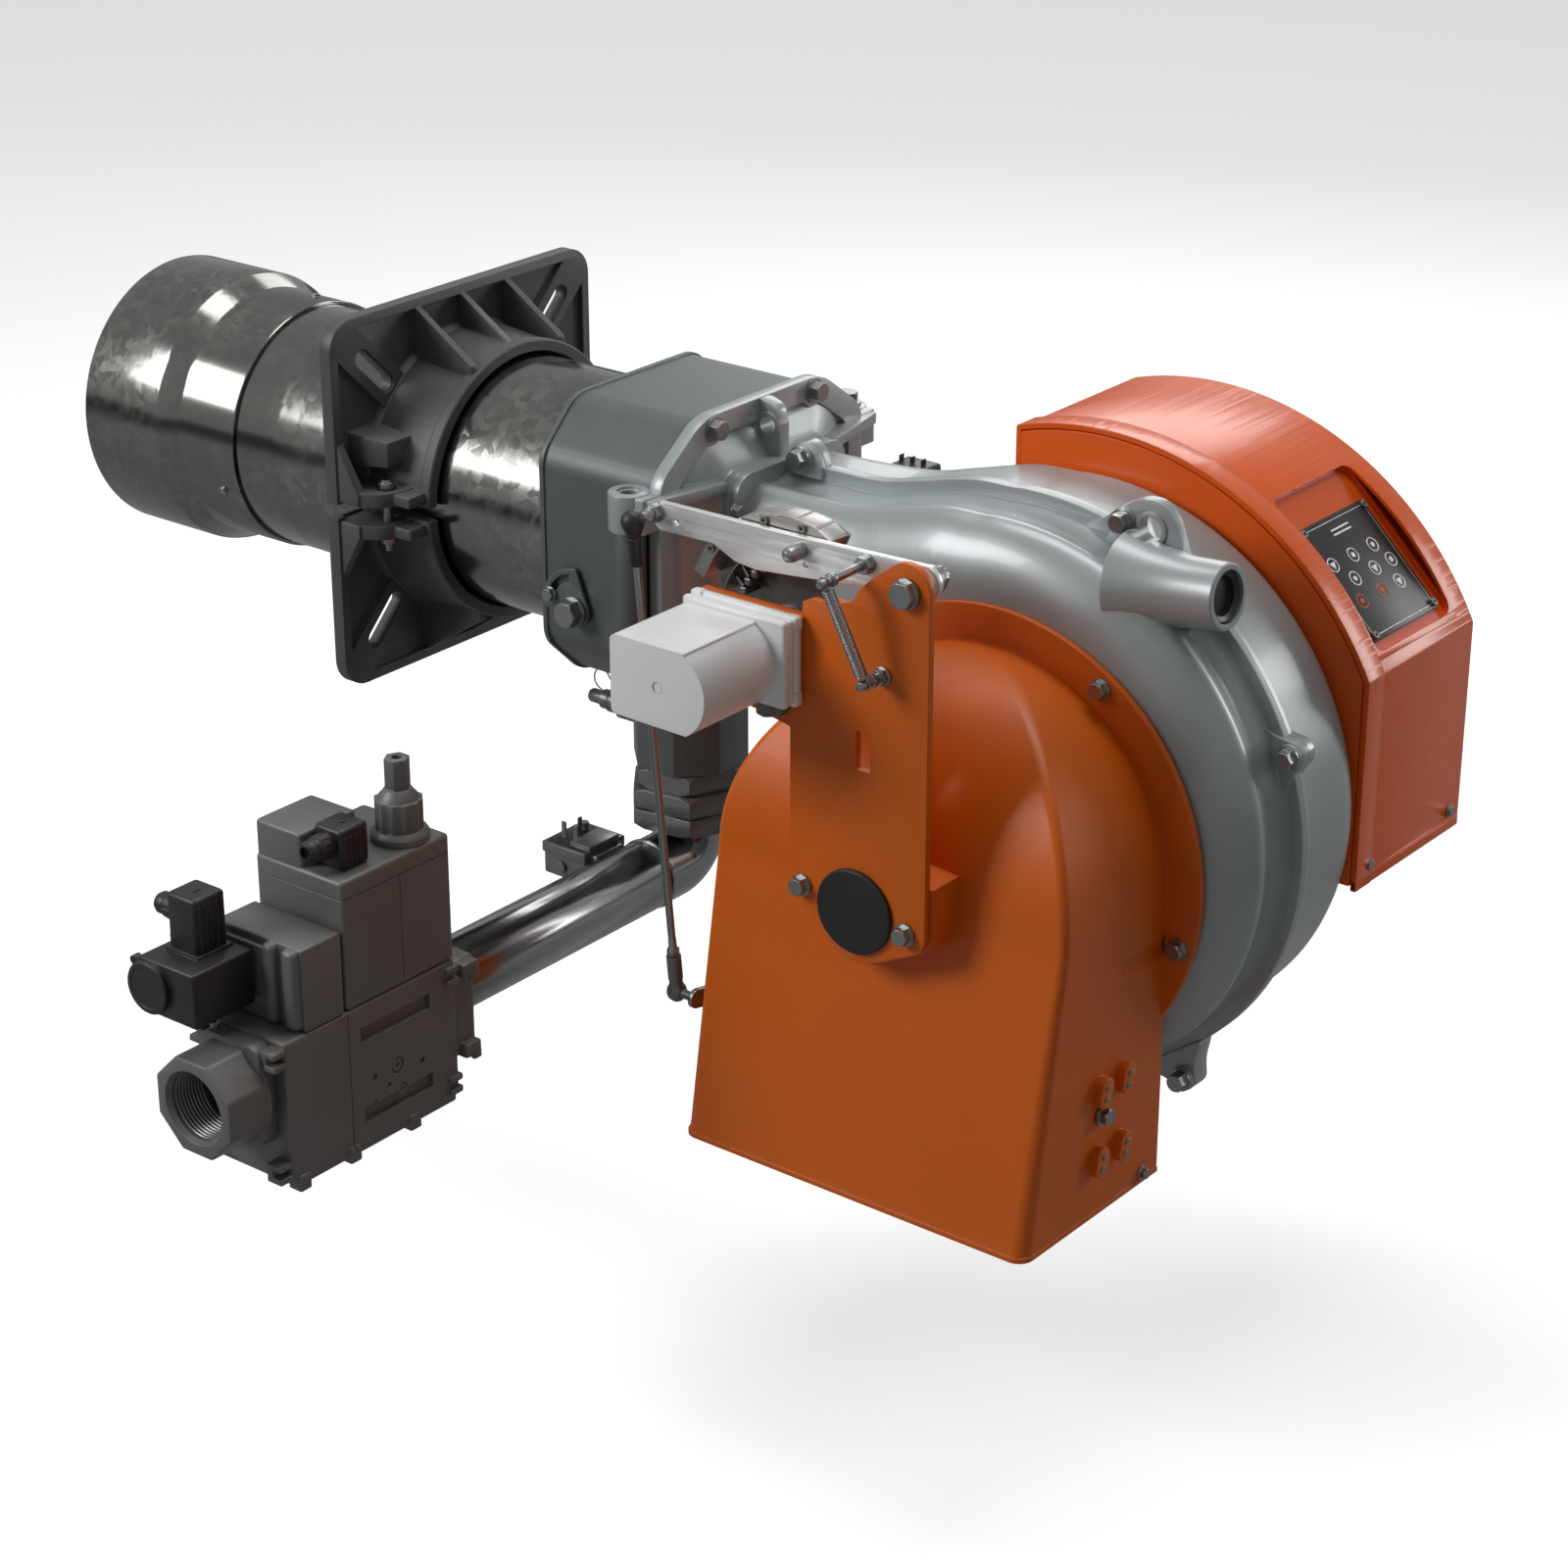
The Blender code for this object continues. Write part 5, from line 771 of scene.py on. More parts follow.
def tube_pieces():
    """Rolled galvanised tubes with rolled-in beads, a lap seam and spot-welded rivets."""
    inner = TUBE - 0.0025
    profile = [(TUBE, -0.235), (TUBE, -0.120), (TUBE + 0.0002, -0.1175), (TUBE, -0.115), (TUBE, 0.1997),
               (inner, 0.1997), (inner, -0.235)]
    show("blast_tube_skin", turned(profile, (0, 0, 0), (1, 0, 0), 128), "galvanised", "head", ["blast_tube"])
    sleeve = TUBE + GAP
    flame = 0.122
    outer = [(flame - 0.0012, -0.341), (flame, -0.340), (flame, -0.252), (flame - 0.0010, -0.2485),
             (sleeve + 0.0040, -0.2325), (sleeve + 0.0027, -0.229), (sleeve + 0.0027, -0.1665), (sleeve + 0.0020, -0.165)]
    inside = [(sleeve, -0.165), (sleeve, -0.2315), (flame - 0.0035, -0.2475), (flame - 0.0035, -0.3402),
              (flame - 0.0028, -0.341)]
    skin = turned(outer + inside, (0, 0, 0), (1, 0, 0), 128)
    show("flame_tube_skin", skin, "galvanised", "head", ["flame_tube"])
    rivets = []
    for degrees in (200, 80, 320):
        turn = math.radians(degrees)
        rivets.append(((-0.185, (sleeve + 0.0024) * math.cos(turn), (sleeve + 0.0024) * math.sin(turn)),
                       (0, math.cos(turn), math.sin(turn)), 0.007))
    bolts("flame_tube_screws", "bright_steel", "head", rivets, Height=0.35, Washer=0.55)


# Boiler flange

def flange_gusset(across, side, axis="Y"):
    outline = [(0.003, side * 0.154), (0.0105, side * 0.1555), (0.0125, side * 0.152), (0.074, side * 0.1125),
               (0.074, side * 0.085), (0.003, side * 0.085)]
    return plate([outline], axis, across - 0.0034, across + 0.0034, 0.0012, 2)


def clamp_ear(side):
    """The thick web that tapers from the plate's edge to the bolt ear, with a smaller ear by the hub."""
    big = [(0.002, -0.157), (0.030, -0.1575), (0.050, -0.148), (0.058, -0.132), (0.058, -0.112), (0.002, -0.100)]
    low, high = sorted((side * 0.008, side * 0.020))
    ear = plate([softened(big, 0.006, 4)], "Z", low, high, 0.0015, 2)
    web = plate([[(0.0, side * 0.008), (0.0, side * 0.062), (0.010, side * 0.060), (0.034, side * 0.019),
                  (0.034, side * 0.008)]], "Y", -0.158, -0.149, 0.0015, 2)
    small = box((0.052, -0.138, low + 0.001), (0.073, -0.110, high - side * 0.001 if side > 0 else high - 0.001), 0.0015, 2)
    return [ear, web, small]


def boiler_flange():
    plain = plate([rounded(0.160, 0.160, 0.025, 12)], "X", 0, 0.012, 0.0015, 2)
    pads = []
    recess = rounded(0.1515, 0.1515, 0.018, 8)
    pocket = plate([recess], "X", 0.0068, 0.030)
    for quarter in range(4):
        turn = math.radians(45 + 90 * quarter)
        along_pad = Vector((math.cos(turn), math.sin(turn)))
        across_pad = Vector((-along_pad.y, along_pad.x))
        corners = [along_pad * r + across_pad * w for r, w in ((0.10, -0.017), (0.24, -0.017), (0.24, 0.017), (0.10, 0.017))]
        pads.append(plate([[tuple(corner) for corner in corners]], "X", 0.001, 0.040))
    pocket = eased(combined(pocket, cuts=pads), 0.0022, 2, 50)
    base = combined(plain, cuts=[pocket])
    hub = turned(
        [(0.090, 0.002), (0.128, 0.002), (0.1265, 0.009), (0.1235, 0.013), (0.1190, 0.060), (0.1187, 0.066),
         (0.1205, 0.068), (0.1205, 0.0768), (0.1192, 0.078), (0.090, 0.078)],
        (0, 0, 0), (1, 0, 0), 128,
    )
    joins = [hub]
    joins += [flange_gusset(y, side) for side in (1, -1) for y in (-0.055, 0, 0.055)]
    joins += [flange_gusset(z, 1, "Z") for z in (-0.055, 0.055)]
    joins += clamp_ear(1) + clamp_ear(-1)
    boss = loft([[(0.003, -0.140, 0.034), (0.003, -0.140, 0.064), (0.003, -0.098, 0.064), (0.003, -0.098, 0.034)],
                 [(0.046, -0.133, 0.038), (0.046, -0.133, 0.060), (0.046, -0.098, 0.060), (0.046, -0.098, 0.038)]])
    joins.append(eased(boss, 0.0015, 2))
    bore = TUBE + 0.0005
    cuts = [
        rod((-0.01, 0, 0), (0.09, 0, 0), bore, sides=128),
        rod((0.066, 0, 0), (0.0785, 0, 0), bore, bore + 0.003, 128),
        box((-0.01, -0.17, -0.006), (0.09, -0.09, 0.006)),
        rod((0.042, -0.132, -0.03), (0.042, -0.132, 0.03), 0.0044, sides=32),
        rod((0.042, -0.132, 0.0185), (0.042, -0.132, 0.03), 0.0085, sides=32),
    ]
    for quarter in range(4):
        turn = math.radians(45 + 90 * quarter)
        ends = [(r * math.cos(turn), r * math.sin(turn)) for r in (0.136, 0.174)]
        slot = [plate([capsule(*ends, 0.007)], "X", -0.01, 0.02), plate([capsule(*ends, 0.0085)], "X", 0.0105, 0.02)]
        cuts += slot
    show("boiler_flange_casting", combined(base, joins, cuts), "flange_grey", "flange", ["mounting_flange"], 30)
    place = (0.042, -0.132)
    shapes = [rod((*place, -0.034), (*place, 0.019), 0.0039, sides=32, edge=0.0004),
              rod((*place, 0.0187), (*place, 0.0265), 0.0068, sides=48, edge=0.0008),
              rod((*place, 0.0262), (*place, 0.0280), 0.0045, sides=32, edge=0.0006),
              plate([polygon(place, 0.013)], "Z", -0.0273, -0.0203, 0.0006, 2)]
    show("clamp_screw", shapes, "bright_steel", "flange", ["clamp_bolt"])


# Head housing

def housing():
    lip = octagon(0.118, 0.120, 0.0755, 0.0795)
    skin = octagon(0.1165, 0.1185, 0.0745, 0.0785)
    inner = octagon(0.111, 0.113, 0.0725, 0.0765)
    shell = combined(plate([softened(lip, 0.012)], "X", 0.200, 0.2045, 0.0008, 2, 60),
                     [plate([softened(skin, 0.014)], "X", 0.202, 0.325, 0.0010, 2, 60)],
                     [plate([softened(inner, 0.012)], "X", 0.207, 0.34)])
    band = combined(plate([softened(lip, 0.012)], "X", 0.317, 0.325, 0.0008, 2, 60),
                    cuts=[plate([softened(inner, 0.012)], "X", 0.30, 0.34)])
    joins = [band]
    neck = eased(plate([polygon((GAS_X, 0), 0.094, 8, 22.5)], "Z", -0.208, -0.1165), 0.0015, 2)
    collar = rod((GAS_X, 0, -0.128), (GAS_X, 0, -0.1165), 0.052, 0.058, 64, 0.002)
    joins += [neck, collar]
    for side in (1, -1):
        y = side * 0.1395
        web = sorted((side * 0.115, y))
        joins.append(rod((0.3135, y, -0.090), (0.3135, y, 0.0457), 0.013, sides=64, edge=0.0012))
        joins.append(box((0.2955, web[0], -0.072), (0.3135, web[1], 0.036), 0.0012, 2))
    cuts = [
        rod((0.19, 0, 0), (0.21, 0, 0), 0.1055, sides=128),
        rod((GAS_X, 0, -0.22), (GAS_X, 0, -0.100), 0.030, sides=64),
    ]
    cuts += [rod((0.3135, side * 0.1395, -0.012), (0.3135, side * 0.1395, 0.06), 0.0064, sides=40) for side in (1, -1)]
    show("housing_casting", combined(shell, joins, cuts), "housing_grey", "head", ["head_housing"], 30)


def index_plate_piece():
    centre = (0.238, -0.045)
    outline = arc(centre, 0.035, 182, 88, 20) + arc(centre, 0.014, 30, -130, 14)
    slot = arc(centre, 0.0303, 101, 169, 16) + arc(centre, 0.0237, 169, 101, 16)
    leaf = plate([softened(outline, 0.004, 4), slot], "Y", -0.1213, -0.1184, 0.0006, 2)
    show("adjuster_plate", leaf, "housing_grey", "head_adjuster", ["index_plate"])
    lock = arc(centre, 0.027, 160, 160, 1)[0]
    bolts("adjuster_screws", "bright_steel", "head", [(along("Y", lock, -0.1216), (0, -1, 0), 0.010)],
          ["adjuster_lock_screw"], Height=0.5, Washer=0.62)


def hinge_bolt():
    heads = [((0.3135, 0.1395, 0.0788), (0, 0, 1), 0.018)]
    shank = rod((0.3135, 0.1395, -0.010), (0.3135, 0.1395, 0.0795), 0.006, sides=40, edge=0.0006)
    head = grown(HEX_HEADS, [heads[0][0]], [heads[0][1]], [heads[0][2]], Matrix.Identity(4),
                 Finish=FINISHES["bright_steel"], Height=0.5, Washer=0.68)
    show("hinge_bolt", [shank, head], "bright_steel", "head", ["hinge_pin"], 25)


# Transition casting

def wall_pocket(low, high, x):
    """A recess in the casting's closing face, round-cornered."""
    half = ((high[0] - low[0]) / 2, (high[1] - low[1]) / 2)
    middle = ((high[0] + low[0]) / 2, (high[1] + low[1]) / 2)
    return plate([rounded(*half, 0.010, 6, middle)], "X", x, x + 0.03, 0.0)


def transition_piece():
    rear, front = 0.3253, 0.337
    outline = octagon(0.130, 0.125, 0.075, 0.085)
    face = plate([softened(outline, 0.016)], "X", rear, front, 0.0016, 2, 60)
    inner = plate([softened(octagon(0.112, 0.107, 0.064, 0.074), 0.014)], "X", front - 0.0042, front + 0.02)
    keep = [rod((0.32, y, z), (0.36, y, z), 0.0135, sides=48) for y, z in ((-0.064, 0.114), (0.064, 0.114))]
    keep += [box((0.32, -0.009, 0.085), (0.36, 0.009, 0.13))]
    recess = eased(combined(inner, cuts=keep), 0.0018, 2, 50)
    taper_rings = []
    duct_rings = []
    for i in range(13):
        share = i / 12
        flow = blend_step(share, 0, 1)
        x = rear + 0.004 + (0.3497 - rear - 0.004) * share
        half_w = 0.106 + (0.070 - 0.106) * flow
        half_h = 0.108 + (0.080 - 0.108) * flow
        corner = 0.036 + (0.018 - 0.036) * flow
        taper_rings.append([(x, y, z) for y, z in rounded(half_w - 0.0015, half_h - 0.0015, corner)])
        duct_rings.append([(x, y, z) for y, z in rounded(half_w - 0.011, half_h - 0.013, corner - 0.006)])
    taper_rings.append([(0.3577, y, z) for y, z in rounded(0.0665, 0.0765, 0.018)])
    duct_rings.append([(0.368, y, z) for y, z in rounded(0.059, 0.065, 0.011)])
    duct_rings.insert(0, [(0.315, y, z) for y, z in rounded(0.096, 0.096, 0.030)])
    taper = loft(taper_rings)
    collar = plate([rounded(0.070, 0.080, 0.018)], "X", 0.3497, 0.3577, 0.0018, 3)
    ear = plate([softened([(0.334, 0.060), (0.334, 0.1245), (0.3405, 0.1245), (0.355, 0.120), (0.3575, 0.100),
                           (0.3575, 0.070)], 0.006, 4)], "Y", -0.006, 0.006, 0.0014, 2)
    eye = rod((0.346, -0.0072, 0.104), (0.346, 0.0072, 0.104), 0.0112, sides=48, edge=0.0008)
    joins = [taper, collar, ear, eye]
    cuts = [loft(duct_rings), rod((0.346, -0.02, 0.104), (0.346, 0.02, 0.104), 0.0075, sides=48)]
    for side in (1, -1):
        y = side * 0.1395
        joins.append(rod((0.3135, y, 0.0463), (0.3135, y, 0.0785), 0.0168, sides=64, edge=0.0018))
        web = sorted((side * 0.1225, side * 0.1490))
        joins.append(box((0.3137, web[0], 0.0475), (0.336, web[1], 0.0772), 0.0016, 2))
        brace = [(0.333, side * 0.147), (0.341, side * 0.145), (0.3565, side * 0.069), (0.333, side * 0.066)]
        joins.append(plate([brace], "Z", 0.066, 0.0755, 0.0014, 2))
        cuts.append(rod((0.3135, y, 0.04), (0.3135, y, 0.09), 0.0066, sides=40))
        cuts.append(rod((0.3135, y, 0.0765), (0.3135, y, 0.09), 0.0095, sides=40))
    piece = combined(combined(face, cuts=[recess]), joins, cuts)
    show("transition_shell", piece, "cast_aluminium", "burner_body", ["transition_casting"], 30)
    bolts("closing_bolts", "bright_steel", "burner_body", [
        ((front, y, 0.114), (1, 0, 0), 0.0145) for y in (-0.064, 0.064)
    ] + [((0.3663, side * 0.0735, z), (1, 0, 0), 0.009) for side in (1, -1) for z in (0.055,)])


# Fan scroll

def scroll_radius(angle):
    return 0.260 * math.exp(-0.00122 * ((98 - angle) % 360))


def spiral(inset, first, last, steps):
    points = []
    for i in range(steps + 1):
        angle = first + (last - first) * i / steps
        behind = 98 - angle
        radius = 0.260 * math.exp(-0.00122 * behind) - inset
        turn = math.radians(angle)
        points.append((FAN_X + radius * math.cos(turn), FAN_Z + radius * math.sin(turn)))
    return points


def casing_outline():
    """The rib line: along the neck's top, round the spiral and back under the neck."""
    top = [(0.30, 0.0795)] + curved([(0.30, 0.0795), (0.40, 0.0795), (0.455, 0.0805), (0.493, 0.0885), (0.545, 0.1005),
                                     (0.585, 0.1025)], 8)[8:]
    round_part = spiral(0, 97, -200, 150)
    end = round_part[-1]
    under = arc((end[0] - 0.020, end[1] - 0.001), 0.020, 8, 88, 6)
    under = [(x, z) for x, z in under]
    bottom = under[-1][1]
    return top + round_part + under + [(0.40, -0.0795), (0.30, -0.0795)] if bottom > -0.0795 else top + round_part + [
        (0.4500, -0.0795), (0.40, -0.0795), (0.30, -0.0795)]


def casing_form(outline, levels, deep, neck_deep):
    """A skin through the outline drawn in at each (depth, inset), sliced and made shallower along the neck."""
    shape = loft([[(x, y, z) for x, z in drawn_in(outline, inset)] for y, inset in levels])
    bm = bmesh.new()
    bm.from_mesh(shape.data)
    for i in range(NECK_SLICES + 1):
        x = NECK_START + (NECK_END - NECK_START) * i / NECK_SLICES
        parts = bm.verts[:] + bm.edges[:] + bm.faces[:]
        bmesh.ops.bisect_plane(bm, geom=parts, plane_co=(x, 0, 0), plane_no=(1, 0, 0))
    for vert in bm.verts:
        share = blend_step(vert.co.x, NECK_START, NECK_END)
        vert.co.y *= (neck_deep + (deep - neck_deep) * share) / deep
    bm.to_mesh(shape.data)
    bm.free()
    return shape


NEAR_PROFILE = ((0.000, 0.0095), (0.004, 0.0100), (0.012, 0.0130), (0.026, 0.0145), (0.033, 0.0142), (0.038, 0.0122),
                (0.043, 0.0112), (0.048, 0.0122), (0.054, 0.0160), (0.060, 0.0220), (0.066, 0.0310), (0.071, 0.0430),
                (0.0745, 0.0570), (0.0752, 0.0660))
FAR_PROFILE = ((0.000, 0.0095), (0.006, 0.0105), (0.020, 0.0110), (0.070, 0.0100), (0.082, 0.0105), (0.088, 0.0125),
               (0.092, 0.0160), (0.0945, 0.0210), (0.095, 0.0280))


NECK_START, NECK_END, NECK_SLICES = 0.36, 0.57, 14
CASING_WALL = 0.006


def behind_neck(end):
    return box((0.25, -0.2, -0.2), (end, 0.2, 0.2))


def casing_half(name, side, deep, neck_deep, profile, replaced):
    outline = casing_outline()
    past = 0.010
    levels = [(-side * past, profile[0][1])] + [(side * y, inset) for y, inset in profile]
    outer = combined(casing_form(outline, levels, deep, neck_deep), cuts=[behind_neck(0.3610)])
    levels = [(-side * 2 * past, profile[0][1] + CASING_WALL)]
    levels += [(side * y * (deep - CASING_WALL) / deep, inset + CASING_WALL) for y, inset in profile]
    hollow = casing_form(outline, levels, deep, neck_deep)
    rib = plate([outline], "Y", *sorted((-side * 0.007, side * 0.0055)), 0.0016, 3, 60)
    joins = [combined(rib, cuts=[behind_neck(0.3630)])]
    joins.append(plate([rounded(0.070, 0.080, 0.018)], "X", 0.358, 0.3655, 0.0018, 3))
    cuts = [hollow]
    cuts.append(plate([rounded(0.045, 0.058, 0.015)], "X", 0.34, 0.372))
    for x, z in ((0.383, 0.086), (0.687, 0.100), (0.839, -0.051), (0.761, -0.345)):
        if x < 0.4:
            pad = [(x - 0.016, 0.070), (x - 0.011, 0.092), (x, 0.0985), (x + 0.011, 0.092), (x + 0.022, 0.070)]
        else:
            out = (Vector((x, z)) - Vector((FAN_X, FAN_Z))).normalized()
            beside = Vector((-out.y, out.x))
            pad = [tuple(Vector((x, z)) + out * a + beside * b) for a, b in (
                (-0.022, -0.034), (-0.006, -0.016), (0.008, -0.008), (0.011, 0.0), (0.008, 0.008), (-0.006, 0.016),
                (-0.022, 0.034))]
        joins.append(plate([softened(pad, 0.008, 4)], "Y", *sorted((-side * 0.0065, side * 0.0090)), 0.0014, 2))
        if side < 0:
            joins.append(rod((x, -0.005, z), (x, -0.0125, z), 0.0100, sides=40, edge=0.001))
    if side < 0:
        ear = [(0.664, 0.060), (0.682, 0.108), (0.700, 0.1205), (0.720, 0.1205), (0.731, 0.109), (0.756, 0.040)]
        joins.append(plate([softened(ear, 0.010, 5)], "Y", -0.0100, 0.0065, 0.0012, 2))
        ring = combined(plate([circle((0.711, 0.098), 0.0135)], "Y", -0.0115, 0.006, 0.0008, 2))
        joins.append(ring)
        port = turned([(0, -0.085), (0.040, -0.085), (0.031, -0.060), (0.0265, -0.030), (0.0255, 0), (0.0245, 0.001),
                       (0, 0.001)], (0.789, -0.027, 0.068), (1, 0, 0.10), 64)
        joins.append(port)
        cuts += [rod((0.711, -0.03, 0.098), (0.711, 0.03, 0.098), 0.010, sides=48),
                 rod((0.770, -0.027, 0.066), (0.80, -0.027, 0.069), 0.0205, sides=48),
                 rod((FAN_X, -0.09, FAN_Z), (FAN_X, -0.05, FAN_Z), 0.125, sides=96)]
    else:
        cuts.append(rod((FAN_X, 0.07, FAN_Z), (FAN_X, 0.12, FAN_Z), 0.062, sides=64))
    low, high = sorted((side * GAP / 2, -side * 0.3))
    cuts.append(box((0.2, low, -0.6), (1.0, high, 0.3)))
    show(name, combined(outer, joins, cuts, "MANIFOLD"), "cast_aluminium", "burner_body", replaced, 28)


def scroll_pieces():
    casing_half("scroll_near_shell", -1, 0.0752, 0.066, NEAR_PROFILE, ["scroll_near_half"])
    casing_half("scroll_far_shell", 1, 0.095, 0.066, FAR_PROFILE, ["scroll_far_half"])
    bolts("scroll_bolts", "bright_steel", "burner_body", [
        ((x, -0.0125, z), (0, -1, 0), 0.0135) for x, z in ((0.383, 0.086), (0.687, 0.100), (0.839, -0.051), (0.761, -0.345))
    ])
    glass = [rod((0.7715, -0.027, 0.0665), (0.782, -0.027, 0.0675), 0.0202, sides=64, edge=0.001)]
    glass.append(turned([(0.0150, 0), (0.0200, 0), (0.0200, 0.0045), (0.0188, 0.0055), (0.0150, 0.0035)],
                        (0.7818, -0.027, 0.0675), (1, 0, 0.10), 64))
    show("sight_window", glass, "black_plastic", "burner_body", ["sight_glass"])

# Air intake hood

HOOD_LEFT, HOOD_RIGHT = 0.460, 0.783
HOOD_MID = (HOOD_LEFT + HOOD_RIGHT) / 2
HOOD_BOTTOM, HOOD_FRONT, HOOD_SHOULDER, HOOD_FOOT = -0.389, -0.258, -0.215, -0.0813
HOOD_BACK = -0.078
RING_BOLTS = (57, -13, 130, 197)
FOOT_BOLTS = ((FAN_X - 0.0495, -0.1435), (FAN_X + 0.0455, -0.1560))


def hood_section(z, half, front, corner, back):
    """A level section: flat flanks, rounded front corners and a flat front."""
    corner = min(corner, half * 0.98, (back - front) * 0.98)
    points = [(HOOD_MID - half, back)] + arc((HOOD_MID - half + corner, front + corner), corner, 180, 270, 12)
    points += arc((HOOD_MID + half - corner, front + corner), corner, 270, 360, 12) + [(HOOD_MID + half, back)]
    return [(x, y, z) for x, y in points]


def hood_form(inset, start, back, lip):
    """The hood from its lower edge over the dome, drawn in by an inset."""
    half = (HOOD_RIGHT - HOOD_LEFT) / 2 - inset
    rings = []
    for z, grow in ((start, lip), (HOOD_BOTTOM + 0.0036, lip), (HOOD_BOTTOM + 0.0042, 0)):
        rings.append(hood_section(z, half + grow, HOOD_FRONT + inset - grow, 0.013, back))
    for i in range(1, 25):
        share = i / 24
        z = HOOD_BOTTOM + (FAN_Z - HOOD_BOTTOM) * share
        front = HOOD_FRONT + (HOOD_SHOULDER - HOOD_FRONT) * share
        rings.append(hood_section(z, half, front + inset, 0.013 - 0.006 * share, back))
    for turn in [math.radians(2.5 * step) for step in range(1, 35)]:
        front = HOOD_FOOT + (HOOD_SHOULDER - HOOD_FOOT + inset) * math.cos(turn)
        rings.append(hood_section(FAN_Z + half * math.sin(turn), half * math.cos(turn), front, 0.007, back))
    return loft(rings)


def foot_line(grow):
    """The bracket's foot: round under the cap, with an ear for each bolt."""
    left, right = FOOT_BOLTS
    return (arc(left, 0.0120 + grow, 180, 236, 8) + arc((FAN_X, -0.151), 0.0415 + grow, 242, 298, 16)
            + arc(right, 0.0170 + grow, 304, 360, 8))


def hood_piece():
    outer, hollow = hood_form(0, HOOD_BOTTOM, HOOD_BACK, 0.0009), hood_form(0.003, HOOD_BOTTOM - 0.01, -0.060, 0)
    notches = [rod(along("Y", arc((FAN_X, FAN_Z), 0.1785, angle, angle, 1)[0], -0.14),
                   along("Y", arc((FAN_X, FAN_Z), 0.1785, angle, angle, 1)[0], HOOD_FOOT), 0.0145, sides=32)
               for angle in RING_BOLTS]
    boss = plate([foot_line(0.0025) + [(0.6860, -0.118), (0.5570, -0.108)]], "Y", -0.2437, -0.2050, 0.0018, 3, 40)
    skin = combined(outer, [boss], [hollow] + notches)
    ring_cut = [rod((FAN_X, -0.10, FAN_Z), (FAN_X, -0.06, FAN_Z), 0.155, sides=96),
                box((0.45, -0.12, -0.60), (0.80, -0.05, -0.3265))]
    ring = combined(plate([circle((FAN_X, FAN_Z), 0.1905, 160)], "Y", -0.0813, -0.0756, 0.0012, 2, 60), cuts=ring_cut)
    shapes = [skin, ring]
    sockets = ((-0.1636, -0.2830), (-0.1337, -0.2827), (-0.1655, -0.3408), (-0.1343, -0.3405))
    for y, z in sockets:
        ends = (y - 0.001, z - 0.0045), (y + 0.001, z + 0.0045)
        shapes.append(plate([capsule(*ends, 0.0078, 10)], "X", 0.776, 0.7905, 0.0018, 3, 60))
    show("hood_skin", shapes, "orange_paint", "burner_body", ["intake_hood"], 30)
    bolts("hood_side_screws", "bright_steel", "burner_body", [
        ((0.7903, y + shift * 0.2, z + shift), (1, 0, 0), 0.0046) for y, z in sockets for shift in (0.0048, -0.0048)
    ], tree=SOCKET_HEADS, Height=0.30, Socket=0.2)
    bolts("hood_bolts", "bright_steel", "burner_body", [
        (along("Y", arc((FAN_X, FAN_Z), 0.1785, angle, angle, 1)[0], HOOD_FOOT), (0, -1, 0), 0.0125) for angle in RING_BOLTS
    ] + [((0.783, -0.100, -0.3805), (1, 0, 0), 0.008)], Height=0.60)


# Motor and its shaft

def motor_pieces():
    barrel = [(0, 0.0953), (0.098, 0.0953), (0.098, 0.106), (0.0965, 0.1075), (0.084, 0.109), (0.0805, 0.113), (0.0805, 0.286),
              (0.0845, 0.289), (0.0845, 0.318), (0.083, 0.324), (0.078, 0.3285), (0.066, 0.332), (0.030, 0.334), (0, 0.334)]
    body = turned([(radius, y) for radius, y in barrel], (FAN_X, 0, FAN_Z), (0, 1, 0), 128)
    slots = []
    for ring_radius, count in ((0.030, 10), (0.046, 16), (0.061, 22)):
        for i in range(count):
            turn = 2 * math.pi * i / count
            c, s = math.cos(turn), math.sin(turn)
            slots.append(rod((FAN_X + ring_radius * c, 0.322, FAN_Z + ring_radius * s),
                             (FAN_X + ring_radius * c, 0.340, FAN_Z + ring_radius * s), 0.0034, sides=16))
    cutter = slots[0]
    for other in slots[1:]:
        bm = bmesh.new()
        bm.from_mesh(cutter.data)
        bm.from_mesh(other.data)
        bm.to_mesh(cutter.data)
        bm.free()
        bpy.data.objects.remove(other)
    body = combined(body, cuts=[cutter, rod((FAN_X, 0.08, FAN_Z), (FAN_X, 0.145, FAN_Z), 0.0125, sides=48)])
    fins = bar_ring((FAN_X, 0.198, FAN_Z), (0, 1, 0), 36, 0.0828, (0.0064, 0.0024, 0.170))
    terminal = box((FAN_X - 0.048, 0.140, FAN_Z + 0.072), (FAN_X + 0.048, 0.235, FAN_Z + 0.108), 0.004)
    lid = box((FAN_X - 0.0495, 0.1385, FAN_Z + 0.1045), (FAN_X + 0.0495, 0.2365, FAN_Z + 0.115), 0.003)
    show("motor_body", [body, fins, terminal, lid], "housing_grey", "burner_body", ["motor"])
    bolts("motor_bolts", "bright_steel", "burner_body", [
        (along("Y", arc((FAN_X, FAN_Z), 0.0905, angle, angle, 1)[0], 0.108), (0, 1, 0), 0.0115) for angle in (45, 135, 225, 315)
    ])


# Control cover

def cover_line(inset, bottom):
    centre, radius = (0.598, -0.149), 0.274 - inset
    left, right = 0.515 + inset, 0.843 - inset
    start = math.degrees(math.acos((right - centre[0]) / radius))
    end = math.degrees(math.acos((left - centre[0]) / radius))
    return [(right, bottom)] + arc(centre, radius, start, end, 96) + [(left, bottom)]


def on_slope(shape):
    """Sets a shape made over the origin on the cover's arch, where the panel is."""
    turn = Matrix.Rotation(math.radians(44.5), 4, "Y")
    shape.data.transform(Matrix.Translation((0.598, 0, -0.149)) @ turn)
    return shape


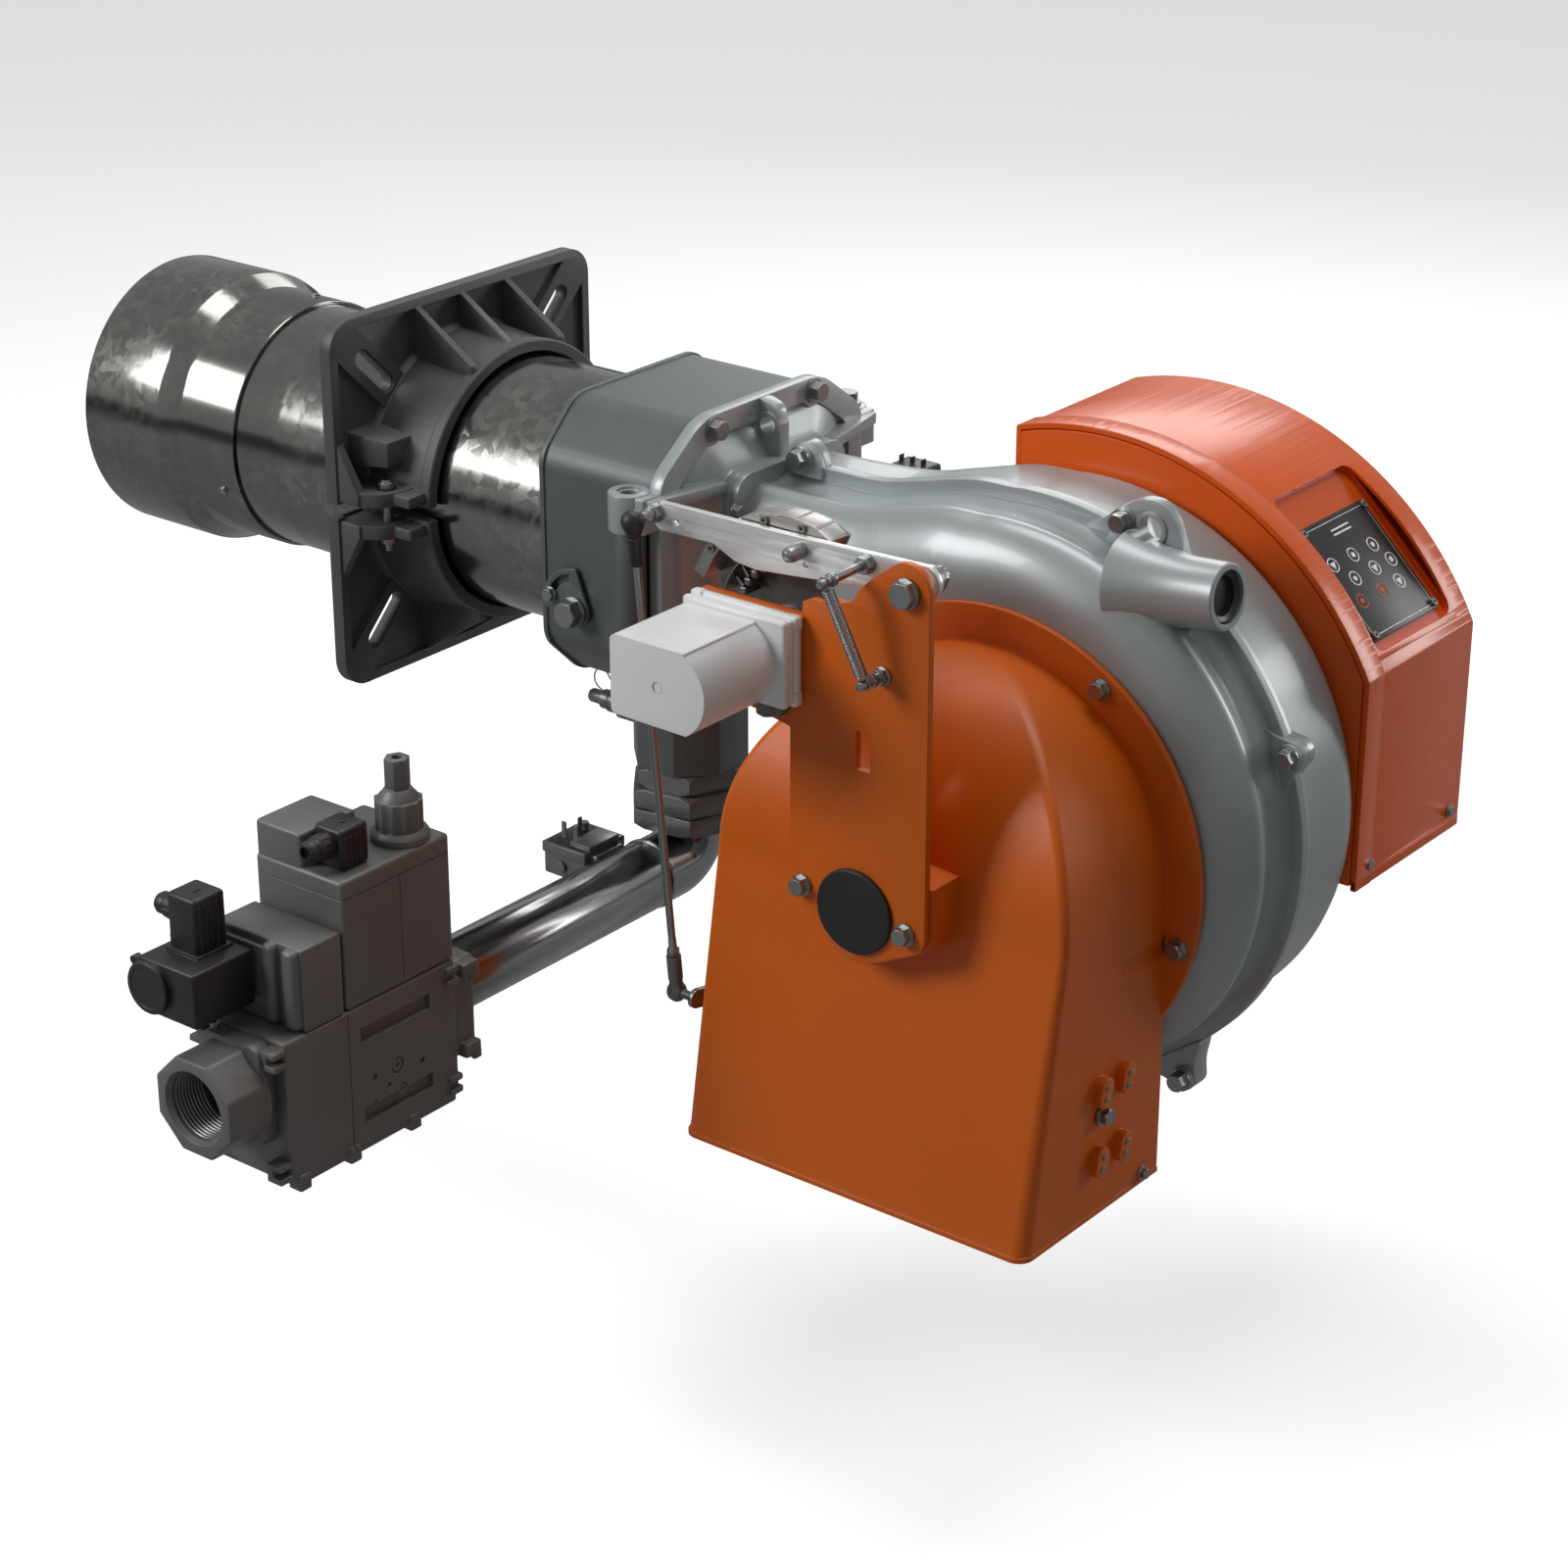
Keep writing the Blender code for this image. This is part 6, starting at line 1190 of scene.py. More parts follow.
def cover_pieces():
    line = cover_line(0.0018, -0.240)
    shell = plate([softened(line, 0.018, 6)], "Y", 0.085, 0.262)
    shell = eased(shell, 0.012, 5, 50)
    lip_line = cover_line(0.0, -0.240)
    lip = eased(plate([softened(lip_line, 0.018, 6)], "Y", 0.0965, 0.1200), 0.0035, 3, 50)
    shell = combined(shell, joins=[lip])
    cuts = [box((0.49, 0.0, -0.5), (0.87, 0.0965, 0.2)), box((0.49, 0, -0.5), (0.87, 0.3, -0.200)),
            plate([cover_line(0.0045, -0.300)], "Y", 0.08, 0.258)]
    shell = combined(shell, cuts=cuts)
    pocket_floor = on_slope(box((-0.076, 0.119, 0.2545), (0.078, 0.244, 0.262), 0.002, 2))
    pocket = on_slope(plate([rounded(0.0715, 0.0575, 0.010, 8, (0.001, 0.1815))], "Z", 0.2578, 0.31))
    notch = [rod((FAN_X, 0.23, FAN_Z), (FAN_X, 0.28, FAN_Z), 0.090, sides=96),
             box((FAN_X - 0.090, 0.23, -0.3), (FAN_X + 0.090, 0.28, FAN_Z))]
    shell = combined(shell, [pocket_floor], [pocket] + notch)
    ledge = plate([[(0.8385, -0.200), (0.8430, -0.200), (0.8430, -0.1915), (0.8385, -0.1905)]], "Y", 0.0965, 0.2595, 0.001, 2)
    shell = eased(shell, 0.0012, 2, 55)
    show("control_cover_shell", [shell, ledge], "orange_gloss", "burner_body", ["control_cover"], 32)
    face = on_slope(box((-0.040, 0.1320, 0.2582), (0.0635, 0.2312, 0.2608), 0.0010, 2))
    frame_line = plate([rounded(0.0480, 0.0460, 0.004, 6, (0.0118, 0.1816)), rounded(0.0474, 0.0454, 0.0035, 6, (0.0118, 0.1816))],
                       "Z", 0.2607, 0.2610)
    show("panel_face", [face], "black_plastic", "burner_body", ["display_panel"])
    marks = [on_slope(frame_line)]
    reds = []
    spots = [(-0.016, 0.164), (-0.004, 0.146), (-0.004, 0.176), (-0.004, 0.206), (0.013, 0.160), (0.013, 0.190), (0.013, 0.215),
             (0.031, 0.150), (0.031, 0.180), (0.031, 0.207)]
    for i, (u, y) in enumerate(spots[1:]):
        ring = plate([circle((u, y), 0.0064, 40), circle((u, y), 0.0054, 40)], "Z", 0.2607, 0.2610)
        dot = plate([polygon((u, y), 0.0042, (3, 4, 6, 20)[i % 4], 30 * i)], "Z", 0.2607, 0.2610)
        (reds if i in (6, 7) else marks).extend([on_slope(ring), on_slope(dot)])
    for row in range(2):
        marks.append(on_slope(box((-0.029 + 0.004 * row, 0.170, 0.2606), (-0.0275 + 0.004 * row, 0.196, 0.2609))))
    show("panel_marks", marks, "zinc_plate", "burner_body")
    show("panel_red_marks", reds, "orange_gloss", "burner_body")
    bolts("panel_screws", "dark_steel", "burner_body", [
        (on_slope_point(u, y, 0.2606), on_slope_direction(), 0.0062) for u in (-0.0355, 0.059) for y in (0.1362, 0.2268)
    ], tree=SOCKET_HEADS, Height=0.42)
    bolts("cover_screws", "bright_steel", "burner_body", [
        ((0.8412, y, -0.184), (1, 0, 0), 0.0085) for y in (0.118, 0.246)
    ], Height=0.3, Washer=0.6)
    base = plate([cover_line(0.0055, -0.196)], "Y", 0.0953, 0.1110)
    inner = [rod((FAN_X, 0.08, FAN_Z), (FAN_X, 0.12, FAN_Z), 0.0985, sides=96),
             box((FAN_X - 0.0985, 0.08, -0.3), (FAN_X + 0.0985, 0.12, FAN_Z))]
    base = eased(combined(base, cuts=inner), 0.0012, 2, 50)
    show("control_back_plate", base, "orange_gloss", "burner_body", ["control_base"])


def on_slope_direction():
    return Matrix.Rotation(math.radians(44.5), 4, "Y") @ Vector((0, 0, 1))


def on_slope_point(u, y, out):
    return Matrix.Translation((0.598, 0, -0.149)) @ Matrix.Rotation(math.radians(44.5), 4, "Y") @ Vector((u, y, out))


def pressure_switch():
    lower = box((0.388, 0.0663, 0.000), (0.446, 0.116, 0.030), 0.003)
    upper = box((0.390, 0.0675, 0.0295), (0.444, 0.1145, 0.050), 0.004)
    dial = rod((0.417, 0.1155, 0.020), (0.417, 0.1160, 0.020), 0.010, sides=40)
    cap = box((0.400, 0.078, 0.049), (0.434, 0.110, 0.060), 0.003)
    blades = [box((0.405 + 0.011 * i, 0.090, 0.059), (0.4055 + 0.011 * i, 0.0965, 0.066)) for i in range(3)]
    show("air_switch", [lower, upper, dial, cap] + blades, "black_plastic", "burner_body", ["air_pressure_switch"])


# Bracket and its fasteners

def bracket_pieces():
    back, front = -0.244, -0.250
    outline = foot_line(0)
    outline += [(0.6835, -0.10), (0.6835, 0.085)]
    outline += arc((PIVOT[0] - 0.0035, PIVOT[1] - 0.0015), 0.020, 0, 140, 16)
    outline += [(0.638, 0.116), (0.622, 0.101)] + arc((0.606, 0.101), 0.014, -20, -120, 10)
    outline += [(0.588, 0.0835), (0.580, 0.084), (0.5715, 0.080), (0.5705, 0.0695), (0.478, 0.0695), (0.478, -0.005),
                (0.560, -0.020)]
    window = softened([(0.620, -0.038), (0.633, -0.038), (0.633, -0.007), (0.620, -0.007)], 0.002, 3)
    holes = [window, circle(PIVOT, 0.0063), circle(SERVO, 0.0085)]
    plain = plate([outline] + holes, "Y", front, back, 0.0010, 2, 30)
    show("bracket_plate", plain, "orange_paint", "burner_body", ["linkage_bracket"], 25)
    centre = (FAN_X, -0.151)
    cap = turned([(0, -0.0003), (0.0335, -0.0003), (0.0335, 0.0028), (0.0325, 0.0040), (0.0300, 0.0044), (0, 0.0044)],
                 (centre[0], front, centre[1]), (0, -1, 0), 96)
    show("bracket_cap_piece", cap, "black_plastic", "burner_body", ["bracket_cap"], 20)
    bolts("bracket_bolts", "bright_steel", "burner_body", [
        (along("Y", place, front - 0.0002), (0, -1, 0), 0.0125) for place in FOOT_BOLTS
    ])
    bolts("pivot_head", "bright_steel", "burner_body", [((PIVOT[0] - 0.003, front - 0.0002, PIVOT[1] - 0.003), (0, -1, 0), 0.0185)],
          ["lever_pivot_bolt"], Height=0.42, Washer=0.62)
    sleeve = [rod((PIVOT[0], -0.244, PIVOT[1]), (PIVOT[0], -0.212, PIVOT[1]), 0.0060, sides=40, edge=0.0005),
              turned([(0, 0), (0.0105, 0), (0.0115, 0.001), (0.0115, 0.004), (0.0095, 0.005), (0, 0.005)],
                     (PIVOT[0], -0.2285, PIVOT[1]), (0, 1, 0), 64),
              plate([polygon(PIVOT, 0.017, 6, 12)], "Y", -0.2235, -0.2165, 0.0008, 2)]
    show("pivot_shank", sleeve, "bright_steel", "burner_body")

# Gas neck, nuts and pipes

def gas_pieces():
    for name, top, bottom, flats, node_name in (
        ("upper_nut", -0.2083, -0.226, 0.088, "union_nut_upper"), ("lower_nut", -0.2263, -0.262, 0.096, "union_nut_lower"),
    ):
        reach = flats / 2 / math.cos(math.pi / 6)
        nut = plate([polygon((GAS_X, 0), flats, 6, 8)], "Z", bottom, top)
        limit = turned([(0, bottom), (reach - 0.0045, bottom), (reach, bottom + 0.0035), (reach, top - 0.0035),
                        (reach - 0.0045, top), (0, top)], (GAS_X, 0, 0), (0, 0, 1), 96)
        trim = nut.modifiers.new("trim", "BOOLEAN")
        trim.operation = "INTERSECT"
        trim.object = limit
        nut = settled(nut)
        bpy.data.objects.remove(limit)
        grooves = []
        if bottom < -0.25:
            ring = [(0.0465, -0.2435), (0.0600, -0.2435), (0.0600, -0.2455), (0.0465, -0.2455)]
            grooves = [turned(ring, (GAS_X, 0, 0), (0, 0, 1), 96)]
        nut = combined(nut, cuts=[rod((GAS_X, 0, -0.3), (GAS_X, 0, -0.2), 0.0305, sides=64)] + grooves)
        show(name, eased(nut, 0.0006, 2, 30), "dark_steel", "head", [node_name], 25)
    top = -0.2623
    turn = top - 0.002
    centre = [(GAS_X, 0, top)]
    for i in range(25):
        angle = math.radians(90 * i / 24)
        centre.append((GAS_X, -0.033 + 0.033 * math.cos(angle), turn - 0.033 * math.sin(angle)))
    centre.append((GAS_X, -0.0600, turn - 0.033))
    elbow = wire(centre, 0.0296, 96)
    collar = turned([(0.0292, 0.0), (0.0310, 0.0008), (0.0310, 0.0030), (0.0292, 0.0042)], (GAS_X, -0.0602, PIPE_Z), (0, 1, 0), 96)
    show("elbow", [elbow, collar], "pipe_steel", "head", ["gas_elbow"], 50)
    pipe = turned([(0.0270, 0.0603), (0.0292, 0.0603), (0.0300, 0.0612), (0.0300, 0.3290), (0.0270, 0.3290)],
                  (GAS_X, 0, PIPE_Z), (0, -1, 0), 96)
    show("pipe", pipe, "pipe_steel", "head", ["gas_pipe"], 50)


def nipple_pieces():
    root = GAS_X - 0.0473
    for name, (y, z), node_name in (("upper_nipple", (-0.008, -0.176), "test_nipple_upper"),
                                    ("lower_nipple", (0.0135, -0.192), "test_nipple_lower")):
        profile = [(0, 0), (0.0072, 0), (0.0072, 0.010), (0.0060, 0.011), (0.0060, 0.013), (0.0086, 0.014), (0.0086, 0.030),
                   (0.0078, 0.031), (0.0078, 0.0325), (0.0086, 0.0335), (0.0086, 0.041), (0.0062, 0.043), (0.0062, 0.054),
                   (0.0052, 0.056), (0, 0.056)]
        hexagon = plate([polygon((y, z), 0.0165, 6, 15)], "X", root - 0.012, root - 0.002, 0.0008, 2)
        loop_start = Vector((root - 0.042, y, z + 0.007))
        loop = [(root - 0.013, y, z + 0.0075), tuple(loop_start), (root - 0.052, y, z + 0.014), (root - 0.050, y, z + 0.024),
                (root - 0.040, y, z + 0.026), (root - 0.032, y, z + 0.016), (root - 0.024, y, z + 0.009)]
        clip = wire(curved(loop, 8), 0.0007, 8)
        show(name, [turned(profile, (root, y, z), (-1, 0, 0), 48), hexagon, clip], "dark_steel", "head", [node_name])


def line_switch():
    """The small pressure switch that hangs on the pipe's side."""
    right = GAS_X - 0.0303
    low, high = (right - 0.050, -0.100, PIPE_Z - 0.006), (right - 0.004, -0.050, PIPE_Z + 0.0235)
    body = box(low, high, 0.0020)
    lid = box((low[0] - 0.0012, low[1] - 0.0012, high[2] - 0.010), (high[0] + 0.0012, high[1] + 0.0012, high[2]), 0.0016, 2)
    saddle = box((right - 0.012, -0.093, PIPE_Z - 0.003), (right + 0.004, -0.057, PIPE_Z + 0.020), 0.002)
    step = box((right - 0.026, -0.094, high[2] - 0.001), (right - 0.003, -0.056, high[2] + 0.0035), 0.0012, 2)
    knob = rod((right - 0.030, -0.1010, PIPE_Z + 0.004), (right - 0.030, -0.1030, PIPE_Z + 0.004), 0.0055, sides=40, edge=0.0005)
    pins = [box((x, -0.0850, high[2] - 0.001), (x + 0.0050, -0.0836, high[2] + 0.0145), 0.0003, 1) for x in (0.184, 0.197)]
    pins.append(box((0.1905, -0.0720, high[2] - 0.001), (0.1919, -0.0670, high[2] + 0.0145), 0.0003, 1))
    pins.append(rod((0.1880, -0.0600, high[2] - 0.001), (0.1880, -0.0600, high[2] + 0.006), 0.004, sides=24))
    show("line_pressure_switch", [body, lid, saddle, step, knob] + pins, "dark_steel", "head", ["gas_pressure_switch"])


# Gas valve

LEFT, RIGHT = 0.211, 0.302


def slotted_lug(x, y, z):
    """A C-shaped lug that takes a flange screw."""
    line = [(-0.0075, -0.008), (0.0075, -0.008), (0.0075, -0.0028), (-0.0015, -0.0028), (-0.0015, 0.0028), (0.0075, 0.0028),
            (0.0075, 0.008), (-0.0075, 0.008)]
    side = 1 if x > GAS_X else -1
    return plate([[(x + side * u, z + v) for u, v in line]], "Y", y - 0.0065, y + 0.0065, 0.0010, 2)


def valve_pieces():
    front, rear = -0.526, -0.342
    block = box((LEFT, front, -0.370), (RIGHT, rear, -0.2515), 0.0035)
    cuts = []
    for z in (-0.283, -0.352):
        cuts.append(box((RIGHT - 0.006, -0.448, z), (RIGHT + 0.01, -0.372, z + 0.013), 0.0012, 2))
        cuts.append(box((LEFT - 0.01, -0.448, z), (LEFT + 0.006, -0.372, z + 0.013), 0.0012, 2))
    for x, low, high in ((RIGHT, 0, 0.002), (LEFT, -0.002, 0)):
        cuts.append(box((x - 0.0010, -0.4612, -0.3705), (x + 0.002, -0.4600, -0.2510)) if x == RIGHT
                    else box((x - 0.002, -0.4612, -0.3705), (x + 0.0010, -0.4600, -0.2510)))
    for y, z, radius in ((-0.4100, -0.3170, 0.0068), (-0.4060, -0.3400, 0.0060), (-0.4350, -0.3170, 0.0028),
                         (-0.3830, -0.3240, 0.0028), (-0.4360, -0.3390, 0.0030), (-0.3860, -0.3440, 0.0026),
                         (-0.4200, -0.3300, 0.0022)):
        cuts.append(rod((RIGHT - 0.0022, y, z), (RIGHT + 0.004, y, z), radius, sides=32))
    cuts += [rod((GAS_X, front - 0.01, PIPE_Z), (GAS_X, front + 0.035, PIPE_Z), 0.0275, sides=64),
             rod((GAS_X, rear - 0.035, PIPE_Z), (GAS_X, rear + 0.01, PIPE_Z), 0.027, sides=64)]
    joins = [box((LEFT + 0.004, front + 0.004, -0.3755), (RIGHT - 0.0005, rear - 0.004, -0.366), 0.002, 2)]
    joins += [box((RIGHT - 0.012, y, -0.3800), (RIGHT + 0.0015, y + 0.012, -0.366), 0.0015, 2) for y in (-0.520, -0.466, -0.400)]
    joins += [slotted_lug(x, front - 0.0060, z) for x in (LEFT + 0.0075, RIGHT - 0.0075) for z in (-0.3590, -0.2640)]
    joins += [slotted_lug(x, rear - 0.0070, z) for x in (RIGHT - 0.0035,) for z in (-0.3590, -0.2640)]
    show("valve_block", combined(block, joins, cuts), "valve_grey", "head", ["valve_body"], 30)
    screws = [((RIGHT - 0.0022, -0.4100, -0.3170), (1, 0, 0), 0.0105), ((RIGHT - 0.0022, -0.4060, -0.3400), (1, 0, 0), 0.0090)]
    bolts("valve_side_screws", "dark_steel", "head", screws, tree=SOCKET_HEADS, Height=0.15)
    outlet = box((LEFT + 0.003, rear + GAP, PIPE_Z - 0.044), (RIGHT - 0.003, -0.318, PIPE_Z + 0.040), 0.004)
    neck = rod((GAS_X, -0.330, PIPE_Z), (GAS_X, -0.3155, PIPE_Z), 0.0365, 0.0340, 64, 0.0015)
    hooks = []
    for z in (-0.044, 0.026):
        hooks.append(box((RIGHT - 0.010, rear + 0.004, PIPE_Z + z), (RIGHT + 0.0045, -0.3205, PIPE_Z + z + 0.012), 0.0018, 2))
        hooks.append(box((RIGHT - 0.0005, rear + 0.013, PIPE_Z + z - 0.004), (RIGHT + 0.0045, -0.3205, PIPE_Z + z + 0.004), 0.0012, 2))
    outlet = combined(outlet, [neck] + hooks, [rod((GAS_X, rear - 0.01, PIPE_Z), (GAS_X, -0.30, PIPE_Z), 0.0303, sides=64)])
    show("valve_outlet", outlet, "valve_grey", "head", ["valve_outlet_flange"], 30)
    seat = plate([rounded(0.0320, 0.0430, 0.012, 8, (GAS_X, PIPE_Z))], "Y", -0.5415, front - GAP, 0.0016, 2)
    drum = eased(plate([polygon((GAS_X, PIPE_Z), 0.078, 8, 22.5)], "Y", -0.580, -0.5390), 0.0022, 3, 30)
    ring = rod((GAS_X, -0.5475, PIPE_Z), (GAS_X, -0.5380, PIPE_Z), 0.0360, 0.0400, 64)
    inlet = combined(seat, [drum, ring], [rod((GAS_X, -0.60, PIPE_Z), (GAS_X, -0.52, PIPE_Z), 0.0275, sides=96),
                                          rod((GAS_X, -0.5815, PIPE_Z), (GAS_X, -0.5755, PIPE_Z), 0.0310, 0.0275, 96)])
    show("valve_inlet", inlet, "valve_grey", "head", ["valve_inlet_flange"], 30)
    threads = []
    for i in range(9):
        y = -0.5730 + 0.0032 * i
        threads.append(turned([(0.0274, 0.0), (0.0262, 0.0011), (0.0274, 0.0022)], (GAS_X, y, PIPE_Z), (0, 1, 0), 64))
    show("inlet_thread", threads, "dark_steel", "head")
    bolts("valve_top_plugs", "bright_steel", "head", [((0.236, -0.534, -0.2545), (0, 0, 1), 0.008)], tree=SOCKET_HEADS,
          Height=0.5)


def coil_pieces():
    seat = -0.2512
    case = box((LEFT, -0.460, seat), (RIGHT, -0.343, -0.1445), 0.0035)
    raised = box((LEFT + 0.001, -0.4588, -0.156), (0.2600, -0.3995, -0.1165), 0.0030)
    seam = [box((RIGHT - 0.0012, -0.465, -0.1600), (RIGHT + 0.002, -0.340, -0.1590)),
            box((LEFT - 0.002, -0.465, -0.1600), (LEFT + 0.0012, -0.340, -0.1590)),
            box((LEFT - 0.002, -0.4615, -0.1600), (RIGHT + 0.002, -0.4588, -0.1590)),
            box((RIGHT - 0.0012, -0.3990, -0.2520), (RIGHT + 0.002, -0.3980, -0.1600))]
    show("main_coil_case", combined(case, [raised], seam), "valve_grey", "head", ["main_coil"], 30)
    small = box((LEFT, -0.5040, seat), (RIGHT, -0.463, -0.183), 0.0022, 3)
    bands = [box((x, -0.5112, seat + 0.001), (x + wide, -0.4900, -0.1840), 0.0050, 4)
             for x, wide in ((RIGHT - 0.0170, 0.0140), (RIGHT - 0.0370, 0.0120))]
    ledge = box((LEFT + 0.002, -0.5075, seat), (RIGHT - 0.0350, -0.4950, -0.1900), 0.0025, 2)
    show("front_coil_case", combined(small, bands + [ledge]), "valve_grey", "head", ["front_coil"], 35)
    place = (0.278, -0.372)
    ring_seat = -0.1442
    base = turned([(0, 0), (0.0230, 0), (0.0230, 0.005), (0.0215, 0.0075), (0.0200, 0.009), (0, 0.009)], (*place, ring_seat), (0, 0, 1), 64)
    lobes = []
    for i in range(72):
        turn = 2 * math.pi * i / 72
        radius = 0.0182 + 0.0009 * math.cos(turn * 12)
        lobes.append((place[0] + radius * math.cos(turn), place[1] + radius * math.sin(turn)))
    drum = plate([lobes], "Z", ring_seat + 0.008, ring_seat + 0.0330, 0.0012, 2, 60)
    cone = rod((*place, ring_seat + 0.0325), (*place, ring_seat + 0.0415), 0.0168, 0.0105, 48, 0.0008)
    cap = combined(eased(plate([polygon(place, 0.018)], "Z", ring_seat + 0.040, -0.078), 0.0008, 2, 30),
                   cuts=[rod((*place, -0.084), (*place, -0.070), 0.0040, sides=32)])
    show("regulator", [base, drum, cone, cap], "valve_grey", "head", ["pressure_regulator"], 30)


def plug(name, low, high, gland, gland_axis, replaced):
    """A black square connector with a chamfered top, ribs, a screw and a cable gland."""
    body = box(low, high, 0.0035, 3)
    ribs = []
    for i in range(5):
        y = low[1] + 0.004 + i * (high[1] - low[1] - 0.008) / 4
        ribs.append(box((high[0] - 0.001, y - 0.0009, low[2] + 0.003), (high[0] + 0.0011, y + 0.0009, high[2] - 0.006), 0.0004, 1))
    screw_top = rod(((low[0] + high[0]) / 2, (low[1] + high[1]) / 2, high[2] - 0.001),
                    ((low[0] + high[0]) / 2, (low[1] + high[1]) / 2, high[2] + 0.0012), 0.0038, sides=32, edge=0.0004)
    start, direction = Vector(gland), Vector(gland_axis)
    profile = [(0, -0.004), (0.0085, -0.004), (0.0085, 0.003), (0.0098, 0.004), (0.0098, 0.012), (0.0090, 0.013),
               (0.0085, 0.0145), (0.0088, 0.016), (0.0088, 0.0205), (0.0070, 0.0235), (0.0050, 0.0240), (0.0048, 0.020), (0, 0.020)]
    nut = turned(profile, start, direction, 48)
    ridges = bar_ring(start + direction * 0.008, direction, 12, 0.0096, (0.0012, 0.0018, 0.0075))
    show(name, [body, screw_top, nut, ridges] + ribs, "black_plastic", "head", replaced, 35)


def plug_pieces():
    plug("coil_connector", (0.2608, -0.4460, -0.1442), (0.2900, -0.4165, -0.1110), (0.2755, -0.4455, -0.1242), (0, -1, 0),
         ["main_coil_plug"])
    plug("small_coil_connector", (0.2094, -0.5497, -0.1907), (0.2404, -0.5187, -0.1440), (0.2090, -0.5340, -0.1650), (-1, 0, 0),
         ["front_coil_plug"])
    left, right, front, rear, low, top = 0.187, 0.258, -0.5718, -0.5115, -0.2360, -0.1910
    case = box((left + 0.012, front, low), (right, rear, top), 0.0022)
    carrier = box((left, rear - 0.018, low + 0.002), (left + 0.030, rear - 0.002, top - 0.001), 0.0016, 2)
    dial = turned([(0, -0.001), (0.0200, -0.001), (0.0210, 0.000), (0.0210, 0.0036), (0.0200, 0.0048), (0.0165, 0.0050),
                   (0.0160, 0.0044), (0, 0.0044)], (0.211, front, -0.2135), (0, -1, 0), 64)
    drum = rod((0.211, front + 0.001, -0.2135), (0.211, rear - 0.004, -0.2135), 0.0198, sides=64, edge=0.001)
    seat = box((0.2070, -0.5520, top - 0.001), (0.2430, -0.5160, top + 0.0028), 0.0012, 2)
    ears = [plate([capsule((0.211 + dx, -0.2135 + dz), (0.211 + dx * 1.25, -0.2135 + dz * 1.25), 0.0036, 8)], "Y",
                  front + 0.002, front + 0.009, 0.0006, 1) for dx, dz in ((-0.016, 0.012), (-0.016, -0.012))]
    show("ratio_switch", [case, carrier, dial, drum, seat] + ears, "black_plastic", "head", ["air_gas_ratio_switch"], 35)


# Combustion head

def head_pieces():
    turn_ring = turned([(0.0250, -0.228), (0.0250, 0.262), (0.0225, 0.262), (0.0225, -0.228)], (0, 0, 0), (1, 0, 0), 96)
    bracket = [box((0.192, -0.0415, -0.026), (0.212, -0.0225, -0.006), 0.001, 2),
               box((0.192, -0.0415, -0.026), (0.246, -0.0375, -0.006), 0.001, 2)]
    jets = []
    for i in range(12):
        angle = 2 * math.pi * i / 12
        c, s = math.cos(angle), math.sin(angle)
        jets.append(rod((-0.212, 0.020 * c, 0.020 * s), (-0.212, 0.030 * c, 0.030 * s), 0.0022, sides=16))
    cutter = jets[0]
    bm = bmesh.new()
    for jet in jets:
        bm.from_mesh(jet.data)
    bm.to_mesh(cutter.data)
    bm.free()
    for jet in jets[1:]:
        bpy.data.objects.remove(jet)
    nose = turned([(0, 0), (0.0226, 0), (0.0226, 0.004), (0.0180, 0.006), (0, 0.006)], (-0.2225, 0, 0), (-1, 0, 0), 64)
    show("lance_tube", [combined(turn_ring, bracket, [cutter]), nose], "brushed_steel", "combustion_head", ["gas_lance"])
    outline = circle((0, 0), 0.072, 96)
    holes = [circle((0, 0), 0.0254, 64)] + [circle((y, 0.036), 0.0044, 24) for y in (-0.036, 0.036)]
    blades = []
    for i in range(8):
        angle = math.radians(22.5 + 45 * i)
        ends = [(r * math.cos(angle), r * math.sin(angle)) for r in (0.036, 0.064)]
        holes.append(capsule(*ends, 0.0032, 8))
        vane = box((-0.0035, -0.0030, 0.034), (-0.0027, 0.0085, 0.066))
        vane.data.transform(Matrix.Translation((-0.2215, 0, 0)) @ Matrix.Rotation(angle - math.pi / 2, 4, "X")
                            @ Matrix.Rotation(0.5, 4, "Z"))
        blades.append(vane)
    rim = turned([(0.0715, -0.2215), (0.0728, -0.2215), (0.0728, -0.2300), (0.0715, -0.2300)], (0, 0, 0), (1, 0, 0), 96)
    show("diffuser", [plate([outline] + holes, "X", -0.2255, -0.2225), rim] + blades, "brushed_steel", "combustion_head",
         ["diffuser_disc"])
    for name, y, tip, replaced in (("spark_electrode", 0.036, -0.242, "ignition_electrode"), ("flame_rod", -0.036, -0.268, "flame_probe")):
        profile = [(0, 0.080), (0.0035, 0.080), (0.0035, 0.084), (0.0040, 0.085), (0.0040, 0.150), (0.0034, 0.151), (0.0034, 0.153),
                   (0.0040, 0.154), (0.0040, 0.228), (0.0030, 0.232), (0.0014, 0.233)]
        profile += [(0.0014, -tip - 0.001), (0.0008, -tip), (0, -tip)]
        show(name, turned(profile, (0, y, 0.036), (-1, 0, 0), 32), "ceramic", "combustion_head", [replaced])


def manifold_piece():
    upright = turned([(0.024, -0.1980), (0.0297, -0.1980), (0.0297, -0.052), (0.0330, -0.040), (0.0330, -0.0100), (0.024, -0.0100)],
                     (GAS_X, 0, 0), (0, 0, 1), 64)
    barrel = turned([(0.0255, 0.222), (0.0350, 0.222), (0.0360, 0.2235), (0.0360, 0.2985), (0.0350, 0.300), (0.0255, 0.300)],
                    (0, 0, 0), (1, 0, 0), 64)
    show("manifold", [upright, barrel], "cast_aluminium", "head", ["gas_manifold"])


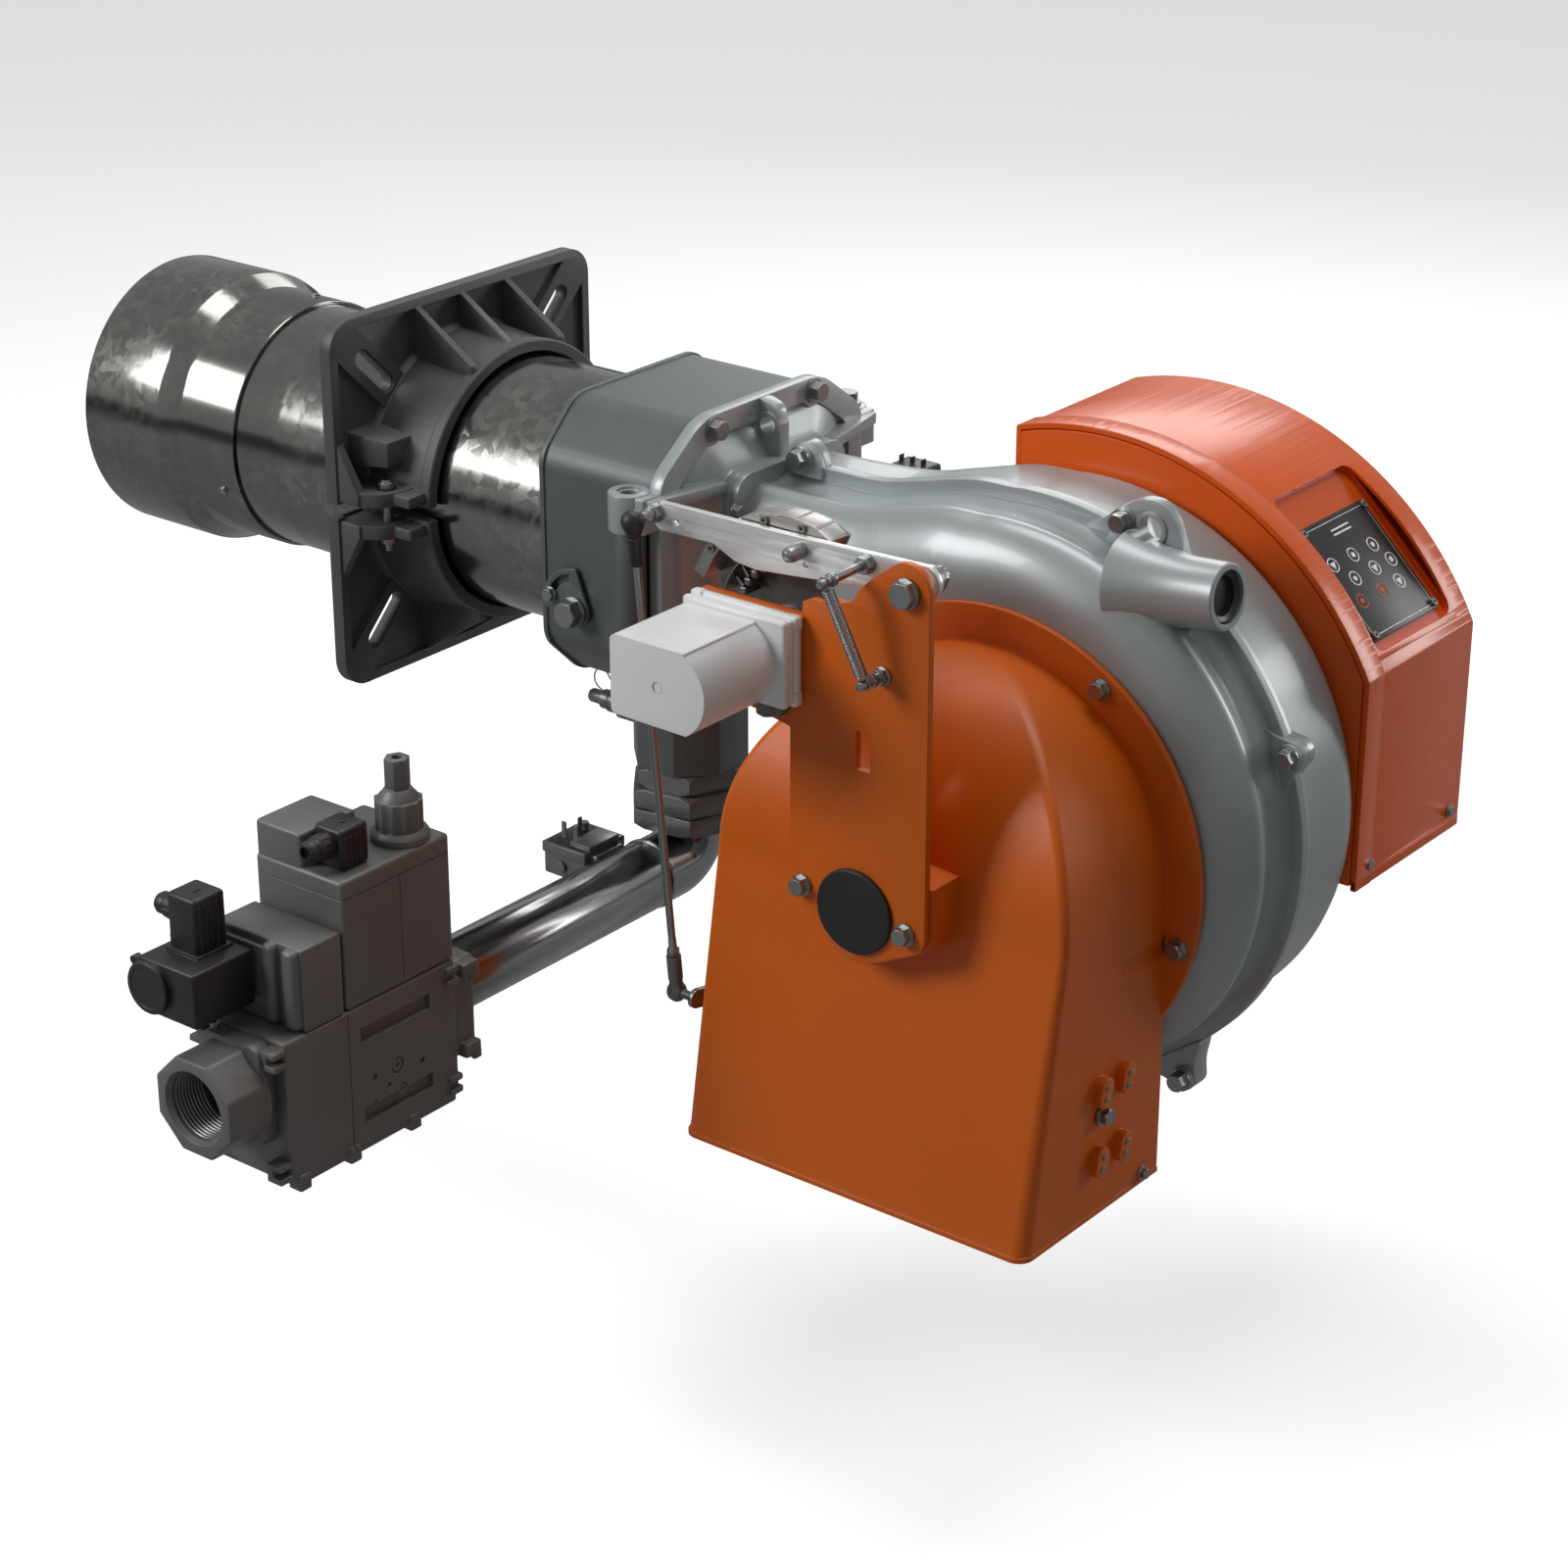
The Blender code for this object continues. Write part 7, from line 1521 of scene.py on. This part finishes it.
def adjuster_pieces():
    centre = (0.238, -0.045)
    pin = (0.238, -0.017)
    shapes = [rod(along("Y", centre, -0.1225), along("Y", centre, -0.0515), 0.006, sides=40),
              plate([capsule(centre, pin, 0.007)], "Y", -0.052, -0.047, 0.0006, 2),
              rod(along("Y", pin, -0.051), along("Y", pin, -0.042), 0.003, sides=24),
              grown(HEX_HEADS, [along("Y", centre, -0.1214)], [(0, -1, 0)], [0.0205], Matrix.Identity(4),
                    Finish=FINISHES["bright_steel"], Height=0.62, Washer=0.60)]
    show("adjuster_spindle_piece", shapes, "bright_steel", "head_adjuster", ["adjuster_spindle"], 25)


# Fan

def fan_pieces():
    centre = (FAN_X, FAN_Z)
    back = plate([circle(centre, 0.134, 96), circle(centre, 0.0123, 48)], "Y", 0.0440, 0.0480, 0.0006, 2)
    front = turned([(0.109, -0.0372), (0.1325, -0.0372), (0.134, -0.0385), (0.134, -0.040), (0.109, -0.040)],
                   (FAN_X, 0, FAN_Z), (0, 1, 0), 96)
    hub = turned([(0.0123, 0.020), (0.0215, 0.020), (0.0240, 0.0225), (0.0240, 0.036), (0.030, 0.0445), (0.0123, 0.0445)],
                 (FAN_X, 0, FAN_Z), (0, 1, 0), 64)
    blades = bar_ring((FAN_X, 0.004, FAN_Z), (0, 1, 0), 40, 0.1205, (0.0245, 0.0016, 0.0850), 0.35)
    show("fan_rotor", [back, front, hub, blades], "dark_steel", "fan", ["fan_wheel"])
    show("fan_shaft", turned([(0, 0.0122), (0.0105, 0.0122), (0.0119, 0.0136), (0.0119, 0.1418), (0, 0.1418)],
                             (FAN_X, 0, FAN_Z), (0, 1, 0), 64), "bright_steel", "fan", ["motor_shaft"])


# Servo motor and cam

def servo_pieces():
    seat = BRACKET_FRONT - GAP
    foot = box((0.475, -0.2590, 0.001), (0.5720, seat, 0.0695), 0.0030)
    step = box((0.4765, -0.2640, 0.0025), (0.5705, -0.2580, 0.0680), 0.0025)
    rim = combined(box((0.4755, -0.2710, 0.0012), (0.5712, -0.2630, 0.0692), 0.0032))
    pads = [box((x, -0.2600, z), (x + 0.011, -0.2512, z + 0.011), 0.002) for x in (0.4745, 0.5620) for z in (0.0005, 0.0590)]
    gland = [turned([(0, 0), (0.0075, 0), (0.0085, 0.001), (0.0085, 0.010), (0.0060, 0.012), (0, 0.012)],
                    (0.547, -0.2600, 0.0015), (0, 0, -1), 48)]
    show("servo_foot", [foot, step, rim] + pads, "white_plastic", "burner_body", ["servo_base"], 40)
    outline = [(0.4765, 0.0030), (0.5450, 0.0020)] + arc((0.5290, 0.0320), 0.0345, -62, 62, 28) + [(0.5450, 0.0645), (0.4765, 0.0645)]
    cover = plate([softened(outline, 0.006, 4)], "Y", -0.3520, -0.2695, 0.0032, 4, 60)
    shallow = [rod((0.520, -0.3530, 0.0330), (0.520, -0.3514, 0.0330), 0.0046, sides=40)]
    cover = combined(cover, cuts=shallow)
    mark = turned([(0.0040, 0.0), (0.0046, 0.0), (0.0046, 0.0004), (0.0040, 0.0004)], (0.520, -0.3518, 0.0330), (0, -1, 0), 40)
    show("servo_case", [cover, mark], "white_plastic", "burner_body", ["servo_cover"], 40)
    clip = [box((0.536, -0.262, -0.010), (0.560, -0.250, 0.003), 0.003), gland[0]]
    show("servo_clip", clip, "valve_grey", "burner_body")


def cam_place(radius, angle):
    turn = math.radians(angle)
    return (SERVO[0] + radius * math.cos(turn), SERVO[1] + radius * math.sin(turn))


def roller_path(steps=54):
    path = []
    for i in range(-6, steps + 5):
        turned_by = 90 * i / steps
        drop = math.radians(12 * min(max(turned_by, 0), 90) / 90)
        u, v = FOLLOWER[0] - PIVOT[0], FOLLOWER[1] - PIVOT[1]
        x = PIVOT[0] + u * math.cos(drop) - v * math.sin(drop) - SERVO[0]
        z = PIVOT[1] + u * math.sin(drop) + v * math.cos(drop) - SERVO[1]
        path.append((math.hypot(x, z), math.degrees(math.atan2(z, x)) + turned_by))
    return path


def cam_strip(path, low, high):
    outer = [cam_place(radius + high, angle) for radius, angle in path]
    return outer + [cam_place(radius + low, angle) for radius, angle in reversed(path)]


def cam_pieces():
    path = roller_path()
    reach = 0.0085
    first, last = path[0][1], path[-1][1]
    backing = [cam_place(radius + reach + 0.008, angle) for radius, angle in path]
    backing += arc(SERVO, 0.046, last + 8, 360 + first - 8, 48)
    hub = turned([(0, 0.200), (0.0180, 0.200), (0.0180, 0.2285), (0.0165, 0.2300), (0.0080, 0.2300), (0.0080, 0.2600), (0, 0.2600)],
                 (SERVO[0], 0, SERVO[1]), (0, -1, 0), 64)
    disc = plate([backing], "Y", -0.205, -0.200, 0.0006, 2, 60)
    show("cam_plate", [disc, hub], "dark_steel", "cam", ["cam_disc"], 30)
    band = plate([cam_strip(path, reach, reach + 0.0105)], "Y", -0.2262, -0.2054, 0.0010, 2, 60)
    notches = []
    screws = []
    leaf_screws = []
    for i in range(5, len(path) - 4, 7):
        radius, angle = path[i]
        here = cam_place(radius + reach + 0.0110, angle)
        notches.append(rod(along("Y", here, -0.23), along("Y", here, -0.20), 0.0016, sides=16))
    for i in range(9, len(path) - 6, 14):
        radius, angle = path[i]
        screws.append((along("Y", cam_place(radius + reach + 0.0055, angle), -0.2262), (0, -1, 0), 0.0068))
    for i in range(7, len(path) - 4, 8):
        radius, angle = path[i]
        inner = cam_place(radius - reach - 0.0140, angle)
        turn = math.radians(angle)
        leaf_screws.append(rod(along("Y", inner, -0.2150), along("Y", cam_place(radius - reach - 0.0015, angle), -0.2150), 0.0017, sides=16))
        leaf_screws.append(box((inner[0] - 0.0030, -0.2200, inner[1] - 0.0030), (inner[0] + 0.0030, -0.2048, inner[1] + 0.0030), 0.0008, 1))
    show("cam_sector", combined(band, cuts=notches), "brushed_steel", "cam", ["cam_band"], 30)
    bolts("cam_screws", "dark_steel", "cam", screws, tree=SOCKET_HEADS, Height=0.3)
    leaf = plate([cam_strip(path, -reach - 0.0012, -reach)], "Y", -0.2245, -0.2054, 0.0003, 1, 60)
    show("cam_spring_leaf", [leaf] + leaf_screws, "bright_steel", "cam", ["cam_leaf"], 30)


# Lever, follower, spring, rod and damper

def lever_pieces():
    outline = arc(PIVOT, 0.0135, -95, 85, 20)
    outline += [(0.537, 0.121), (0.425, 0.1195)] + arc((0.430, 0.108), 0.011, 110, 250, 14)
    outline += [(0.476, 0.0985), (0.497, 0.089), (0.516, 0.087), (0.560, 0.091), (0.612, 0.0965)]
    holes = [circle(PIVOT, 0.0063), circle((0.441, 0.107), 0.0030, 24), circle((0.562, 0.101), 0.0021, 20),
             circle(FOLLOWER, 0.0042, 32)]
    leaf = plate([outline] + holes, "Y", -0.235, -0.230, 0.0006, 2, 40)
    hub = turned([(0.0063, 0), (0.011, 0), (0.011, 0.0080), (0.0063, 0.0080)], (PIVOT[0], -0.2345, PIVOT[1]), (0, -1, 0), 64)
    show("lever_arm", [leaf, hub], "zinc_plate", "lever", ["control_lever"], 30)
    post = (SPRING_TOP[0], SPRING_TOP[2])
    ball = (UPPER_BALL[0], UPPER_BALL[2])
    shapes = [rod(along("Y", post, -0.229), along("Y", post, -0.2905), 0.0034, sides=32, edge=0.0006),
              rod(along("Y", post, -0.2745), along("Y", post, -0.2790), 0.0052, sides=32, edge=0.0006),
              rod(along("Y", ball, -0.229), along("Y", ball, -0.2585), 0.0040, sides=32),
              turned([(0, 0), (0.0056, 0), (0.0056, 0.004), (0.0040, 0.006), (0, 0.006)], along("Y", ball, -0.2430), (0, -1, 0), 48)]
    shapes.append(grown(HEX_HEADS, [along("Y", post, -0.235), along("Y", ball, -0.235)], [(0, -1, 0)] * 2, [0.0122, 0.0125],
                        Matrix.Identity(4), Finish=FINISHES["bright_steel"], Height=0.52, Washer=0.62))
    domed = turned([(0, 0), (0.0064, 0), (0.0064, 0.0110), (0.0052, 0.0150), (0.0030, 0.0172), (0, 0.0180)],
                   along("Y", (0.5575, 0.1115), -0.2352), (0, -1, 0), 48)
    shapes.append(domed)
    show("lever_studs", shapes, "bright_steel", "lever", angle=28)
    roller = turned([(0.0041, 0.207), (0.0072, 0.207), (0.0080, 0.208), (0.0080, 0.225), (0.0072, 0.226), (0.0041, 0.226)],
                    (FOLLOWER[0], 0, FOLLOWER[1]), (0, -1, 0), 64)
    stud = rod(along("Y", FOLLOWER, -0.2065), along("Y", FOLLOWER, -0.2385), 0.0040, sides=32)
    show("follower_roller", [roller, stud], "bright_steel", "lever", ["cam_follower"], 30)


def spring_piece():
    top, foot = Vector(SPRING_TOP), Vector(SPRING_FOOT)
    run = (foot - top).normalized()
    start, end = top + run * 0.0060, foot - run * 0.0060
    winding = coil(start, end, 0.0042, 0.00060, 46)
    hooks = []
    for centre, towards in ((top, run), (foot, -run)):
        side = run.cross(Vector((0, 1, 0))).normalized()
        loop = [tuple(centre + side * 0.0044 * math.sin(t) - towards * 0.0044 * math.cos(t) * 1.0)
                for t in [math.radians(a) for a in range(-150, 151, 15)]]
        loop = [tuple(centre + towards * 0.0065)] + loop[::1]
        hooks.append(wire(loop, 0.0006, 8))
    bm = bmesh.new()
    for shape in [winding] + hooks:
        bm.from_mesh(shape.data)
        bpy.data.objects.remove(shape)
    mesh = bpy.data.meshes.new("tension_spring")
    bm.to_mesh(mesh)
    bm.free()
    mesh.shade_smooth()
    mesh.materials.clear()
    mesh.materials.append(FINISHES["bright_steel"])
    piece = bpy.data.objects.new("tension_spring", mesh)
    bpy.context.scene.collection.objects.link(piece)
    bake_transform(piece)
    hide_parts("lever_spring")
    place = (SPRING_FOOT[0], SPRING_FOOT[2])
    post = [rod(along("Y", place, -0.2505), along("Y", place, -0.2785), 0.0034, sides=32, edge=0.0006),
            rod(along("Y", place, -0.2620), along("Y", place, -0.2660), 0.0052, sides=32, edge=0.0006),
            grown(HEX_HEADS, [along("Y", place, -0.2503)], [(0, -1, 0)], [0.0115], Matrix.Identity(4),
                  Finish=FINISHES["bright_steel"], Height=0.5, Washer=0.62)]
    show("spring_foot", post, "bright_steel", "burner_body", ["spring_foot_post"], 28)


def rod_pieces():
    top, foot = Vector(UPPER_BALL), Vector(LOWER_BALL)
    down = (foot - top).normalized()
    socket = turned([(0, -0.0093), (0.0050, -0.0080), (0.0082, -0.0045), (0.0094, 0), (0.0082, 0.0045), (0.0066, 0.0080),
                     (0.0056, 0.0120), (0.0064, 0.0125), (0.0064, 0.0150), (0.0056, 0.0155), (0.0056, 0.0340), (0.0050, 0.0350), (0, 0.0350)], top, down, 48)
    show("upper_joint", [socket], "black_plastic", "rod", ["upper_ball_joint"], 40)
    bar = rod(top + down * 0.034, foot - down * 0.030, 0.0031, sides=32)
    thread = [turned([(0.0030, 0), (0.0034, 0.0004), (0.0030, 0.0008)], foot - down * (0.034 + 0.0009 * i), -down, 24) for i in range(16)]
    nut = plate([polygon((0, 0), 0.0095)], "Z", 0.0, 0.005, 0.0005, 1)
    nut.data.transform(Matrix.Translation(foot - down * 0.0395) @ down.to_track_quat("Z", "Y").to_matrix().to_4x4())
    show("control_rod", [bar, nut] + thread, "bright_steel", "rod", ["link_rod"], 30)
    lower = turned([(0, -0.0083), (0.0045, -0.0070), (0.0076, -0.0035), (0.0084, 0), (0.0076, 0.0040), (0.0056, 0.0075),
                    (0.0054, 0.0120), (0.0060, 0.0125), (0.0060, 0.0330), (0, 0.0330)], foot, -down, 48)
    stud = rod(foot, (0.4395, foot.y, foot.z), 0.0038, sides=32)
    show("lower_joint", [lower, stud], "dark_steel", "rod", ["lower_ball_joint"], 40)


def damper_pieces():
    axis, ball = (-0.160, -0.304), (-0.219, -0.292)
    shaft = [rod(along("X", axis, 0.4443), along("X", axis, 0.7850), 0.0049, sides=40, edge=0.0006),
             rod(along("X", axis, 0.4443), along("X", axis, 0.4515), 0.0088, sides=40, edge=0.0008)]
    show("damper_spindle", shaft, "bright_steel", "damper", ["damper_shaft"])
    bolts("damper_knob", "bright_steel", "damper", [((0.7840, *axis), (1, 0, 0), 0.0120)], Height=0.55)
    arm = plate([capsule(axis, ball, 0.0080)], "X", 0.440, 0.444, 0.0006, 2)
    nut = plate([polygon(axis, 0.0125)], "X", 0.4370, 0.4405, 0.0006, 1)
    show("damper_crank", [arm, nut], "bright_steel", "damper", ["damper_arm"])
    blade = box((0.476, -0.218, -0.3055), (0.767, -0.102, -0.3025), 0.0010, 2)
    clips = [box((x, -0.168, -0.3100), (x + 0.016, -0.152, -0.2980), 0.001, 1) for x in (0.520, 0.612, 0.706)]
    show("damper_flap", [blade] + clips, "galvanised", "damper", ["damper_blade"])

# Stage: floor, light and camera

def area_light(name, place, aim, size, power, colour=(1, 1, 1)):
    lamp = bpy.data.lights.new(name, "AREA")
    lamp.shape = "RECTANGLE"
    lamp.size, lamp.size_y = size
    lamp.energy = power
    lamp.color = colour
    holder = bpy.data.objects.new(name, lamp)
    holder.location = place
    holder.rotation_euler = (Vector(aim) - Vector(place)).to_track_quat("-Z", "Y").to_euler()
    bpy.context.scene.collection.objects.link(holder)


def stage():
    bpy.ops.mesh.primitive_plane_add(size=40, location=(0, 0, FLOOR))
    floor = bpy.context.object
    floor.name = "floor"
    pale = bpy.data.materials.new("pale floor")
    pale.use_nodes = True
    tree = pale.node_tree
    shader = tree.nodes["Principled BSDF"]
    shader.inputs["Roughness"].default_value = 0.9
    shader.inputs["Emission Color"].default_value = (1, 1, 1, 1)
    seen = node(tree, "ShaderNodeLightPath")
    tree.links.new(maths(tree, "MULTIPLY", seen.outputs["Is Camera Ray"], 0.55), shader.inputs["Emission Strength"])
    shade = blended(tree, seen.outputs["Is Camera Ray"], (0.36, 0.36, 0.36), (0.86, 0.86, 0.86))
    tree.links.new(shade, shader.inputs["Base Color"])
    floor.data.materials.append(pale)

    world = bpy.data.worlds.new("studio")
    bpy.context.scene.world = world
    world.use_nodes = True
    tree = world.node_tree
    sky = tree.nodes["Background"]
    sky.inputs["Color"].default_value = (1, 1, 1, 1)
    rays = node(tree, "ShaderNodeLightPath")
    mirrored = maths(tree, "MULTIPLY", rays.outputs["Is Glossy Ray"], 0.45)
    seen = maths(tree, "MAXIMUM", rays.outputs["Is Camera Ray"], rays.outputs["Is Transmission Ray"])
    seen = maths(tree, "MAXIMUM", seen, mirrored)
    strength = maths(tree, "MAXIMUM", seen, 0.13)
    tree.links.new(strength, sky.inputs["Strength"])

    area_light("key", (-1.5, -2.7, 1.7), (0.40, 0, -0.1), (1.3, 1.5), 62)
    area_light("top", (0.3, 0.4, 2.6), (0.4, 0, 0), (2.4, 1.0), 34)
    area_light("right", (2.2, 3.0, 0.6), (0.85, 0.18, 0), (0.9, 1.4), 26)
    area_light("back", (-0.8, 2.6, 1.4), (0.3, 0, 0), (1.4, 1.4), 18)

    lens = bpy.data.cameras.new("photo camera")
    lens.lens = PHOTO_LENS
    lens.sensor_width = 36
    lens.clip_end = 100
    camera = bpy.data.objects.new("photo camera", lens)
    camera.location = PHOTO_CAMERA
    camera.rotation_euler = [math.radians(turn) for turn in PHOTO_TURN]
    bpy.context.scene.collection.objects.link(camera)
    bpy.context.scene.camera = camera
    bpy.context.scene.view_settings.view_transform = "Standard"

# The burner's pieces

tube_pieces()
boiler_flange()
housing()
index_plate_piece()
hinge_bolt()
transition_piece()
scroll_pieces()
hood_piece()
motor_pieces()
cover_pieces()
pressure_switch()
bracket_pieces()
gas_pieces()
nipple_pieces()
line_switch()
valve_pieces()
coil_pieces()
plug_pieces()
head_pieces()
manifold_piece()
adjuster_pieces()
fan_pieces()
servo_pieces()
cam_pieces()
lever_pieces()
spring_piece()
rod_pieces()
damper_pieces()

stage()
